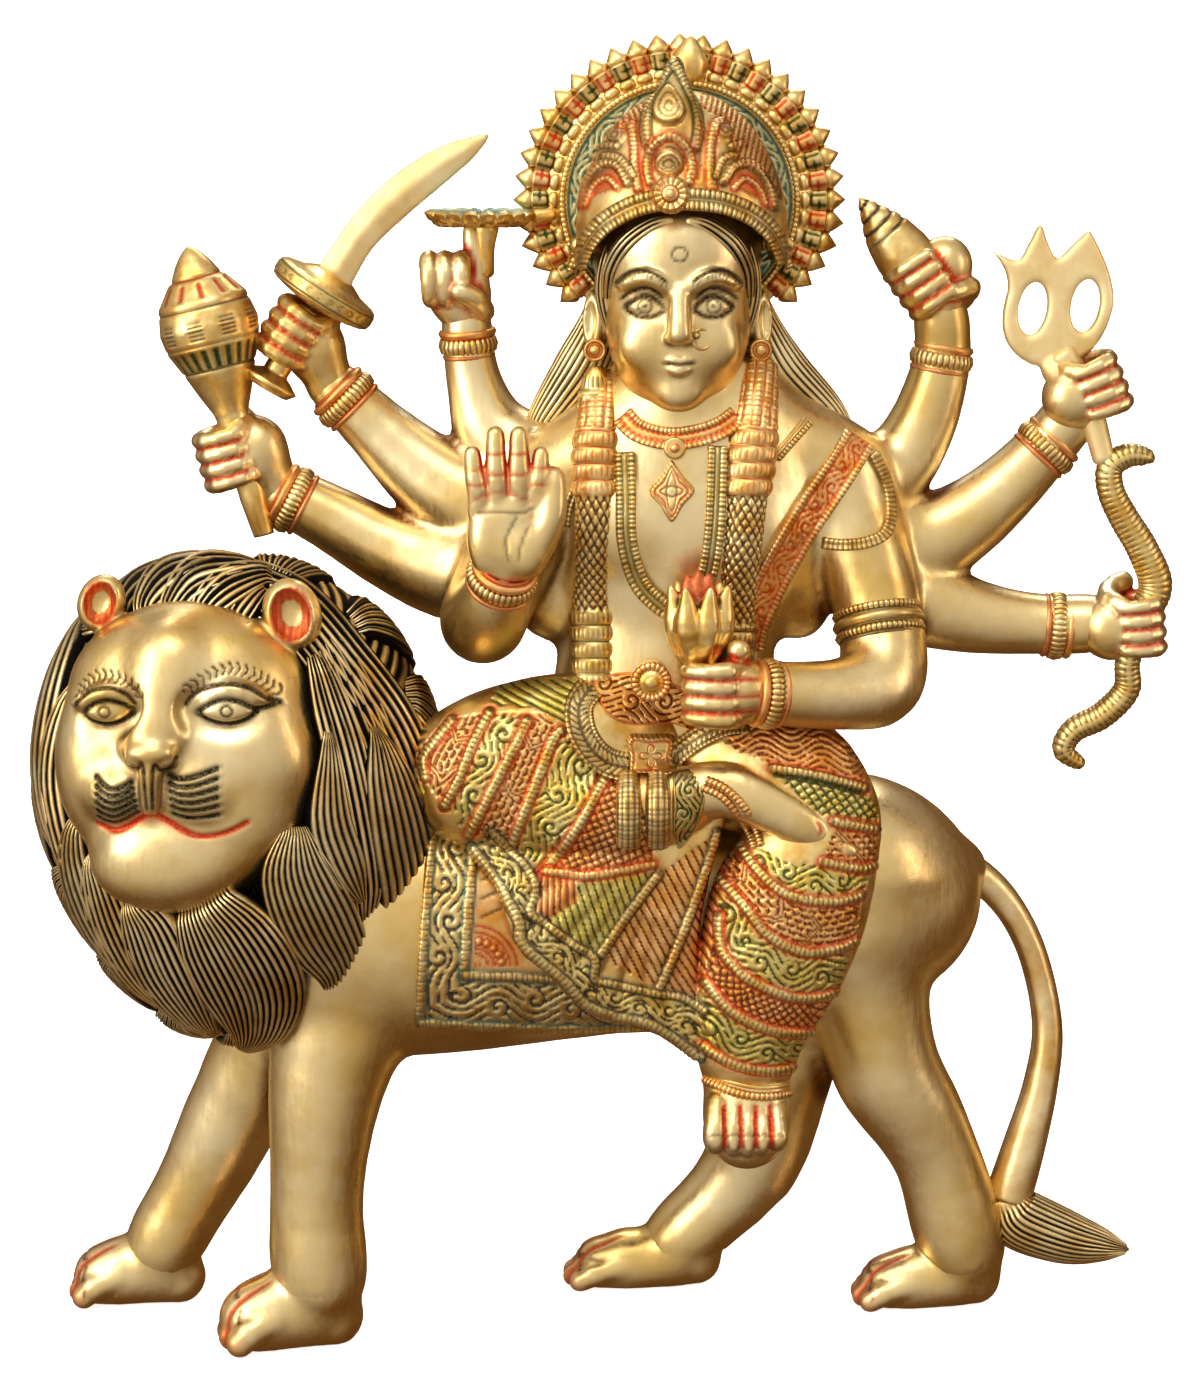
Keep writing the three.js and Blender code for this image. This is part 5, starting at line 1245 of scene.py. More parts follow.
handParts = []
for arm, centre, grip, reach, shaft, palm, startTurn, endTurn in hands["fists"]:
    clay = handClay(centre)
    c = np.array(centre, float)
    g = unit(np.array(grip, float))
    f = np.array(reach, float)
    f = unit(f - (f @ g) * g)
    o = np.cross(g, f)
    curl, pitch = shaft + hands["finger"], 1.75 * hands["finger"]

    def spot(far, degrees, radius):
        turn = math.radians(degrees)
        return c + g * far + f * radius * math.cos(turn) + o * radius * math.sin(turn)
    clay.egg(c - 0.68 * palm * f, (palm, 0.8 * palm, 1.05 * palm), 2)
    wrist = np.array(goddess["arms"][arm][-1], float)
    clay.cone(wrist[:3], c - 0.8 * palm * f, wrist[3] * 0.94, palm * 0.8, 4)
    sign = 1 if endTurn > startTurn else -1
    for i in range(4):
        far, thin = (i - 1.5) * pitch, 1 - 0.04 * abs(i - 1.3)
        halfWay = (startTurn + endTurn) / 2 + sign * 14
        turns = [startTurn - sign * 42, startTurn, startTurn + sign * 45, halfWay, endTurn - sign * 34,
                 endTurn]
        sizes = [3.5, 3.9, 3.45, 3.6, 3.3, 2.9]
        path = [[*spot(far * (1 - 0.03 * k), turn, curl + (0.5 if k in (1, 3) else 0.0)), size * thin] for k,
                (turn, size) in enumerate(zip(turns, sizes))]
        finger = clay.blank()
        finger.limb(path, 0.8, 1.0, 2)
        clay.add(finger)
    thumb = [[*spot((2.6 - 0.35 * n) * pitch, startTurn - sign * (40 + 46 * n), curl - 0.3 * n),
              4.3 - 0.35 * n] for n in range(4)]
    clay.limb(thumb, 1.2, 1.0, 2)
    creases = creaseCuts(c, g, f, o, startTurn, endTurn, curl, pitch)
    handParts.append(clay.skin("red", 0.95, 0.5, hands["reach"], engrave=creases, creaseFrom=0.03))

clay = handClay((-34, -70, 325), 36)
clay.egg((-34, -70, 320), (14.5, 6.5, 17), 3)
clay.egg((-27, -72.5, 312), (8, 6, 10), 3)
clay.egg((-42, -72, 316), (6, 5, 12), 3)
clay.cone((-36, -66, 303), (-35, -69, 313), 10.2, 9, 4, 0.8)
for x0, z0, x1, z1, r in hands["palm"]:
    finger = clay.blank()
    mid = [(x0 + x1) / 2, -72.6, (z0 + z1) / 2]
    finger.limb([[x0, -70.5, z0 - 5, r + 0.5], [x0, -72, z0 + 3, r + 0.3], [*mid, r],
                 [x1, -71.5, z1, r * 0.86]], 0.8, 1.0, 3)
    clay.add(finger)
clay.limb([[-24, -69, 312, 6], [-19, -71.5, 322, 5], [-17, -71.5, 331, 4.3], [-16.5, -70.5, 340, 3.4]], 2.5)


def palmLines(marks, normal, verts):
    marks.where = ramp(-normal[:, 1], 0.1, 0.5)
    for line, colour in (([[-47, 331], [-40, 334], [-32, 333.5], [-25, 331]], "red"),
                         ([[-45, 327], [-38, 327.6], [-30, 326.8], [-24, 328.5]], "brown"),
                         ([[-30, 326], [-34, 318], [-33.4, 309]], "green"),
                         ([[-26, 322], [-29, 315], [-30, 309]], "brown")):
        marks.line(line, 0.9, 0.25, colour, 0.7)
    for x0, z0, x1, z1, _ in hands["palm"]:
        for share in (0.33, 0.68):
            x, z = x0 + (x1 - x0) * share, z0 + (z1 - z0) * share
            marks.line([[x - 3.4, z + 0.4], [x, z], [x + 3.4, z + 0.4]], 0.9, 0.3, "red", 0.8)


handParts.append(clay.skin("red", 0.95, 0.4, hands["reach"], engrave=palmLines, creaseFrom=0.06))

clay = handClay((-54, -9, 408), 30)
clay.egg((-54, -7, 403), (12, 8, 12), 3)
clay.cone((-51, -5, 393), (-53, -6, 400), 8.6, 9.5, 4)
for x in (-63, -57, -51):
    finger = clay.blank()
    finger.limb([[x - 2, -6, 412, 3.7], [x - 1.5, -13, 415.5, 3.6], [x - 1.2, -17.5, 410, 3.5],
                 [x - 1, -16, 402, 3.2], [x - 1, -12, 400, 2.8]], 0.8, 1.0, 3)
    clay.add(finger)
clay.limb([[-46, -7, 400, 4.6], [-46.5, -9, 412, 4], [-48, -9, 421, 3.6], [-48.5, -9, 427, 3.1]], 1.2)
clay.limb([[-44, -10, 396, 4.2], [-47, -17, 401, 3.9], [-53, -20, 404, 3.4]], 1.2)
handParts.append(clay.skin("red", 0.95, 0.5, hands["reach"], creaseFrom=0.03))
makePiece("goddess_hands", handParts, buffedBrass)
print("hands done")


# The lion's saddle cloth, laid on the barrel
barrelFront = facing(lapPlane, body)
saddle = {
    "step": 0.8, "lift": 3.0, "share": 0.85, "corner": (-47, 153),
    "outer": [[-63, 208], [-65, 180], [-68, 131], [-40, 128.5], [0, 126], [62, 126]],
    "inner": [[-47, 204], [-49, 178], [-51, 150], [-30, 149], [0, 147], [62, 146]],
}
rim = np.array([[-64.6, 209], [-66.6, 180], [-70.2, 129], [-40, 126], [0, 123.6], [62, 123.6]])
across = np.arange(-70.5, 62, saddle["step"])
upward = np.arange(123.3, 209, saddle["step"])
spot = np.stack(np.meshgrid(across, upward), -1)
# the left edge leans and the bottom edge rises to the left, so the sheet is drawn to fit
left = np.interp(spot[..., 1], rim[:3][::-1, 1], rim[:3][::-1, 0])
spot[..., 0] = np.maximum(spot[..., 0], left)
bottom = np.interp(spot[..., 0], rim[2:, 0], rim[2:, 1])
spot[..., 1] = np.maximum(spot[..., 1], bottom)
depth, high = barrelFront(spot[..., 0], spot[..., 1])
points = np.stack([spot[..., 0], depth, high], -1)
marks = Engraving(np.stack([spot[..., 0], depth, spot[..., 1]], -1))
for first, second in ((saddle["outer"][:3], saddle["inner"][:3]), (saddle["outer"][2:], saddle["inner"][2:])):
    inside, u, v = marks.band(first, second)
    marks.fill(inside, u, v, "scroll", "verdigris", "blueBlack", 0.06, 2.9, 0.95, 0.0, 14)
marks.colour(0.3 * marks.field([[-47, 204], [-51, 150], [-10, 149], [-10, 204]]), "orange")
# a quarter flower in the inner corner, with five dots round it
cornerX, cornerZ = saddle["corner"]
r = np.hypot(marks.x - cornerX, marks.z - cornerZ)
corner = (marks.x > cornerX) & (marks.z > cornerZ)
for size in (5.5, 7.5, 13.5, 16.0):
    marks.cut(peak(r - size, 0.55) * corner, 0.4, "red", 0.9)
for k in range(5):
    a = math.radians(12 + 17 * k)
    spotR = np.hypot(marks.x - cornerX - 10.4 * math.cos(a), marks.z - cornerZ - 10.4 * math.sin(a))
    marks.high += 0.7 * ramp(-spotR, -1.5, -0.9)
    marks.cut(peak(spotR - 1.6, 0.4), 0.3, "red", 0.9)
rays = ramp(np.cos(2 * np.pi * np.arctan2(marks.z - cornerZ, marks.x - cornerX) * 3.2), 0.5, 0.9)
marks.cut(rays * corner * (r < 5.2), 0.3, "red", 0.8)
for k in range(4):
    marks.line([[-45, 172 + 7 * k], [-36, 176 + 7 * k]], 0.9, 0.4, "brown", 0.8)
for line, half in ((saddle["outer"], 2.1), (saddle["inner"], 1.8)):
    for part in (line[:3], line[2:]):
        marks.rope(part, half, 1.0, 2.0, "blueBlack", "teal")
rise, colour, cover, age = marks.part()
inEdge = np.minimum(spot[..., 0] - left, spot[..., 1] - bottom)
points[..., 1] -= rise + saddle["lift"] * ramp(inEdge, -0.2, 0.8) - 2.0 * (inEdge < 0.05)
makePiece("saddle_cloth", [gridPart(points, tint=colour, cover=cover, age=age, face=(0, -1, 0))], chasedBrass,
          saddle["share"])
print("saddle cloth done")

# The skirt: thighs, crossed shin, hanging shin and the fan of pleats, chased all over with bands
skirt = {
    "cell": 0.76, "backCell": 2.4, "share": 0.61,
    "rightThigh": [[14, -34, 234, 25], [-20, -44, 233, 25], [-49, -51, 226, 24]],
    "rightShin": [[-46, -54, 220, 21], [-15, -58, 213, 19], [14, -60, 213, 16], [36, -60, 219, 11]],
    "leftThigh": [[44, -36, 228, 24], [70, -46, 224, 23.5], [86.5, -53, 209.5, 18]],
    "leftShin": [[85.5, -54, 203, 19.5], [73, -56, 180, 28], [65.5, -56, 156, 26.5], [59.5, -54, 138, 22.5],
                 [56.5, -52, 122, 18], [56, -50, 112, 16]],
    # the hem of the pleats, half way between its two ropes
    "hem": [[-46, 203], [-33, 190], [-29, 176], [-25, 165], [-15, 156], [-4, 144], [8, 138.5], [20, 134.5],
            [31, 129], [38, 123]],
    "outerHem": [[-48, 198], [-38, 184], [-30.5, 171], [-29.5, 163], [-22, 155], [-13, 147], [-5.5, 138],
                 [5, 133], [17.5, 130], [27.5, 124], [37.5, 116]],
    "innerHem": [[-40, 204], [-27.5, 191], [-24, 183], [-26, 174], [-20.5, 170], [-10.5, 162], [-2, 156],
                 [-2, 148], [4, 146], [19.5, 142], [31, 140], [39, 135]],
    "thighRopes": [
        [[-55, 247], [-62, 238], [-66, 232], [-65, 225]],
        [[-41, 250], [-47, 238], [-52, 225], [-58, 214]],
        [[-27, 247], [-31, 238], [-38, 224], [-44, 212], [-49, 203]],
        [[-14, 243], [-17, 240], [-22, 227], [-28, 212], [-33, 199]],
        [[3, 226], [0, 222], [-6, 210], [-13, 199], [-21, 190]],
    ],
    "underRope": [[-21, 190], [-5, 188], [10, 190], [20, 192]],
    "shinRopes": [
        [[52, 200], [57, 192], [66, 183], [76, 179], [88, 178], [98, 180]],
        [[44, 187], [54, 176], [62, 166], [75, 159], [88, 159.5], [96, 162]],
        [[44, 172], [45, 160], [50, 153], [56, 148], [69, 142], [80, 140.5], [90, 142]],
        [[39, 147], [43, 142], [50, 135], [63, 128.5], [78, 126], [84, 127]],
        [[38, 121], [50, 114.5], [63, 111.5], [75, 112]],
    ],
    "kneeRopes": [[[64, 228.5], [80, 226], [99, 221]], [[87, 208.3], [104, 205]],
                  [[83, 193.3], [97, 190.3], [103, 191]]],
    "pleatRopes": [[[22, 188], [10, 172], [0, 157]], [[44, 204], [40, 190], [33, 170], [26, 152], [22, 143]]],
}
# field outlines with their pattern, ground, ink, wash, pitch and turn
skirt["fields"] = [
    [[[-55, 247], [-68, 236], [-71, 226], [-66, 214], [-64, 226], [-61, 238]], "hatch", "leaf", "green", 0.35,
     2.7, 1.2],
    [[[3, 226], [-6, 210], [-13, 199], [-21, 190], [-5, 189], [10, 191], [20, 193], [20, 206], [9, 226]],
     "cross", "orange", "rust", 0.5, 2.7, 0.4],
    [[[-52, 250], [-20, 249], [-13, 244], [-24, 246], [-40, 249.5]], "scroll", "orange", "rust", 0.4, 1.9,
     0.0],
    [[[-41, 253], [-38, 262], [-8, 263], [-8, 247], [-14, 245], [-22, 251]], "hatch", "leaf", "green", 0.45,
     2.8, 0.5],
    [[[45, 244], [60, 247], [76, 246], [91, 241], [101, 229], [98, 222], [80, 227.5], [64, 230], [50, 236]],
     "scroll", "orange", "rust", 0.5, 2.1, 0.0],
    [[[64, 227], [80, 224], [99, 219.5], [105, 214], [104, 206.5], [88, 207], [78, 214]], "cross", "leaf",
     "green", 0.3, 2.9, 0.2],
    [[[88, 206.5], [104, 203.5], [105, 192], [97, 191], [84, 194.5], [85, 200]], "fans", "orange", "rust",
     0.4, 2.4, 0.0],
    [[[21, 189], [10, 173], [-1, 157], [-8, 160], [-20, 171], [-12, 177], [-5, 189]], "hatch", "leaf",
     "green", 0.4, 2.8, 1.25],
    [[[-27, 191], [-10, 189], [-8, 178], [-20, 171], [-25, 176], [-23, 184]], "hatch", "orange", "rust", 0.6,
     2.4, 1.57],
    [[[45, 205], [41, 190], [34, 170], [27, 152], [23, 143], [36, 139], [40, 150], [44, 165], [50, 182],
      [54, 199]], "hatch", "orange", "rust", 0.45, 2.8, 1.0],
]


def fillBands(marks, ropes, looks, size):
    # a chased ground between each two ropes
    for first, second, (kind, ground, tint, wash) in zip(ropes, ropes[1:], looks):
        inside, u, v = marks.band(first, second)
        marks.fill(inside, u, v, kind, ground, tint, wash, 2.5, 0.9, 0.0, size)


def engraveSkirt(marks, normal, verts):
    marks.z = seenHeight(verts, lapPlane)
    looks = [("fans", "orange", "rust", 0.35), ("scroll", "leaf", "green", 0.22)] * 2
    fillBands(marks, skirt["thighRopes"], looks, 13)
    for outline, kind, ground, tint, wash, pitch, turn in skirt["fields"]:
        marks.fill(marks.field(outline), marks.x, marks.z, kind, ground, tint, wash, pitch, 0.85, turn)
    ropes = [[[58, 199], [70, 193.5], [84, 191.5], [102, 188.5]]] + skirt["shinRopes"]
    looks = [("scroll", "leaf", "green", 0.35), ("fans", "orange", "rust", 0.35),
             ("scroll", "leaf", "green", 0.25), ("cross", "orange", "rust", 0.6),
             ("scroll", "leaf", "green", 0.35)]
    fillBands(marks, ropes, looks, 12)
    inside, u, v = marks.band(*skirt["pleatRopes"])
    marks.fill(inside, marks.x, marks.z, "hatch", "orange", "rust", 0.3, 3.0, 0.9, 1.1)
    inside, u, v = marks.band(skirt["outerHem"], skirt["innerHem"])
    marks.fill(inside, u, v, "scroll", "leaf", "blueBlack", 0.16, 2.4, 0.85, 0.0, 10)
    for line in skirt["thighRopes"] + skirt["shinRopes"] + skirt["kneeRopes"]:
        marks.rope(line, 1.9, 1.1, 1.9, "brown", "red")
    marks.rope(skirt["underRope"], 1.7, 0.9, 1.9, "red", "red")
    for line in skirt["pleatRopes"]:
        marks.rope(line, 1.7, 1.0, 1.9, "brown", "brown")
    marks.line([[64, 226], [80, 223.6], [98, 218.8]], 1.8, 0.4, "green", 0.95)
    marks.rope(skirt["innerHem"], 1.5, 0.9, 1.9, "green", "blueBlack")
    marks.rope(skirt["outerHem"], 2.1, 1.2, 2.0, "teal", "blueBlack")
    marks.high *= ramp(-normal[:, 1], -0.1, 0.3)


def skirtMasses(clay):
    clay.limb(skirt["rightThigh"], 6, 0.85)
    clay.limb(skirt["leftThigh"], 6, 0.8)
    clay.egg((25, -21, 230), (41, 22, 20), 6)
    clay.limb(skirt["leftShin"], 4, 0.68)
    hub = np.array([26, -56, 212.0])
    path, _ = evenPath(skirt["hem"], 5.5, dims=2)
    depth, _ = barrelFront(path[:, 0], np.maximum(path[:, 1], 140))
    folds = clay.blank()
    for n, ((x, z), y) in enumerate(zip(path[:, :2], depth)):
        foot = np.array([x, y - 6.0 - 2.0 * (n % 2), z + (lapPlane - y) * viewSlope])
        middle = 0.5 * (hub + foot) - [0, 4, 0]
        start = hub + [(n - 9) * 1.2, 0, 0]
        folds.limb([[*start, 5], [*middle, 5.5], [*foot, 5.2]], 1.5, 0.8, 3)
    hemLine = [[x, y - 8.5, z + (lapPlane - y) * viewSlope, 6.2] for (x, z), y in zip(path[:, :2], depth)]
    folds.limb(hemLine, 1.5, 0.55, 1)
    clay.add(folds)
    crossed = clay.blank()
    crossed.limb(skirt["rightShin"], 2, 0.85)
    crossed.limb(skirt["rightThigh"], 10, 0.85)
    clay.add(crossed)


front = Clay([-76, -96, 102], [116, -32, 266], skirt["cell"])
skirtMasses(front)
makePiece("skirt_front", [front.skin("red", 0.35, 0.7, 2.5, 2, lambda v: v[:, 1] < -38, engraveSkirt)],
          chasedBrass, skirt["share"])
back = Clay([-80, -60, 100], [118, 12, 268], skirt["backCell"])
skirtMasses(back)
makePiece("skirt_back", [back.skin(keep=lambda v: v[:, 1] > -42)], buffedBrass)

print("skirt done")

# Her bare feet, with red lacquer between the toes and on the anklets
bareFeet = {
    "cell": 1.0,
    "crossed": [[36, -60, 220, 10.5], [48, -64, 222, 9.5], [62, -66, 216, 8.2], [76, -65.5, 208, 7.2],
                [86, -63, 202, 5]],
    "crossedToes": [(82.5, 209.5, 3.0), (85.5, 206.4, 3.0), (88.2, 203.2, 3.1), (91, 199.6, 3.8)],
    "hanging": [[56, -50, 114, 13], [56, -51, 107, 15], [56, -52, 102, 14], [56, -54, 94, 15],
                [56, -58, 88, 14.5]],
    # across, radius, root and tip of each toe
    "toes": [[43.8, 4.6, 93, 84], [50.6, 3.6, 93, 82.5], [56.2, 3.5, 93, 82], [61.8, 3.4, 92, 82.5],
             [67.6, 3.3, 91, 84]],
    "gaps": (47.3, 53.4, 59, 64.8),
}
feet = Clay([24, -84, 72], [104, -36, 238], bareFeet["cell"])
feet.limb(bareFeet["crossed"], 3, 0.8)
for x, z, r in bareFeet["crossedToes"]:
    toe = feet.blank()
    toe.limb([[x - 7, -65, z + 2.5, r], [x, -65.5, z, r], [x + 3, -64.5, z - 1.4, r * 0.85]], 0.8, 1.0, 2)
    feet.add(toe)
feet.limb(bareFeet["hanging"], 3, 0.65)
for x, r, root, tip in bareFeet["toes"]:
    toe = feet.blank()
    toe.limb([[x * 0.94 + 3.4, -60, root + 6, r], [x, -65.5, root - 1, r], [x, -66.5, tip + 3.5, r * 1.02],
              [x, -65.5, tip + 1, r * 0.8]], 0.8)
    feet.add(toe)


def engraveFeet(marks, normal, verts):
    marks.z = seenHeight(verts, lapPlane)
    marks.where = ramp(-normal[:, 1], 0.0, 0.4)
    for x in bareFeet["gaps"]:
        marks.line([[x - 0.4, 99], [x, 92], [x, 81]], 1.7, 0.6, "red", 1.0)
    for x, r, _, _ in bareFeet["toes"]:
        marks.line([[x - 0.7 * r, 86.5], [x, 87.6], [x + 0.7 * r, 86.5]], 0.8, 0.25, "brown", 0.6)
        nail = [[x - 0.6 * r, 83.4], [x - 0.5 * r, 81.2], [x, 80.2], [x + 0.5 * r, 81.2], [x + 0.6 * r, 83.4]]
        marks.line(nail, 0.8, 0.25, "brown", 0.6)
    marks.line([[80, 208.5], [82, 206], [81.5, 203]], 1.1, 0.4, "red", 0.8)
    anklet = ramp(-np.abs(marks.z - 111), -6, -3) * (marks.x < 78)
    marks.colour(0.3 * anklet, "orange")


makePiece("goddess_feet", [feet.skin("red", 0.9, 0.5, 2.4, 3, None, engraveFeet, 0.18)], buffedBrass)

feetFront, ankleFront = facing(lapPlane, feet), facing(lapPlane, front, feet)
cutRed = {"pitch": 1.8, "tint": "red"}
anklets = [
    rolled([[39.5, 107.5], [50, 103.6], [60.5, 101.7], [72.5, 102]], feetFront, 1.9, 0.4, **cutRed),
    rolled([[40, 110.5], [50, 107], [60.5, 105], [72.5, 105.2]], feetFront, 0.9, 0.2, plain=True),
    rolled([[39, 224.5], [46, 221.5], [53, 214.5], [58, 206], [60, 199]], ankleFront, 1.7, 0.6, **cutRed),
    rolled([[37.5, 221.5], [44.5, 218.5], [51, 211.5], [55.8, 203.5], [57.5, 198]], ankleFront, 1.7, 0.6,
           **cutRed),
]
makePiece("goddess_anklets", anklets, chasedBrass)
print("feet done")


# Her head: a calm, even face of the builder's own drawing, with long plaited hair behind the ears
headForm = {"cell": 0.94, "middle": 29, "eyeLevel": 400.4}
middleX, eyeLevel = headForm["middle"], headForm["eyeLevel"]
visage = Clay([-10, -70, 350], [68, -4, 446], headForm["cell"])
visage.egg((middleX, -28, 418), (31, 30.5, 31), 3)
visage.egg((middleX, -33, 396), (27.5, 25.5, 35), 4)
visage.egg((middleX, -39, 379), (19.5, 16.5, 17.5), 8)
visage.egg((middleX, -50.5, 367.5), (7.5, 5.5, 5.5), 6)
visage.limb([[32, -24, 346, 21], [31, -27, 358, 18], [30, -30, 370, 18]], 4)
for side in (-1, 1):
    visage.egg((middleX + 13 * side, -59.5, 401), (9, 5, 5.2), 4, 0, True)
    visage.egg((middleX + 12.5 * side, -50.6, eyeLevel), (6.8, 4.6, 3.9), 1.2)
    visage.limb([[middleX + 4.5 * side, -57.6, 408, 1.2], [middleX + 12 * side, -57, 411.5, 1.4],
                 [middleX + 21.5 * side, -51, 408, 1.1]], 4)
    visage.egg((middleX + 14 * side, -50, 386), (8, 6, 8), 6)
    visage.egg((middleX + 31 * side, -26, 393), (4.6, 6.5, 12.5), 2)
    visage.egg((middleX + 33 * side, -31.5, 394), (2.6, 3.6, 8), 1, 0, True)
    visage.egg((middleX + 3.1 * side, -59.2, 388.8), (2.5, 3.0, 2.1), 1.5)
visage.limb([[middleX, -57.4, 406, 2.3], [middleX, -59.6, 398, 2.6], [middleX, -61.8, 390.6, 3.3]], 3)
visage.limb([[22.8, -54.6, 380.2, 0.8], [26, -56.8, 381, 1.5], [middleX, -57.3, 380.6, 1.4],
             [32, -56.8, 381, 1.5], [35.2, -54.6, 380.2, 0.8]], 1)
visage.limb([[23.6, -54.8, 378.4, 0.9], [middleX, -56.9, 377.2, 2.0], [34.4, -54.8, 378.4, 0.9]], 1)


def engraveVisage(marks, normal, verts):
    marks.where = ramp(-normal[:, 1], 0.0, 0.35)
    for side in (-1, 1):
        x = lambda off: middleX + side * off
        for line, width, depth in (
            ([[x(5.2), 399.6], [x(9), 403], [x(12.6), 404.3], [x(16.6), 403], [x(21), 399.4]], 1.5, 0.4),
            ([[x(5.2), 399.4], [x(9), 397.2], [x(12.6), 396.5], [x(16.6), 397.3], [x(20), 399.4]], 1.3, 0.35),
            ([[x(5.6), 403], [x(9), 406], [x(13), 407], [x(18), 405.4], [x(22), 402.4]], 1.1, 0.3),
            ([[x(4.4), 409.4], [x(9), 412.6], [x(14), 414], [x(19), 412.6], [x(24), 408]], 1.1, 0.3)):
            marks.line(line, width, depth, "brown", 1.0)
        r = np.hypot(verts[:, 0] - x(12.5), verts[:, 2] - eyeLevel)
        marks.rings(r, [2.5], 0.4, 0.2, "brown", 0.85)
        marks.cut(ramp(-r, -0.9, -0.5), 0.2, "brown", 0.85)
        brow = [[x(5), 408.4], [x(10), 411.4], [x(14), 412.5], [x(19), 411], [x(23), 407.6]]
        d, _, run = marks.near(brow)
        marks.cut(ramp(beat(run + 0.5 * d, 1.6), 0.3, 0.9) * ramp(-d, -1.7, -1.0), 0.2, "brown", 0.7)
        marks.line([[x(2.2), 386.3], [x(4.6), 387.3], [x(5.6), 389.6]], 0.8, 0.25, "brown", 0.6)
    marks.line([[22.6, 380], [26, 379.7], [middleX, 379.2], [32, 379.7], [35.4, 380]], 0.9, 0.35, "brown",
               0.9)
    marks.line([[26, 374.2], [middleX, 373.6], [32, 374.2]], 1.2, 0.25, "brown", 0.25)
    r = np.hypot(verts[:, 0] - middleX, verts[:, 2] - 419.5)
    marks.cut(peak(r - 2.7, 0.4), 0.25, "brown", 0.85)
    for z in (356.5, 352.5):
        marks.line([[12, z + 3], [22, z], [32, z - 0.6], [42, z + 0.6], [50, z + 4]], 1.4, 0.3, "brown", 0.3)


def outsideCrown(verts):
    # what the crown and the trunk hide is left off
    return (verts[:, 2] > 351) & (verts[:, 2] < 436) & ((verts[:, 1] < -20) | (verts[:, 2] < 394))


makePiece("goddess_head", [visage.skin(creaseAge=0.45, reach=3.0, keep=outsideCrown, engrave=engraveVisage)],
          buffedBrass)

visageFront = facing(headPlane, visage)
hairdo = {
    "share": 0.9,
    # stations, points round and grooves of each loose lock
    "locks": [
        [[[3, -14, 404, 6], [0, -11, 390, 9], [-7, -10, 374, 11], [-21, -10, 354, 7.5], [-27, -10, 343, 2.5]],
         104, 26],
        [[[57, -14, 402, 6], [61, -11, 388, 9], [69, -11, 373, 11], [86, -12, 356, 8.5], [97, -14, 343, 2.5]],
         104, 26],
        [[[7.5, -42, 427, 3.5], [4, -41, 416, 4.6], [2.6, -38.5, 404, 4.4], [4.4, -37, 392, 3],
          [6, -36.5, 384, 1]], 56, 13],
        [[[50.5, -42, 427, 3.5], [54, -41, 416, 4.6], [55.4, -38.5, 404, 4.4], [53.6, -37, 392, 3],
          [52, -36.5, 384, 1]], 56, 13],
    ],
    # how far out, how high and how wide the parted hair is from the forehead to the temple
    "parting": [(1.5, 427.5, 2.4), (10, 425.0, 3.6), (19, 418.5, 4.2), (24.5, 410, 3.8), (26, 400, 2.4)],
}
hairLocks = [tube(path, step=1.6, sides=sides, deep=0.62, relief=hairCuts(grooves, 0.5), ends=0.4)
             for path, sides, grooves in hairdo["locks"]]
for side in (-1, 1):
    out, level, width = np.array(hairdo["parting"]).T
    depth, high = visageFront(middleX + side * out, level)
    path = [[x, y + 1.2, z, r] for x, y, z, r in zip(middleX + side * out, depth, high, width)]
    hairLocks.append(tube(path, step=1.4, sides=46, deep=0.7, relief=hairCuts(11, 0.45), ends=0.4))
makePiece("goddess_hair", hairLocks, hairBrass, hairdo["share"])

# Ear drops and the nose ring
drops = []


def bellCuts(arc, turn, radius, points):
    cut = ramp(np.cos(turn * 15), 0.1, 0.8) * (within(arc, 3.2, 4, 7.8, 8.4) + ramp(arc, 11.2, 11.8))
    ridge = peak(arc - 10, 0.7)
    green = np.array(lacquer["green"]) + 0 * cut[..., None]
    return 0.6 * ridge - 0.35 * cut, green, 0.85 * np.maximum(cut, peak(arc - 8.8, 0.3)), 0.4 * cut


for x in (-2, 60):
    drops.append(turned([[0, 0], [0, 1.8], [1.5, 3], [4, 4.4], [8, 5.2], [11, 6.2], [15, 7.1], [15.8, 6.4],
                         [15.8, 0]], (x, -33, 377), (x, -34, 361), 60, bellCuts, 0.5))
    drops.append(disc((x, -31, 383), (0, -1, 0), [[4.2, -2], [4.4, 3], [3.6, 4.4], [2.4, 3.2], [1.8, 4.4],
                                                  [0, 5.0]], 30, lines=(3.0, 1.9), tint="red"))
drops.append(ring((37.2, -57.5, 388.6), (0.35, -1, 0.1), 3.6, 0.6, 1.2, "brown", 0.8, plain=True,
                  guide=(0, 0, 1)))
drops.append(disc((34.6, -57, 390.2), (0.3, -1, 0), [[1.6, -1.5], [1.6, 2], [0.9, 3.1], [0, 3.3]], 18,
                  lines=(1.1,)))
makePiece("goddess_drops", drops, chasedBrass, 0.7)
print("goddess head done")

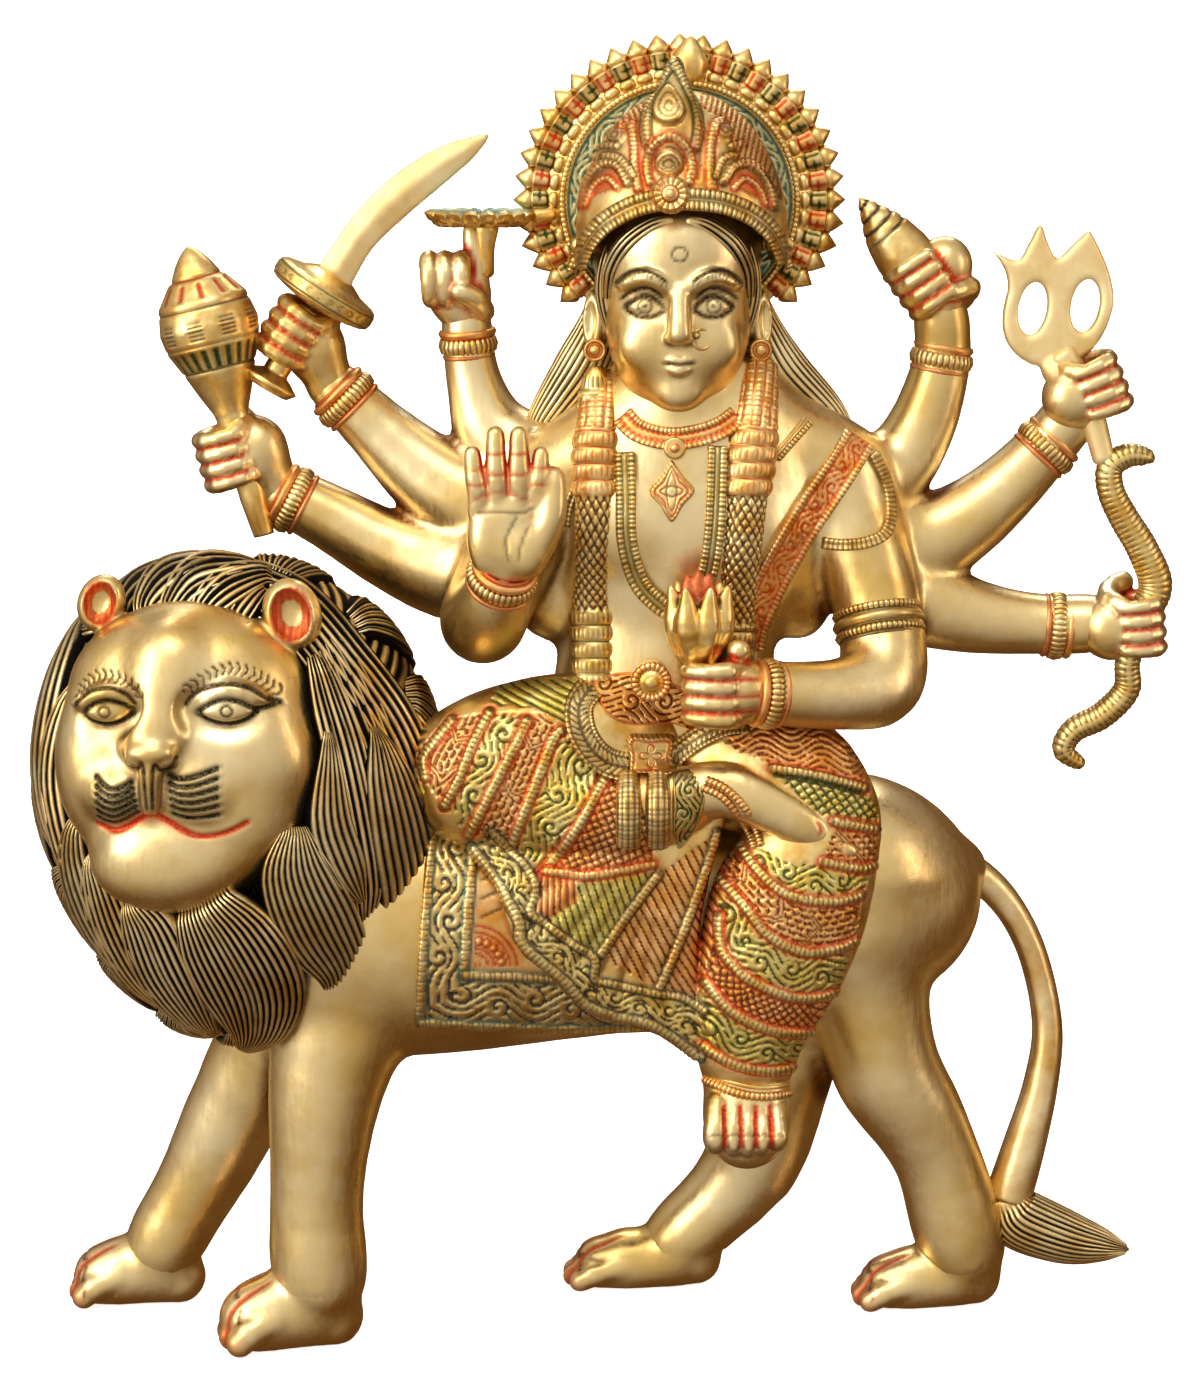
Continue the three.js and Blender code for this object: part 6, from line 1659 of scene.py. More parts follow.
# The crown: a dome chased with ribs, volutes and lobes behind a roped brow band
crownForm = {
    "cell": 0.84, "share": 0.8,
    "peak": [[26.5, -50, 452, 6], [26, -50, 462, 9.5], [26.5, -46, 471, 7], [27.5, -38, 482, 3.4],
             [28, -33, 489, 1.6]],
    # ribs that end in a curl, and a line inside each
    "ribs": [[[14, 438], [12.6, 447], [12.4, 456], [11, 464], [7, 464.5]],
             [[41, 438], [40, 447], [40.4, 456], [42, 463], [45, 465]]],
    "ribLines": [[[18.6, 441], [17.4, 450], [17, 460]], [[35.6, 441], [36.6, 450], [37, 460]]],
    "curls": [(6, 460), (45.3, 460.5)],
    "flames": [[[18, 453], [16.4, 461], [17.4, 470], [21.6, 479], [27, 488]],
               [[34.4, 453], [36, 461], [35, 470], [31.6, 478], [27, 488]]],
    "arch": [[18.4, 440], [17, 447], [19, 453.5], [25, 457], [31, 453.5], [33.4, 447], [32, 440]],
    "flower": (25, 447.5), "flowerRings": [(1.6, "green"), (3.2, "green"), (5.4, "brown")],
    "gem": (25, 467),
    "lobes": [[[-9, 436], [-6, 444], [0, 449.5], [6, 448.5], [10, 441]],
              [[64, 434], [62, 443], [56, 448.5], [49.5, 447.5], [45, 441]]],
    "innerLobes": [[[-6, 435], [-3, 441], [2, 444], [6, 440]], [[61, 434], [58, 440], [53, 443], [49, 439]]],
    "fans": [[[1, 453], [7, 451], [12, 444]], [[-1, 458], [6, 456]],
             [[50, 452], [45, 450], [42, 443]], [[53, 457], [48, 455]]],
    # outline and slant of the chased leaves
    "leaves": [
        [[[-3, 449], [-8, 441], [-5, 456], [3, 469], [13, 478], [17, 472], [13, 464], [2, 464.5]], 2.2],
        [[[50, 449], [60, 446], [67, 438], [61, 460], [49, 474], [36, 481], [37, 470], [46, 465]], 0.9],
    ],
    "brow": [[-9, 413], [-6, 419.5], [0, 426], [9, 431], [17, 433.4], [26, 434.4], [36, 434.2], [46, 433],
             [57, 429], [65, 422.5], [69.5, 414]],
}
crown = Clay([-14, -66, 414], [72, 10, 500], crownForm["cell"])
crown.egg((30.5, -28, 424), (39.5, 32.5, 54.5), 2)
crown.limb(crownForm["peak"], 3, 0.75)


def engraveCrown(marks, normal, verts):
    marks.z = seenHeight(verts, headPlane)
    marks.where = ramp(-normal[:, 1], -0.15, 0.15)
    for rib, line in zip(crownForm["ribs"], crownForm["ribLines"]):
        marks.rope(rib, 1.7, 1.4, 1.7, "red", "red")
        marks.line(line, 1.1, 0.6, "brown", 0.7)
    for x, z in crownForm["curls"]:
        r = np.hypot(marks.x - x, marks.z - z)
        marks.high += 1.4 * ramp(-r, -3.6, -2.6) * marks.where
        marks.rings(r, (1.2, 2.6), 0.38, 0.3, "brown", 0.8)
    for flame in crownForm["flames"]:
        marks.rope(flame, 1.7, 1.2, 1.7, "blueBlack", "green")
    marks.rope(crownForm["arch"], 1.6, 1.4, 1.7, "brown", "red")
    x, z = crownForm["flower"]
    r = np.hypot(marks.x - x, marks.z - z)
    marks.high += 2.2 * ramp(-r, -5.2, -3.8) * marks.where
    for size, tint in crownForm["flowerRings"]:
        marks.rings(r, [size], 0.45, 0.4, tint, 0.9)
    # the gem is drawn out into a drop upwards
    x, z = crownForm["gem"]
    tall = np.where(marks.z > z, 0.55, 1.0)
    r = np.hypot((marks.x - x) / (1 - 0.55 * ramp(marks.z, 466, 479)), tall * (marks.z - z))
    marks.high += 2.0 * ramp(-r, -6.0, -4.6) * marks.where
    marks.rings(r, (1.4, 3.2, 6.3), 0.4, 0.35, "brown", 0.75)
    for lobe, inside in zip(crownForm["lobes"], crownForm["innerLobes"]):
        marks.colour(0.75 * marks.field(lobe) * marks.where, "red")
        marks.high -= 0.6 * marks.field(lobe) * marks.where
        marks.rope(lobe, 1.6, 1.3, 1.7, "brown", "green")
        marks.rope(inside, 1.2, 0.9, 1.6, "red", "red")
    for fan in crownForm["fans"]:
        marks.rope(fan, 1.2, 0.9, 1.6, "blueBlack", "green")
    for outline, turn in crownForm["leaves"]:
        marks.fill(marks.field(outline), marks.x - 30, marks.z - 450, "leaves", "orange", "brown", 0.3, 2.6,
                   0.7, turn)
        marks.line(outline[1:5], 1.2, 0.5, "green", 0.9)
    wash = ramp(marks.z, 428, 440) * ramp(-marks.z, -468, -455)
    marks.colour(0.12 * wash * marks.where, "orange")


def aboveBrow(verts):
    # the dome stops behind the brow band in front, and at the nape behind
    brow = np.interp(verts[:, 0], *np.transpose(crownForm["brow"]))
    return (verts[:, 2] > 415) & ((seenHeight(verts, headPlane) > brow - 1.5) | (verts[:, 1] > -28))


makePiece("crown_dome", [crown.skin("brown", 0.3, 0.6, 3.0, 3, aboveBrow, engraveCrown)], chasedBrass,
          crownForm["share"])

# the band runs back only to the halo
crownFront = facing(headPlane, crown, stop=-14)
crownParts = [strap(crownForm["brow"], crownFront, 4.4, 3.2, rope=1.9, pitch=1.8, tint="brown",
                    middle="green", step=0.5)]
browRing = evenPath([[30.5 + 39.5 * math.cos(a), -27 + 20 * math.sin(a), 421 + 2 * math.sin(a)]
                     for a in np.linspace(0.0, math.pi, 14)], 3)[0]
crownParts.append(roll(browRing, 3.2, 2.2))
rosette = [[6.8, -4], [7, 1.2], [5.6, 3], [3.4, 2.8], [2.8, 3.6], [1.7, 4.2], [0, 4.6]]
crownParts.append(disc((25.5, -62, 441.2), (-0.06, -1, 0.12), rosette, 60, petals=15, petalDepth=0.7,
                       tint="red", lines=(3.0, 1.5)))
makePiece("crown_band", crownParts, chasedBrass)

# The halo: a plate with a scrolled ring, edged with thirty-three lotus buds
halo = {"centre": (30, -4, 437), "buds": 33, "spread": 268, "share": 0.6, "scrolls": 35.5, "foot": 45.5,
        "tip": 64.0}
haloX, haloY, haloZ = halo["centre"]
turn = np.linspace(0, 2 * np.pi, 320, endpoint=False)
profile = np.array([[0.3, -10.5], [26, -10.5], [42.6, -10.5], [43.6, -9.8], [43.9, -7.2], [49.8, -7.2],
                    [50.6, -6.2], [50.8, -3.5], [50.2, -0.8], [49, -0.4], [0.3, -0.4]])
run = np.concatenate([[0], np.cumsum(np.linalg.norm(np.diff(profile, axis=0), axis=1))])
at = np.unique(np.concatenate([[0, 20, 26, 26.4, 60, 70, 80, 90], np.arange(27, 44, 0.6), run]))
radius, depth = np.interp(at, run, profile[:, 0]), np.interp(at, run, profile[:, 1])
wide = radius[:, None] + 0 * turn[None]
flat = np.stack([haloX + wide * np.cos(turn), 0 * wide + depth[:, None], haloZ + wide * np.sin(turn)], -1)
marks = Engraving(flat)
# only the plate's face is engraved, not its rim or back
onFace = ((at < run[4] - 0.3)[:, None] & (turn[None] > -1)).ravel()
u, v = (turn[None] * 36 + 0 * wide).ravel(), wide.ravel() - halo["scrolls"]
marks.fill(ramp(-np.abs(v), -6.6, -6.0) * onFace, u, v, "scroll", "verdigris", "teal", 0.55, 2.0, 0.7, 0.0, 9)
for r in (28.4, 42.0):
    marks.cut(peak(wide.ravel() - r, 0.5) * onFace, 0.5, "teal", 0.95)
rise, colour, cover, age = marks.part()
flat[..., 1] -= rise
haloParts = [gridPart(flat, closed=True, tint=colour, cover=cover, age=age, capEnds=True)]
haloParts.append(ring((haloX, haloY - 8, haloZ), (0, 1, 0), 44.2, 1.3, 1.9, "brown", 0.7, guide=(0, 0, 1)))


def budCuts(tint):
    def cuts(arc, turn, radius, points):
        body = within(arc, 4.4, 5.0, 9.6, 10.2)
        stroke = ramp(np.cos(turn * 6), 0.45, 0.95) * body
        edges = peak(arc - 4.1, 0.4) + 0.45 * peak(arc - 10.6, 0.4)
        middle = peak(arc - 7.3, 0.4) * ramp(np.cos(turn * 3), 0.0, 0.5) * body
        cut = np.maximum(stroke, clamp(edges + middle))
        return -0.45 * cut, lacquer[tint], clamp(1.3 * cut + 0.2 * body), 0.5 * cut
    return cuts


step = halo["spread"] / halo["buds"]


def fringePart(place, back, profile, foot, tip, *look):
    # a small turned form that points out from the halo at a place in its fringe, lower ones drawn in a little
    a = math.radians(90 + halo["spread"] / 2 - step * place)
    inward = 1 - 0.09 * float(ramp(abs(math.degrees(a) - 90), 95, 132))
    way = np.array([math.cos(a), 0, math.sin(a)])
    centre = np.array(halo["centre"], float) + [0, back, 0]
    haloParts.append(turned(profile, centre + way * foot * inward, centre + way * tip * inward, *look))


budProfile = [[0, 0], [0, 2.9], [1.0, 3.8], [2.6, 3.9], [3.8, 3.2], [4.3, 3.4], [4.9, 4.1], [7.3, 4.3],
              [10, 4.4], [10.7, 3.8], [11.3, 4.1], [12.4, 4.1], [13.6, 3.4], [15.2, 2.1], [17.4, 0.1]]
for n in range(halo["buds"]):
    fringePart(n + 0.5, -1.5, budProfile, halo["foot"], halo["tip"], 18, budCuts(("red", "green")[n % 2]),
               0.8, 0.85)
for n in range(halo["buds"] - 1):
    # a small leaf shows between each two buds
    fringePart(n + 1, 0, [[0, 0], [0, 2.4], [6, 3.0], [10, 2.4], [14, 0.1]], 45, 59, 10, None, 1.6, 1.0)
haloParts.append(turned([[0, 0], [0, 5], [4, 6.6], [9, 7.2], [13, 5.4], [17, 2.6], [19, 0.1]], (33, -9, 480),
                        (34, -9, 499.4), 28, None, 0.9, 0.8))
makePiece("halo", haloParts, chasedBrass, halo["share"])
print("crown and halo done")

# Jewels and cloth bands on the trunk
def garlandCuts(sections):
    def cuts(arc, turn, radius, points):
        z = seenHeight(points, trunkPlane)
        s = (turn - np.pi / 2) * radius
        high, cover, age = np.zeros(z.shape), np.zeros(z.shape), np.zeros(z.shape)
        tint = np.tile(np.array(lacquer["brown"]), z.shape + (1,))
        for low, top, kind, colour in sections:
            here = ((z >= low) & (z < top)).astype(float)
            if kind == "ropes":
                fold = s / 3.6
                near = np.abs(fold - np.round(fold)) * 2
                strokes = ramp(beat(arc, 1.8), 0.1, 0.8) * ramp(-near, -0.8, -0.5)
                cut = np.maximum(strokes * 0.8, ramp(near, 0.72, 0.95))
                lift = 1.0 * dome(near) - 0.3 * strokes
            elif kind == "rings":
                fold = (z - low) / 6.2
                near = np.abs(fold - np.floor(fold) - 0.5) * 2
                strokes = ramp(beat(s, 1.9), 0.1, 0.8) * ramp(-near, -0.8, -0.5)
                cut = np.maximum(strokes * 0.75, ramp(near, 0.8, 0.97))
                lift = 1.5 * dome(near) - 0.35 * strokes
            else:
                one = ramp(beat(arc * 0.7 + s, 3.3), 0.4, 0.9)
                two = ramp(beat(arc * 0.7 - s, 3.3), 0.4, 0.9)
                cut = np.maximum(one, two)
                lift = 0.3 - 0.8 * cut
            high += here * lift
            cover += here * 0.9 * cut
            age += here * 0.5 * cut
            tint = tint * (1 - here[..., None]) + here[..., None] * np.array(lacquer[colour])
        return high, tint, cover, age
    return cuts


def garland(line, sections):
    path, _ = evenPath(line, 4.0, dims=2)
    depth, high = bustFront(path[:, 0], path[:, 1])
    stations = [[x, y + 1.0, z, r] for (x, _, r), y, z in zip(path[:, :3], evened(depth, 2), high)]
    angles = np.concatenate([np.linspace(-0.35, np.pi + 0.35, 48), np.linspace(np.pi + 0.6, 2 * np.pi - 0.6,
            6)])
    return tube(stations, step=0.7, sides=0, deep=0.72, relief=garlandCuts(sections), ends=0.3, angles=angles,
                perSpan=4)


jewels = [
    # the two garlands, each in lengths of a different work
    garland([[0.5, 376, 6], [0, 362, 7.2], [-1, 345, 8.6], [-1.5, 325, 7.4],
             [-2.5, 300, 7], [-2.5, 284, 8], [-2.5, 257, 7.2]],
            [(355, 380, "ropes", "red"), (329, 355, "rings", "red"),
             (286.5, 329, "net", "plum"), (250, 286.5, "rings", "green")]),
    garland([[60, 380, 6], [58.5, 366, 7], [56, 345, 8.6], [54, 325, 7.4],
             [52, 300, 7.2], [50.5, 284, 7.4], [49.5, 266, 7]],
            [(355, 384, "ropes", "red"), (329, 355, "rings", "red"),
             (281, 329, "net", "plum"), (260, 281, "rings", "green")]),
    # the collar and the long chain
    strap([[8, 360], [13, 354.5], [20, 351.6], [28, 350.6], [37, 352], [45, 355], [51, 359.5]],
          bustFront, 4.6, 1.8, {"kind": "dots", "ground": "orange", "tint": "red", "wash": 0.4, "pitch": 2.2},
          1.4, tint="red", step=0.55),
    strap([[9, 346], [9.5, 330], [10, 312], [14, 298], [20.5, 290], [27, 286.5],
           [34, 290.5], [39.5, 299], [42, 313], [43, 330], [43.5, 348]],
          bustFront, 4.0, 2.0, None, 1.55, tint="green", middle="green", step=0.55),
    # the sash over her left shoulder
    strap([[98, 353], [90, 340], [80, 325], [71, 310], [63, 295], [57.5, 281], [56, 272]],
          bustFront, 6.8, 2.2,
          {"kind": "scroll", "ground": "orange", "tint": "red", "wash": 0.4, "pitch": 2.0, "depth": 0.5,
           "size": 9},
          1.5, tint="red", step=0.6),
    # hems of the sleeves and the bodice
    strap([[103, 347], [108.5, 336], [110, 325], [107.5, 316.5], [100, 312.5], [91, 311.5], [83, 312.5]],
          bustFront, 2.6, 1.6, None, 1.3, tint="plum"),
    strap([[0, 346], [-6.5, 337], [-11.5, 327], [-13, 318]], bustFront, 2.2, 1.2, None, 1.1, tint="plum"),
    rolled([[66, 343], [72, 350], [79, 358]], bustFront, 1.3, 0.3, pitch=1.7, tint="blueBlack"),
    rolled([[64.5, 345], [70.5, 352], [77, 360]], bustFront, 0.8, 0.1, tint="green", plain=True, cover=3.0),
]


def lozengeCuts(marks, inward):
    marks.rings(inward, (2.6, 4.6), 0.4, 0.45, "red", 0.85)
    strokes = ramp(beat(marks.x + marks.z * 0.9, 2.2), 0.2, 0.8) * ramp(-inward, -2.3, -1.8)
    marks.cut(strokes, 0.3, "red", 0.7)
    marks.rings(np.hypot(marks.x - 26.5, marks.z - 331), [2.0], 0.35, 0.3, "brown", 0.8)


jewels.append(raised([[26.5, 343], [30.8, 337], [35.2, 331], [30.8, 325], [26.5, 319], [22.2, 325],
                      [17.8, 331], [22.2, 337]], bustFront, 2.6, 0.45, 1.2, lozengeCuts))
depth, high = bustFront(np.array([27.5]), np.array([347.0]))
boss = [[4.0, -1.5], [4.2, 2.4], [3.2, 3.8], [2.2, 2.8], [1.6, 3.6], [0, 4.0]]
jewels.append(disc((27.5, depth[0], high[0]), (0, -1, 0.1), boss, 32, lines=(2.7, 1.5), tint="red"))
makePiece("jewels", jewels, chasedBrass, 0.7)

lapFront = facing(lapPlane, bust, front)


def buckleCuts(marks, inward):
    cu, cv = marks.x - 19, marks.z - 234
    r, way = np.hypot(cu, cv), np.arctan2(cv, cu)
    marks.cut(peak(inward - 2.6, 0.4), 0.4, "red", 0.8)
    marks.cut(ramp(beat(cu + cv, 1.9), 0.1, 0.8) * ramp(-inward, -2.3, -1.9), 0.35, "brown", 0.75)
    petal = np.abs(r - 3.6 * np.abs(np.cos(2 * way)) - 0.6)
    marks.cut(ramp(-petal, -0.5, -0.2), 0.4, "red", 0.85)


def waistCuts(marks, inward):
    marks.fill(ramp(inward, 0.8, 1.4), marks.x - 18, marks.z - 254, "scroll", "orange", "rust", 0.3, 2.2, 0.6,
               0.3, 12)
    marks.cut(peak(inward - 1.0, 0.4), 0.3, "red", 0.8)


def sashCuts(marks, inward):
    marks.fill(ramp(inward, 1.8, 2.4), marks.z, marks.x - 32, "scroll", "green", "green", 0.4, 1.9, 0.5, 0.0,
               9)
    marks.cut(peak(inward - 1.9, 0.4), 0.3, "green", 0.9)


leaf = {"kind": "leaves", "ground": "plum", "tint": "black", "wash": 0.25, "pitch": 2.3, "depth": 0.6}
belt = [
    raised([[-4, 262], [8, 265], [20, 264], [32, 258], [40, 249], [36, 243], [27, 245], [12, 245], [2, 250]],
           lapFront, 1.6, 0.5, 0.8, waistCuts),
    strap([[-3, 260], [-7.5, 253], [-7, 244], [-3, 236], [3, 231], [11, 229]], lapFront, 5.6, 2.6, leaf, 0.9,
          tint="brown"),
    strap([[26, 231], [31, 236], [38, 241], [47, 245], [56, 246]], lapFront, 4.4, 2.2, leaf, 0.9,
          tint="brown"),
    raised([[10.3, 227], [10.3, 234], [10.3, 241], [19, 241.6], [27.7, 241], [27.7, 234], [27.7, 227],
            [19, 226.4]], lapFront, 5.0, 0.45, 1.4, buckleCuts),
    raised([[27, 229], [33, 230], [38.5, 229], [40, 220], [38, 210], [33.5, 201], [29, 197.5], [27, 204],
            [26.6, 216]], lapFront, 1.8, 0.5, 1.4, sashCuts),
]


def tasselCuts(arc, turn, radius, points):
    s = (turn - np.pi / 2) * radius / 2.3
    near = np.abs(s - np.floor(s) - 0.5) * 2
    strokes = ramp(beat(arc, 1.7), 0.1, 0.8) * ramp(-near, -0.8, -0.4)
    cut = np.maximum(0.8 * strokes, ramp(near, 0.75, 0.95))
    return 0.6 * dome(near) - 0.25 * strokes, lacquer["plum"], 0.85 * cut, 0.3 * cut


for x in (10.5, 21.5):
    depth, high = lapFront(np.array([x, x, x, x]), np.array([227.0, 218, 209, 199]))
    belt.append(tube([[x, min(y, -62) - 0.5, z, r] for y, z, r in zip(depth, high, (3.6, 4.3, 4.4, 4.2))],
                     step=0.7, sides=36, deep=0.75, relief=tasselCuts, ends=0.35))
makePiece("belt_and_tassels", belt, chasedBrass, 0.75)
print("jewels done")


# What she holds
def plate(clay, outline, middle, half, edgeHalf, taper, holes=()):
    # a flat plate in the x, z plane, thinned from half to edgeHalf over its last few millimetres
    x = clay.low[0] + clay.cell * np.arange(clay.count[0])
    z = clay.low[2] + clay.cell * np.arange(clay.count[2])
    gx, gz = np.meshgrid(x, z, indexing="ij")
    marks = Engraving(np.stack([gx, 0 * gx, gz], -1))
    best = np.full(gx.size, 1e9)
    inside = np.zeros(gx.size, bool)
    for rim in [outline, *holes]:
        path = np.asarray(rim, float)
        best = np.minimum(best, marks.near(np.vstack([path, path[:1]]), 1.0)[0])
        closed = evenPath(np.vstack([path, path[:1]]), 1.0, dims=2)[0]
        inside ^= marks.field(closed[:-1, :2])
    flat = np.where(inside, -best, best).reshape(gx.shape)[:, None, :]
    y = clay.low[1] + clay.cell * np.arange(clay.count[1])
    thick = edgeHalf + (half - edgeHalf) * clamp(-flat / taper)
    upright = np.abs(y - middle)[None, :, None] - thick
    soft = 1.2
    h = clamp(0.5 - 0.5 * (flat - upright) / soft)
    clay.field = np.minimum(clay.field, (flat + (upright - flat) * h + soft * h * (1 - h)).astype(np.float32))


def curve(points, ends):
    # a bezier span in eight steps, with its last point where ends is true
    p = [np.asarray(q, float) for q in points]
    t = np.linspace(0, 1, 8, endpoint=ends)[:, None]
    if len(p) == 4:
        return ((1 - t) ** 3 * p[0] + 3 * (1 - t) ** 2 * t * p[1] + 3 * (1 - t) * t ** 2 * p[2]
                + t ** 3 * p[3]).tolist()
    return ((1 - t) ** 2 * p[0] + 2 * (1 - t) * t * p[1] + t ** 2 * p[2]).tolist()


def maceCuts(arc, turn, radius, points):
    tint = np.tile(np.array(lacquer["plum"]), arc.shape + (1,))
    fluted = within(arc, 66.5, 67, 74, 74.6)
    flutes = ramp(np.cos(turn * 22), -0.1, 0.7) * fluted
    column = ramp(np.cos(turn * 9), -0.2, 0.3)
    bars = within(arc, 77, 77.6, 88, 88.6)
    strokes = ramp(beat(arc, 1.7), 0.2, 0.8) * column * bars
    edges = (1 - np.abs(column * 2 - 1)) * bars
    rings = sum(peak(arc - at, 0.5) for at in (66, 75.6, 89.4))
    rays = ramp(np.cos(turn * 11), 0.35, 0.8) * within(arc, 92.5, 93.5, 98.5, 99.5)
    neck = peak(arc - 100.6, 0.6)
    cut = np.maximum.reduce([flutes, strokes, 0.8 * edges, clamp(rings), rays, neck])
    for amount, name in ((fluted + peak(arc - 66, 0.5), "green"), (rays + neck, "red")):
        share = clamp(amount)[..., None]
        tint = tint * (1 - share) + share * np.array(lacquer[name])
    return -0.55 * cut, tint, clamp(0.9 * cut + 0.25 * fluted), 0.4 * cut


held = [turned([[0, 0], [0, 4], [15, 5.5], [48, 6.5], [56, 10], [66, 14], [75, 18], [82, 19], [92, 17],
                [100, 11], [100.8, 9.8], [103, 8.6], [106, 7], [109, 4.8], [111.5, 2.4], [113, 0]],
               (-128.5, -14, 311), (-156, -13, 423), 90, maceCuts, 0.8)]


def guardCuts(arc, turn, radius, points):
    rim = ramp(radius, 17.0, 18.5)
    two = peak(arc - 3.4, 0.55) + peak(arc + 1.4, 0.55)
    bead = turn * 28 / (2 * np.pi)
    beads = peak(np.hypot((bead - np.round(bead)) * 4.7, arc - 1) - 1.0, 0.35)
    face = ramp(np.cos(turn * 40), 0.3, 0.8) * within(radius, 15.5, 16.5, 19, 20)
    cut = clamp(two * rim + 0.8 * beads * rim + 0.4 * face)
    return -0.4 * cut, lacquer["green"], 0.9 * cut, 0.3 * cut


held.append(turned([[-5, 0], [-5, 10], [-4, 15], [-3, 19], [-2, 20.8], [-1, 21.2], [3, 21.2], [4, 20.8],
                    [5, 19], [6.4, 13], [9, 8], [9, 0]], (-105, -10, 402), (-94, -10, 419), 96, guardCuts,
                   0.65))
held.append(turned([[0, 0], [0, 9], [3, 11.5], [5.4, 8], [7, 5], [34, 5], [36, 0]], (-127, -12, 367),
                   (-104, -10, 405), 36, None, 1.0))
makePiece("mace_and_hilt", held, chasedBrass, 0.72)

bladeCell, budCell = 1.0, 0.9
blades = Clay([-116, -20, 392], [-36, 2, 474], bladeCell)
plate(blades, [[-109, 409], [-105, 415.5], [-92.4, 433], [-79, 446], [-63.2, 456.4], [-49.6, 461.2],
               [-41.4, 462], [-47.4, 453.4], [-57.4, 444.6], [-73.2, 431.4], [-85.7, 419.5], [-92.8, 408],
               [-97, 401.5]], -10, 2.8, 0.9, 6.5)
fork = Clay([140, -24, 362], [206, 2, 436], bladeCell)
outline = (curve([(-6, -2), (-19, 2), (-21, 12), (-19.5, 24)], False)
           + curve([(-19.5, 24), (-20, 33), (-29, 38.5)], True) + [[-18, 36], [-14.5, 43], [-11.5, 50.5],
                   [-7.5, 44], [-3, 39], [2, 45], [7, 51.5]] + curve([(7, 51.5), (20, 36), (21, 25)], False)
           + curve([(21, 25), (21, 14), (16, 3), (6, -2)], True))
ovals = [[[x + 5.4 * math.cos(a), z + 10 * math.sin(a)] for a in np.linspace(0, 2 * math.pi, 20,
        endpoint=False)] for x, z in ((-9, 19), (10.5, 23))]
forkLean = math.radians(8.5)


def onPlate(points):
    s, c = math.sin(forkLean), math.cos(forkLean)
    return [[170 + p * c + q * s, 377 - p * s + q * c] for p, q in points]


plate(fork, onPlate(outline), -11, 2.9, 2.1, 2.0, [onPlate(hole) for hole in ovals])
fork.limb([[173, -11, 374, 5], [177, -12, 371, 5]], 3)
shaft = [[174, -11, 382, 6], [180, -12, 372, 5.5], [187, -13, 357, 5], [192.5, -14, 338, 4.2]]
makePiece("blade_and_trident", [blades.skin(creaseAge=0.4, reach=3), fork.skin(creaseAge=0.4, reach=3),
                                tube(shaft, 1.2, 24)], blastedBrass)


def scaleCuts(arc, turn, radius, points):
    strokes = ramp(np.cos(2 * np.pi * (arc / 2.1 + 0.25 * np.abs(np.sin(turn - np.pi / 2)))), 0.1, 0.8)
    ridge = peak((turn - np.pi / 2) * radius, 0.8)
    cut = strokes * (1 - ridge)
    sides = peak(np.abs(turn - np.pi / 2) * radius - 1.3, 0.4)
    return 0.35 * ridge - 0.3 * cut, lacquer["green"], clamp(0.72 * cut + 0.5 * sides), 0.45 * cut


serpent = [[211, -14, 339, 1.6], [208, -14, 341, 3.6], [201, -14, 341.5, 4.8], [194.5, -14, 337, 5.2],
           [195, -14, 328, 5.4], [200, -14, 318, 5.8], [208, -14, 305, 6.2], [213, -14, 291, 6.6],
           [207, -15, 277, 6], [203, -15, 262, 5], [203, -14, 251, 5.4], [194, -14, 241, 5.4],
           [183, -14, 235, 5], [179.5, -14, 227, 4.4], [187.5, -14, 221, 2.6]]
makePiece("serpent", [tube(serpent, 0.6, 30, relief=scaleCuts, ends=0.9)], chasedBrass)


def conchCuts(arc, turn, radius, points):
    # dark lines that wind round the conch's tip
    wave = ramp(np.cos(2 * np.pi * (arc / 4.6) - turn), 0.35, 0.85) * within(arc, 27, 29, 44, 45)
    return -0.5 * wave, lacquer["blueBlack"], 0.95 * wave, 0.4 * wave


others = [turned([[0, 0], [2, 7], [10, 11.5], [20, 11], [28, 9.4], [33, 7.6], [38, 5.0], [43, 2.6], [46, 0]],
                 (126, -12, 403), (96.5, -13, 440), 44, conchCuts, 0.8)]

# the discus lies level, cut as a wheel of petals with green lacquer on its upper face
turn = np.linspace(0, 2 * np.pi, 216, endpoint=False)
share = np.concatenate([[0.02], np.linspace(0.06, 1, 20)])[:, None]
petal = np.abs(np.cos(turn * 9))[None]
wide = 21.6 * share * (1 - 0.09 * (1 - petal) * ramp(share, 0.6, 1.0))
seam = ramp(-petal, -0.34, -0.1) * ramp(share, 0.16, 0.3)
rib = peak(np.abs(np.sin(turn * 9))[None], 0.16) * ramp(share, 0.2, 0.4)
upper = 2.2 + 0.9 * np.sqrt(petal) * ramp(share, 0.1, 0.6) - 0.7 * seam + 0.3 * rib - 1.2 * ramp(share, 0.9,
        1.0)
hub, upward = np.array([-45, -9, 431.0]), np.array([0, 0, 1.0])
around = np.stack([np.cos(turn), np.sin(turn), 0 * turn], -1)[None]
top = hub + around * wide[..., None] + upward * upper[..., None]
cover = clamp(0.95 * ramp(-share, -0.96, -0.9) - 0.4 * rib) * np.ones(top.shape[:2])
others.append(gridPart(top, closed=True, tint=lacquer["verdigris"], cover=cover, age=0.2 * seam + 0 * cover,
                       face=(0, 0, 1)))
rimShare = np.linspace(1, 0.02, 12)[:, None]
wideUnder = wide[-1][None] * (rimShare + 0.035 * np.sin(np.pi * ramp(1 - rimShare, 0, 0.12)))
lower = upper[-1][None] - 3.6 * ramp(1 - rimShare, 0, 0.14)
under = hub + around * wideUnder[..., None] + upward * lower[..., None]
# the underside is darkened a little as painted shade
others.append(gridPart(under, closed=True, cover=0.0, age=0.25, face=(0, 0, -1)))
others.append(tube([[-45, -8, 408, 5], [-44, -8, 420, 4.2], [-43, -8, 430, 5.6]], 1.0, 20))
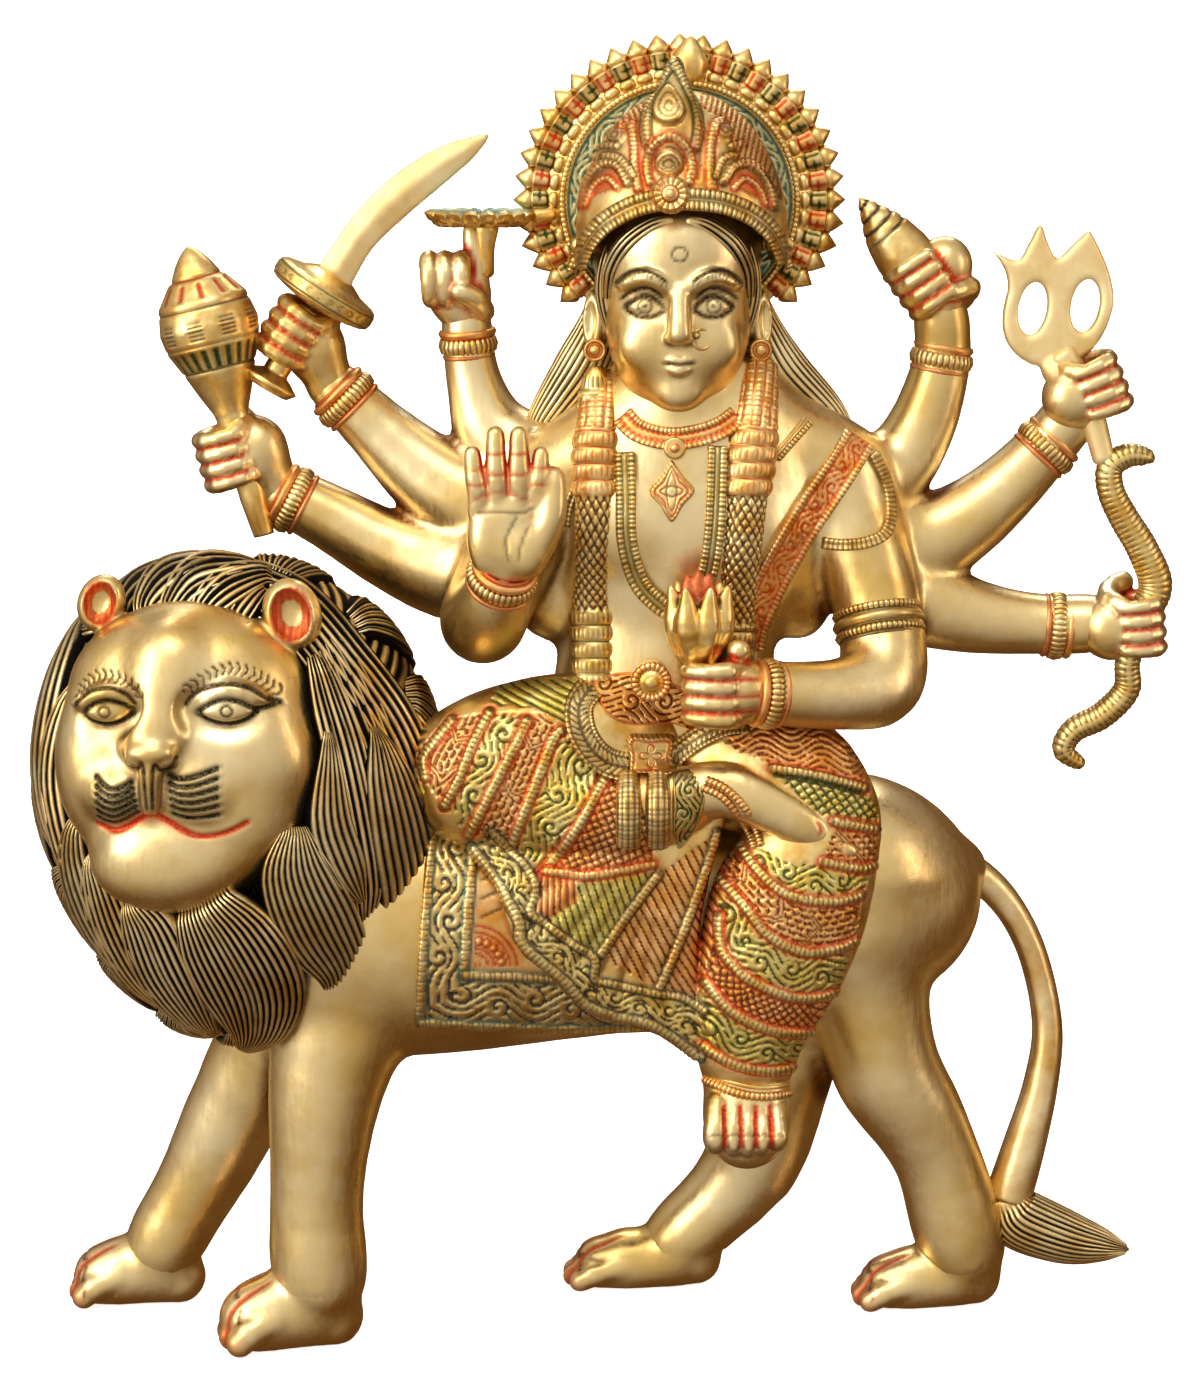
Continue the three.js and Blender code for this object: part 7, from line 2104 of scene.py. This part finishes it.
others.append(tube([[-26, -9, 431.5, 3], [-16, -6, 432.5, 3.2]], 1.0, 14))

# the lotus bud above the fist, and the rosette at the end of its stalk
bud = Clay([14, -86, 258], [60, -46, 308], budCell)
bud.egg((36, -67, 284), (9.5, 8.5, 13), 2)
bud.cone((38, -68, 268), (37, -68, 276), 5, 6.5, 3)
for k in range(7):
    a = math.radians(195 + 50 * k)
    tip = bud.blank()
    r = 8.4 if k % 2 else 7.4
    tip.limb([[36 + 3 * math.cos(a), -67 + 3 * math.sin(a), 273, 4.5],
              [36 + r * math.cos(a), -67 + r * 0.95 * math.sin(a), 284, 5.2],
              [36 + (r + 1.6) * math.cos(a), -67 + (r + 1) * math.sin(a), 293, 3],
              [36 + (r + 3) * math.cos(a), -67 + (r + 2) * math.sin(a), 299, 0.9]], 1.0, 1.0, 3)
    bud.add(tip)
for dx, dz in ((-3, 3), (3, 4), (0, 6)):
    inner = bud.blank()
    inner.limb([[36 + dx, -69, 290, 4.4], [36 + dx * 1.2, -69, 297 + dz * 0.5, 2.6],
                [36 + dx * 1.3, -69, 301 + dz * 0.5, 0.9]], 1)
    bud.add(inner)


def budLacquer(marks, normal, verts):
    top = ramp(verts[:, 2], 291, 297) * ramp(-np.hypot(verts[:, 0] - 36, verts[:, 1] + 67), -9.5, -7)
    marks.colour(0.85 * top, "red")
    marks.cover *= ramp(verts[:, 2], 274, 280)


others.append(bud.skin("green", 0.85, 0.4, 2.2, 3, None, budLacquer))
others.append(turned([[0, 0], [0, 6.4], [14, 6.6], [16, 5.6], [17, 3.6], [17.6, 2.6], [18.4, 2.2], [19, 0]],
                     (19, -50, 262.5), (19, -69.5, 263), 40, None, 0.8))
others.append(ring((19, -66, 262.9), (0, -1, 0), 6.0, 1.7, 1.8, "red", 1.0, guide=(0, 0, 1)))
makePiece("lotus_conch_discus", others, chasedBrass, 0.85)
print("held things done")


# The floor, the light and the camera
def lightPanel(name, at, aim, width, height, power, colour="#ffffff"):
    data = bpy.data.lights.new(name, "AREA")
    data.shape, data.size, data.size_y, data.energy = "RECTANGLE", width, height, power
    data.color = hexColour(colour)
    lamp = bpy.data.objects.new(name, data)
    bpy.context.scene.collection.objects.link(lamp)
    lamp.location = at
    lamp.rotation_euler = (Vector(aim) - Vector(at)).to_track_quat("-Z", "Y").to_euler()


studio = {
    "floorHalf": 8.0, "wallAt": 2.3, "wallCurve": 0.6, "wallTop": 2.4, "wallHalf": 2.2,
    "target": (-0.00168, 0.03643, 0.25095), "distance": 1.3208, "rise": 10.0, "lens": 86.52,
}
# a wide floor of paper that curves up into a wall behind the figure
half, wallAt, wide = studio["floorHalf"], studio["wallAt"], studio["wallHalf"]
corners = [(-half, -half, -0.0004), (half, -half, -0.0004), (half, wallAt, -0.0004), (-half, wallAt, -0.0004)]
faces = [(0, 1, 2, 3)]
for n in range(25):
    turn = math.radians(min(n, 24) * 3.75)
    y, z = wallAt + studio["wallCurve"] * math.sin(turn), studio["wallCurve"] * (1 - math.cos(turn))
    corners += [(-wide, y, z - 0.0004), (wide, y, z - 0.0004)]
corners += [(-wide, y, studio["wallTop"]), (wide, y, studio["wallTop"])]
faces += [(4 + 2 * n, 5 + 2 * n, 7 + 2 * n, 6 + 2 * n) for n in range(25)]
floorMesh = bpy.data.meshes.new("studio_floor")
floorMesh.from_pydata(corners, [], faces)
paper = bpy.data.materials.new("matt white paper")
paper.use_nodes = True
paperShader = paper.node_tree.nodes["Principled BSDF"]
paperShader.inputs["Base Color"].default_value = hexColour("#f4f4f3") + (1,)
paperShader.inputs["Roughness"].default_value = 0.95
# the paper is lit from below as well, as on a light table
paperShader.inputs["Emission Color"].default_value = (1, 1, 1, 1)
paperShader.inputs["Emission Strength"].default_value = 0.8
floorMesh.materials.append(paper)
floor = bpy.data.objects.new("studio_floor", floorMesh)
bpy.context.scene.collection.objects.link(floor)
# the brass mirrors the dim room, not the lit paper, so its undersides stay deep
floor.visible_glossy = False

lightPanel("key light", (-1.35, -1.0, 0.85), (-0.02, 0, 0.26), 1.1, 1.5, 19, "#fff8ec")
lightPanel("top light", (-0.2, -1.0, 1.9), (0, 0, 0.3), 1.3, 0.8, 11, "#fffaf0")
lightPanel("side light", (1.4, -0.5, 0.6), (0.05, 0, 0.25), 0.2, 1.0, 3.0, "#ffe9cf")
lightPanel("back light", (0.1, 1.2, 1.7), (0, 0, 0.3), 1.2, 0.6, 6)
lightPanel("wall light", (0, 1.3, 2.2), (0, 2.7, 0.4), 1.6, 0.4, 22)

world = bpy.data.worlds.new("studio")
bpy.context.scene.world = world
world.use_nodes = True
tree = world.node_tree
tree.nodes.clear()
# the room is light overhead and in front on the left, and brown and dim behind on the right
sky = addNode(tree, "ShaderNodeTexCoord").outputs["Generated"]
towards = addNode(tree, "ShaderNodeVectorMath", {1: (-0.2, -0.46, 0.4)}, {0: sky}, operation="DOT_PRODUCT")
fade = addNode(tree, "ShaderNodeMapRange", {"From Min": -0.3, "From Max": 0.62},
               {"Value": towards.outputs["Value"]})
tones = addNode(tree, "ShaderNodeMix", {6: (0.15, 0.07, 0.02, 1), 7: (1.0, 0.93, 0.8, 1)},
                {0: fade.outputs[0]}, data_type="RGBA")
glow = addNode(tree, "ShaderNodeBackground", {"Strength": 1.0}, {"Color": tones.outputs[2]})
addNode(tree, "ShaderNodeOutputWorld", {}, {"Surface": glow.outputs[0]})

rise = math.radians(studio["rise"])
target = Vector(studio["target"])
cameraData = bpy.data.cameras.new("camera")
cameraData.lens, cameraData.sensor_width, cameraData.clip_end = studio["lens"], 36.0, 200.0
camera = bpy.data.objects.new("camera", cameraData)
bpy.context.scene.collection.objects.link(camera)
camera.location = target + Vector((0, -math.cos(rise), math.sin(rise))) * studio["distance"]
camera.rotation_euler = (target - camera.location).to_track_quat("-Z", "Y").to_euler()
bpy.context.scene.camera = camera
bpy.context.scene.view_settings.view_transform = "Standard"
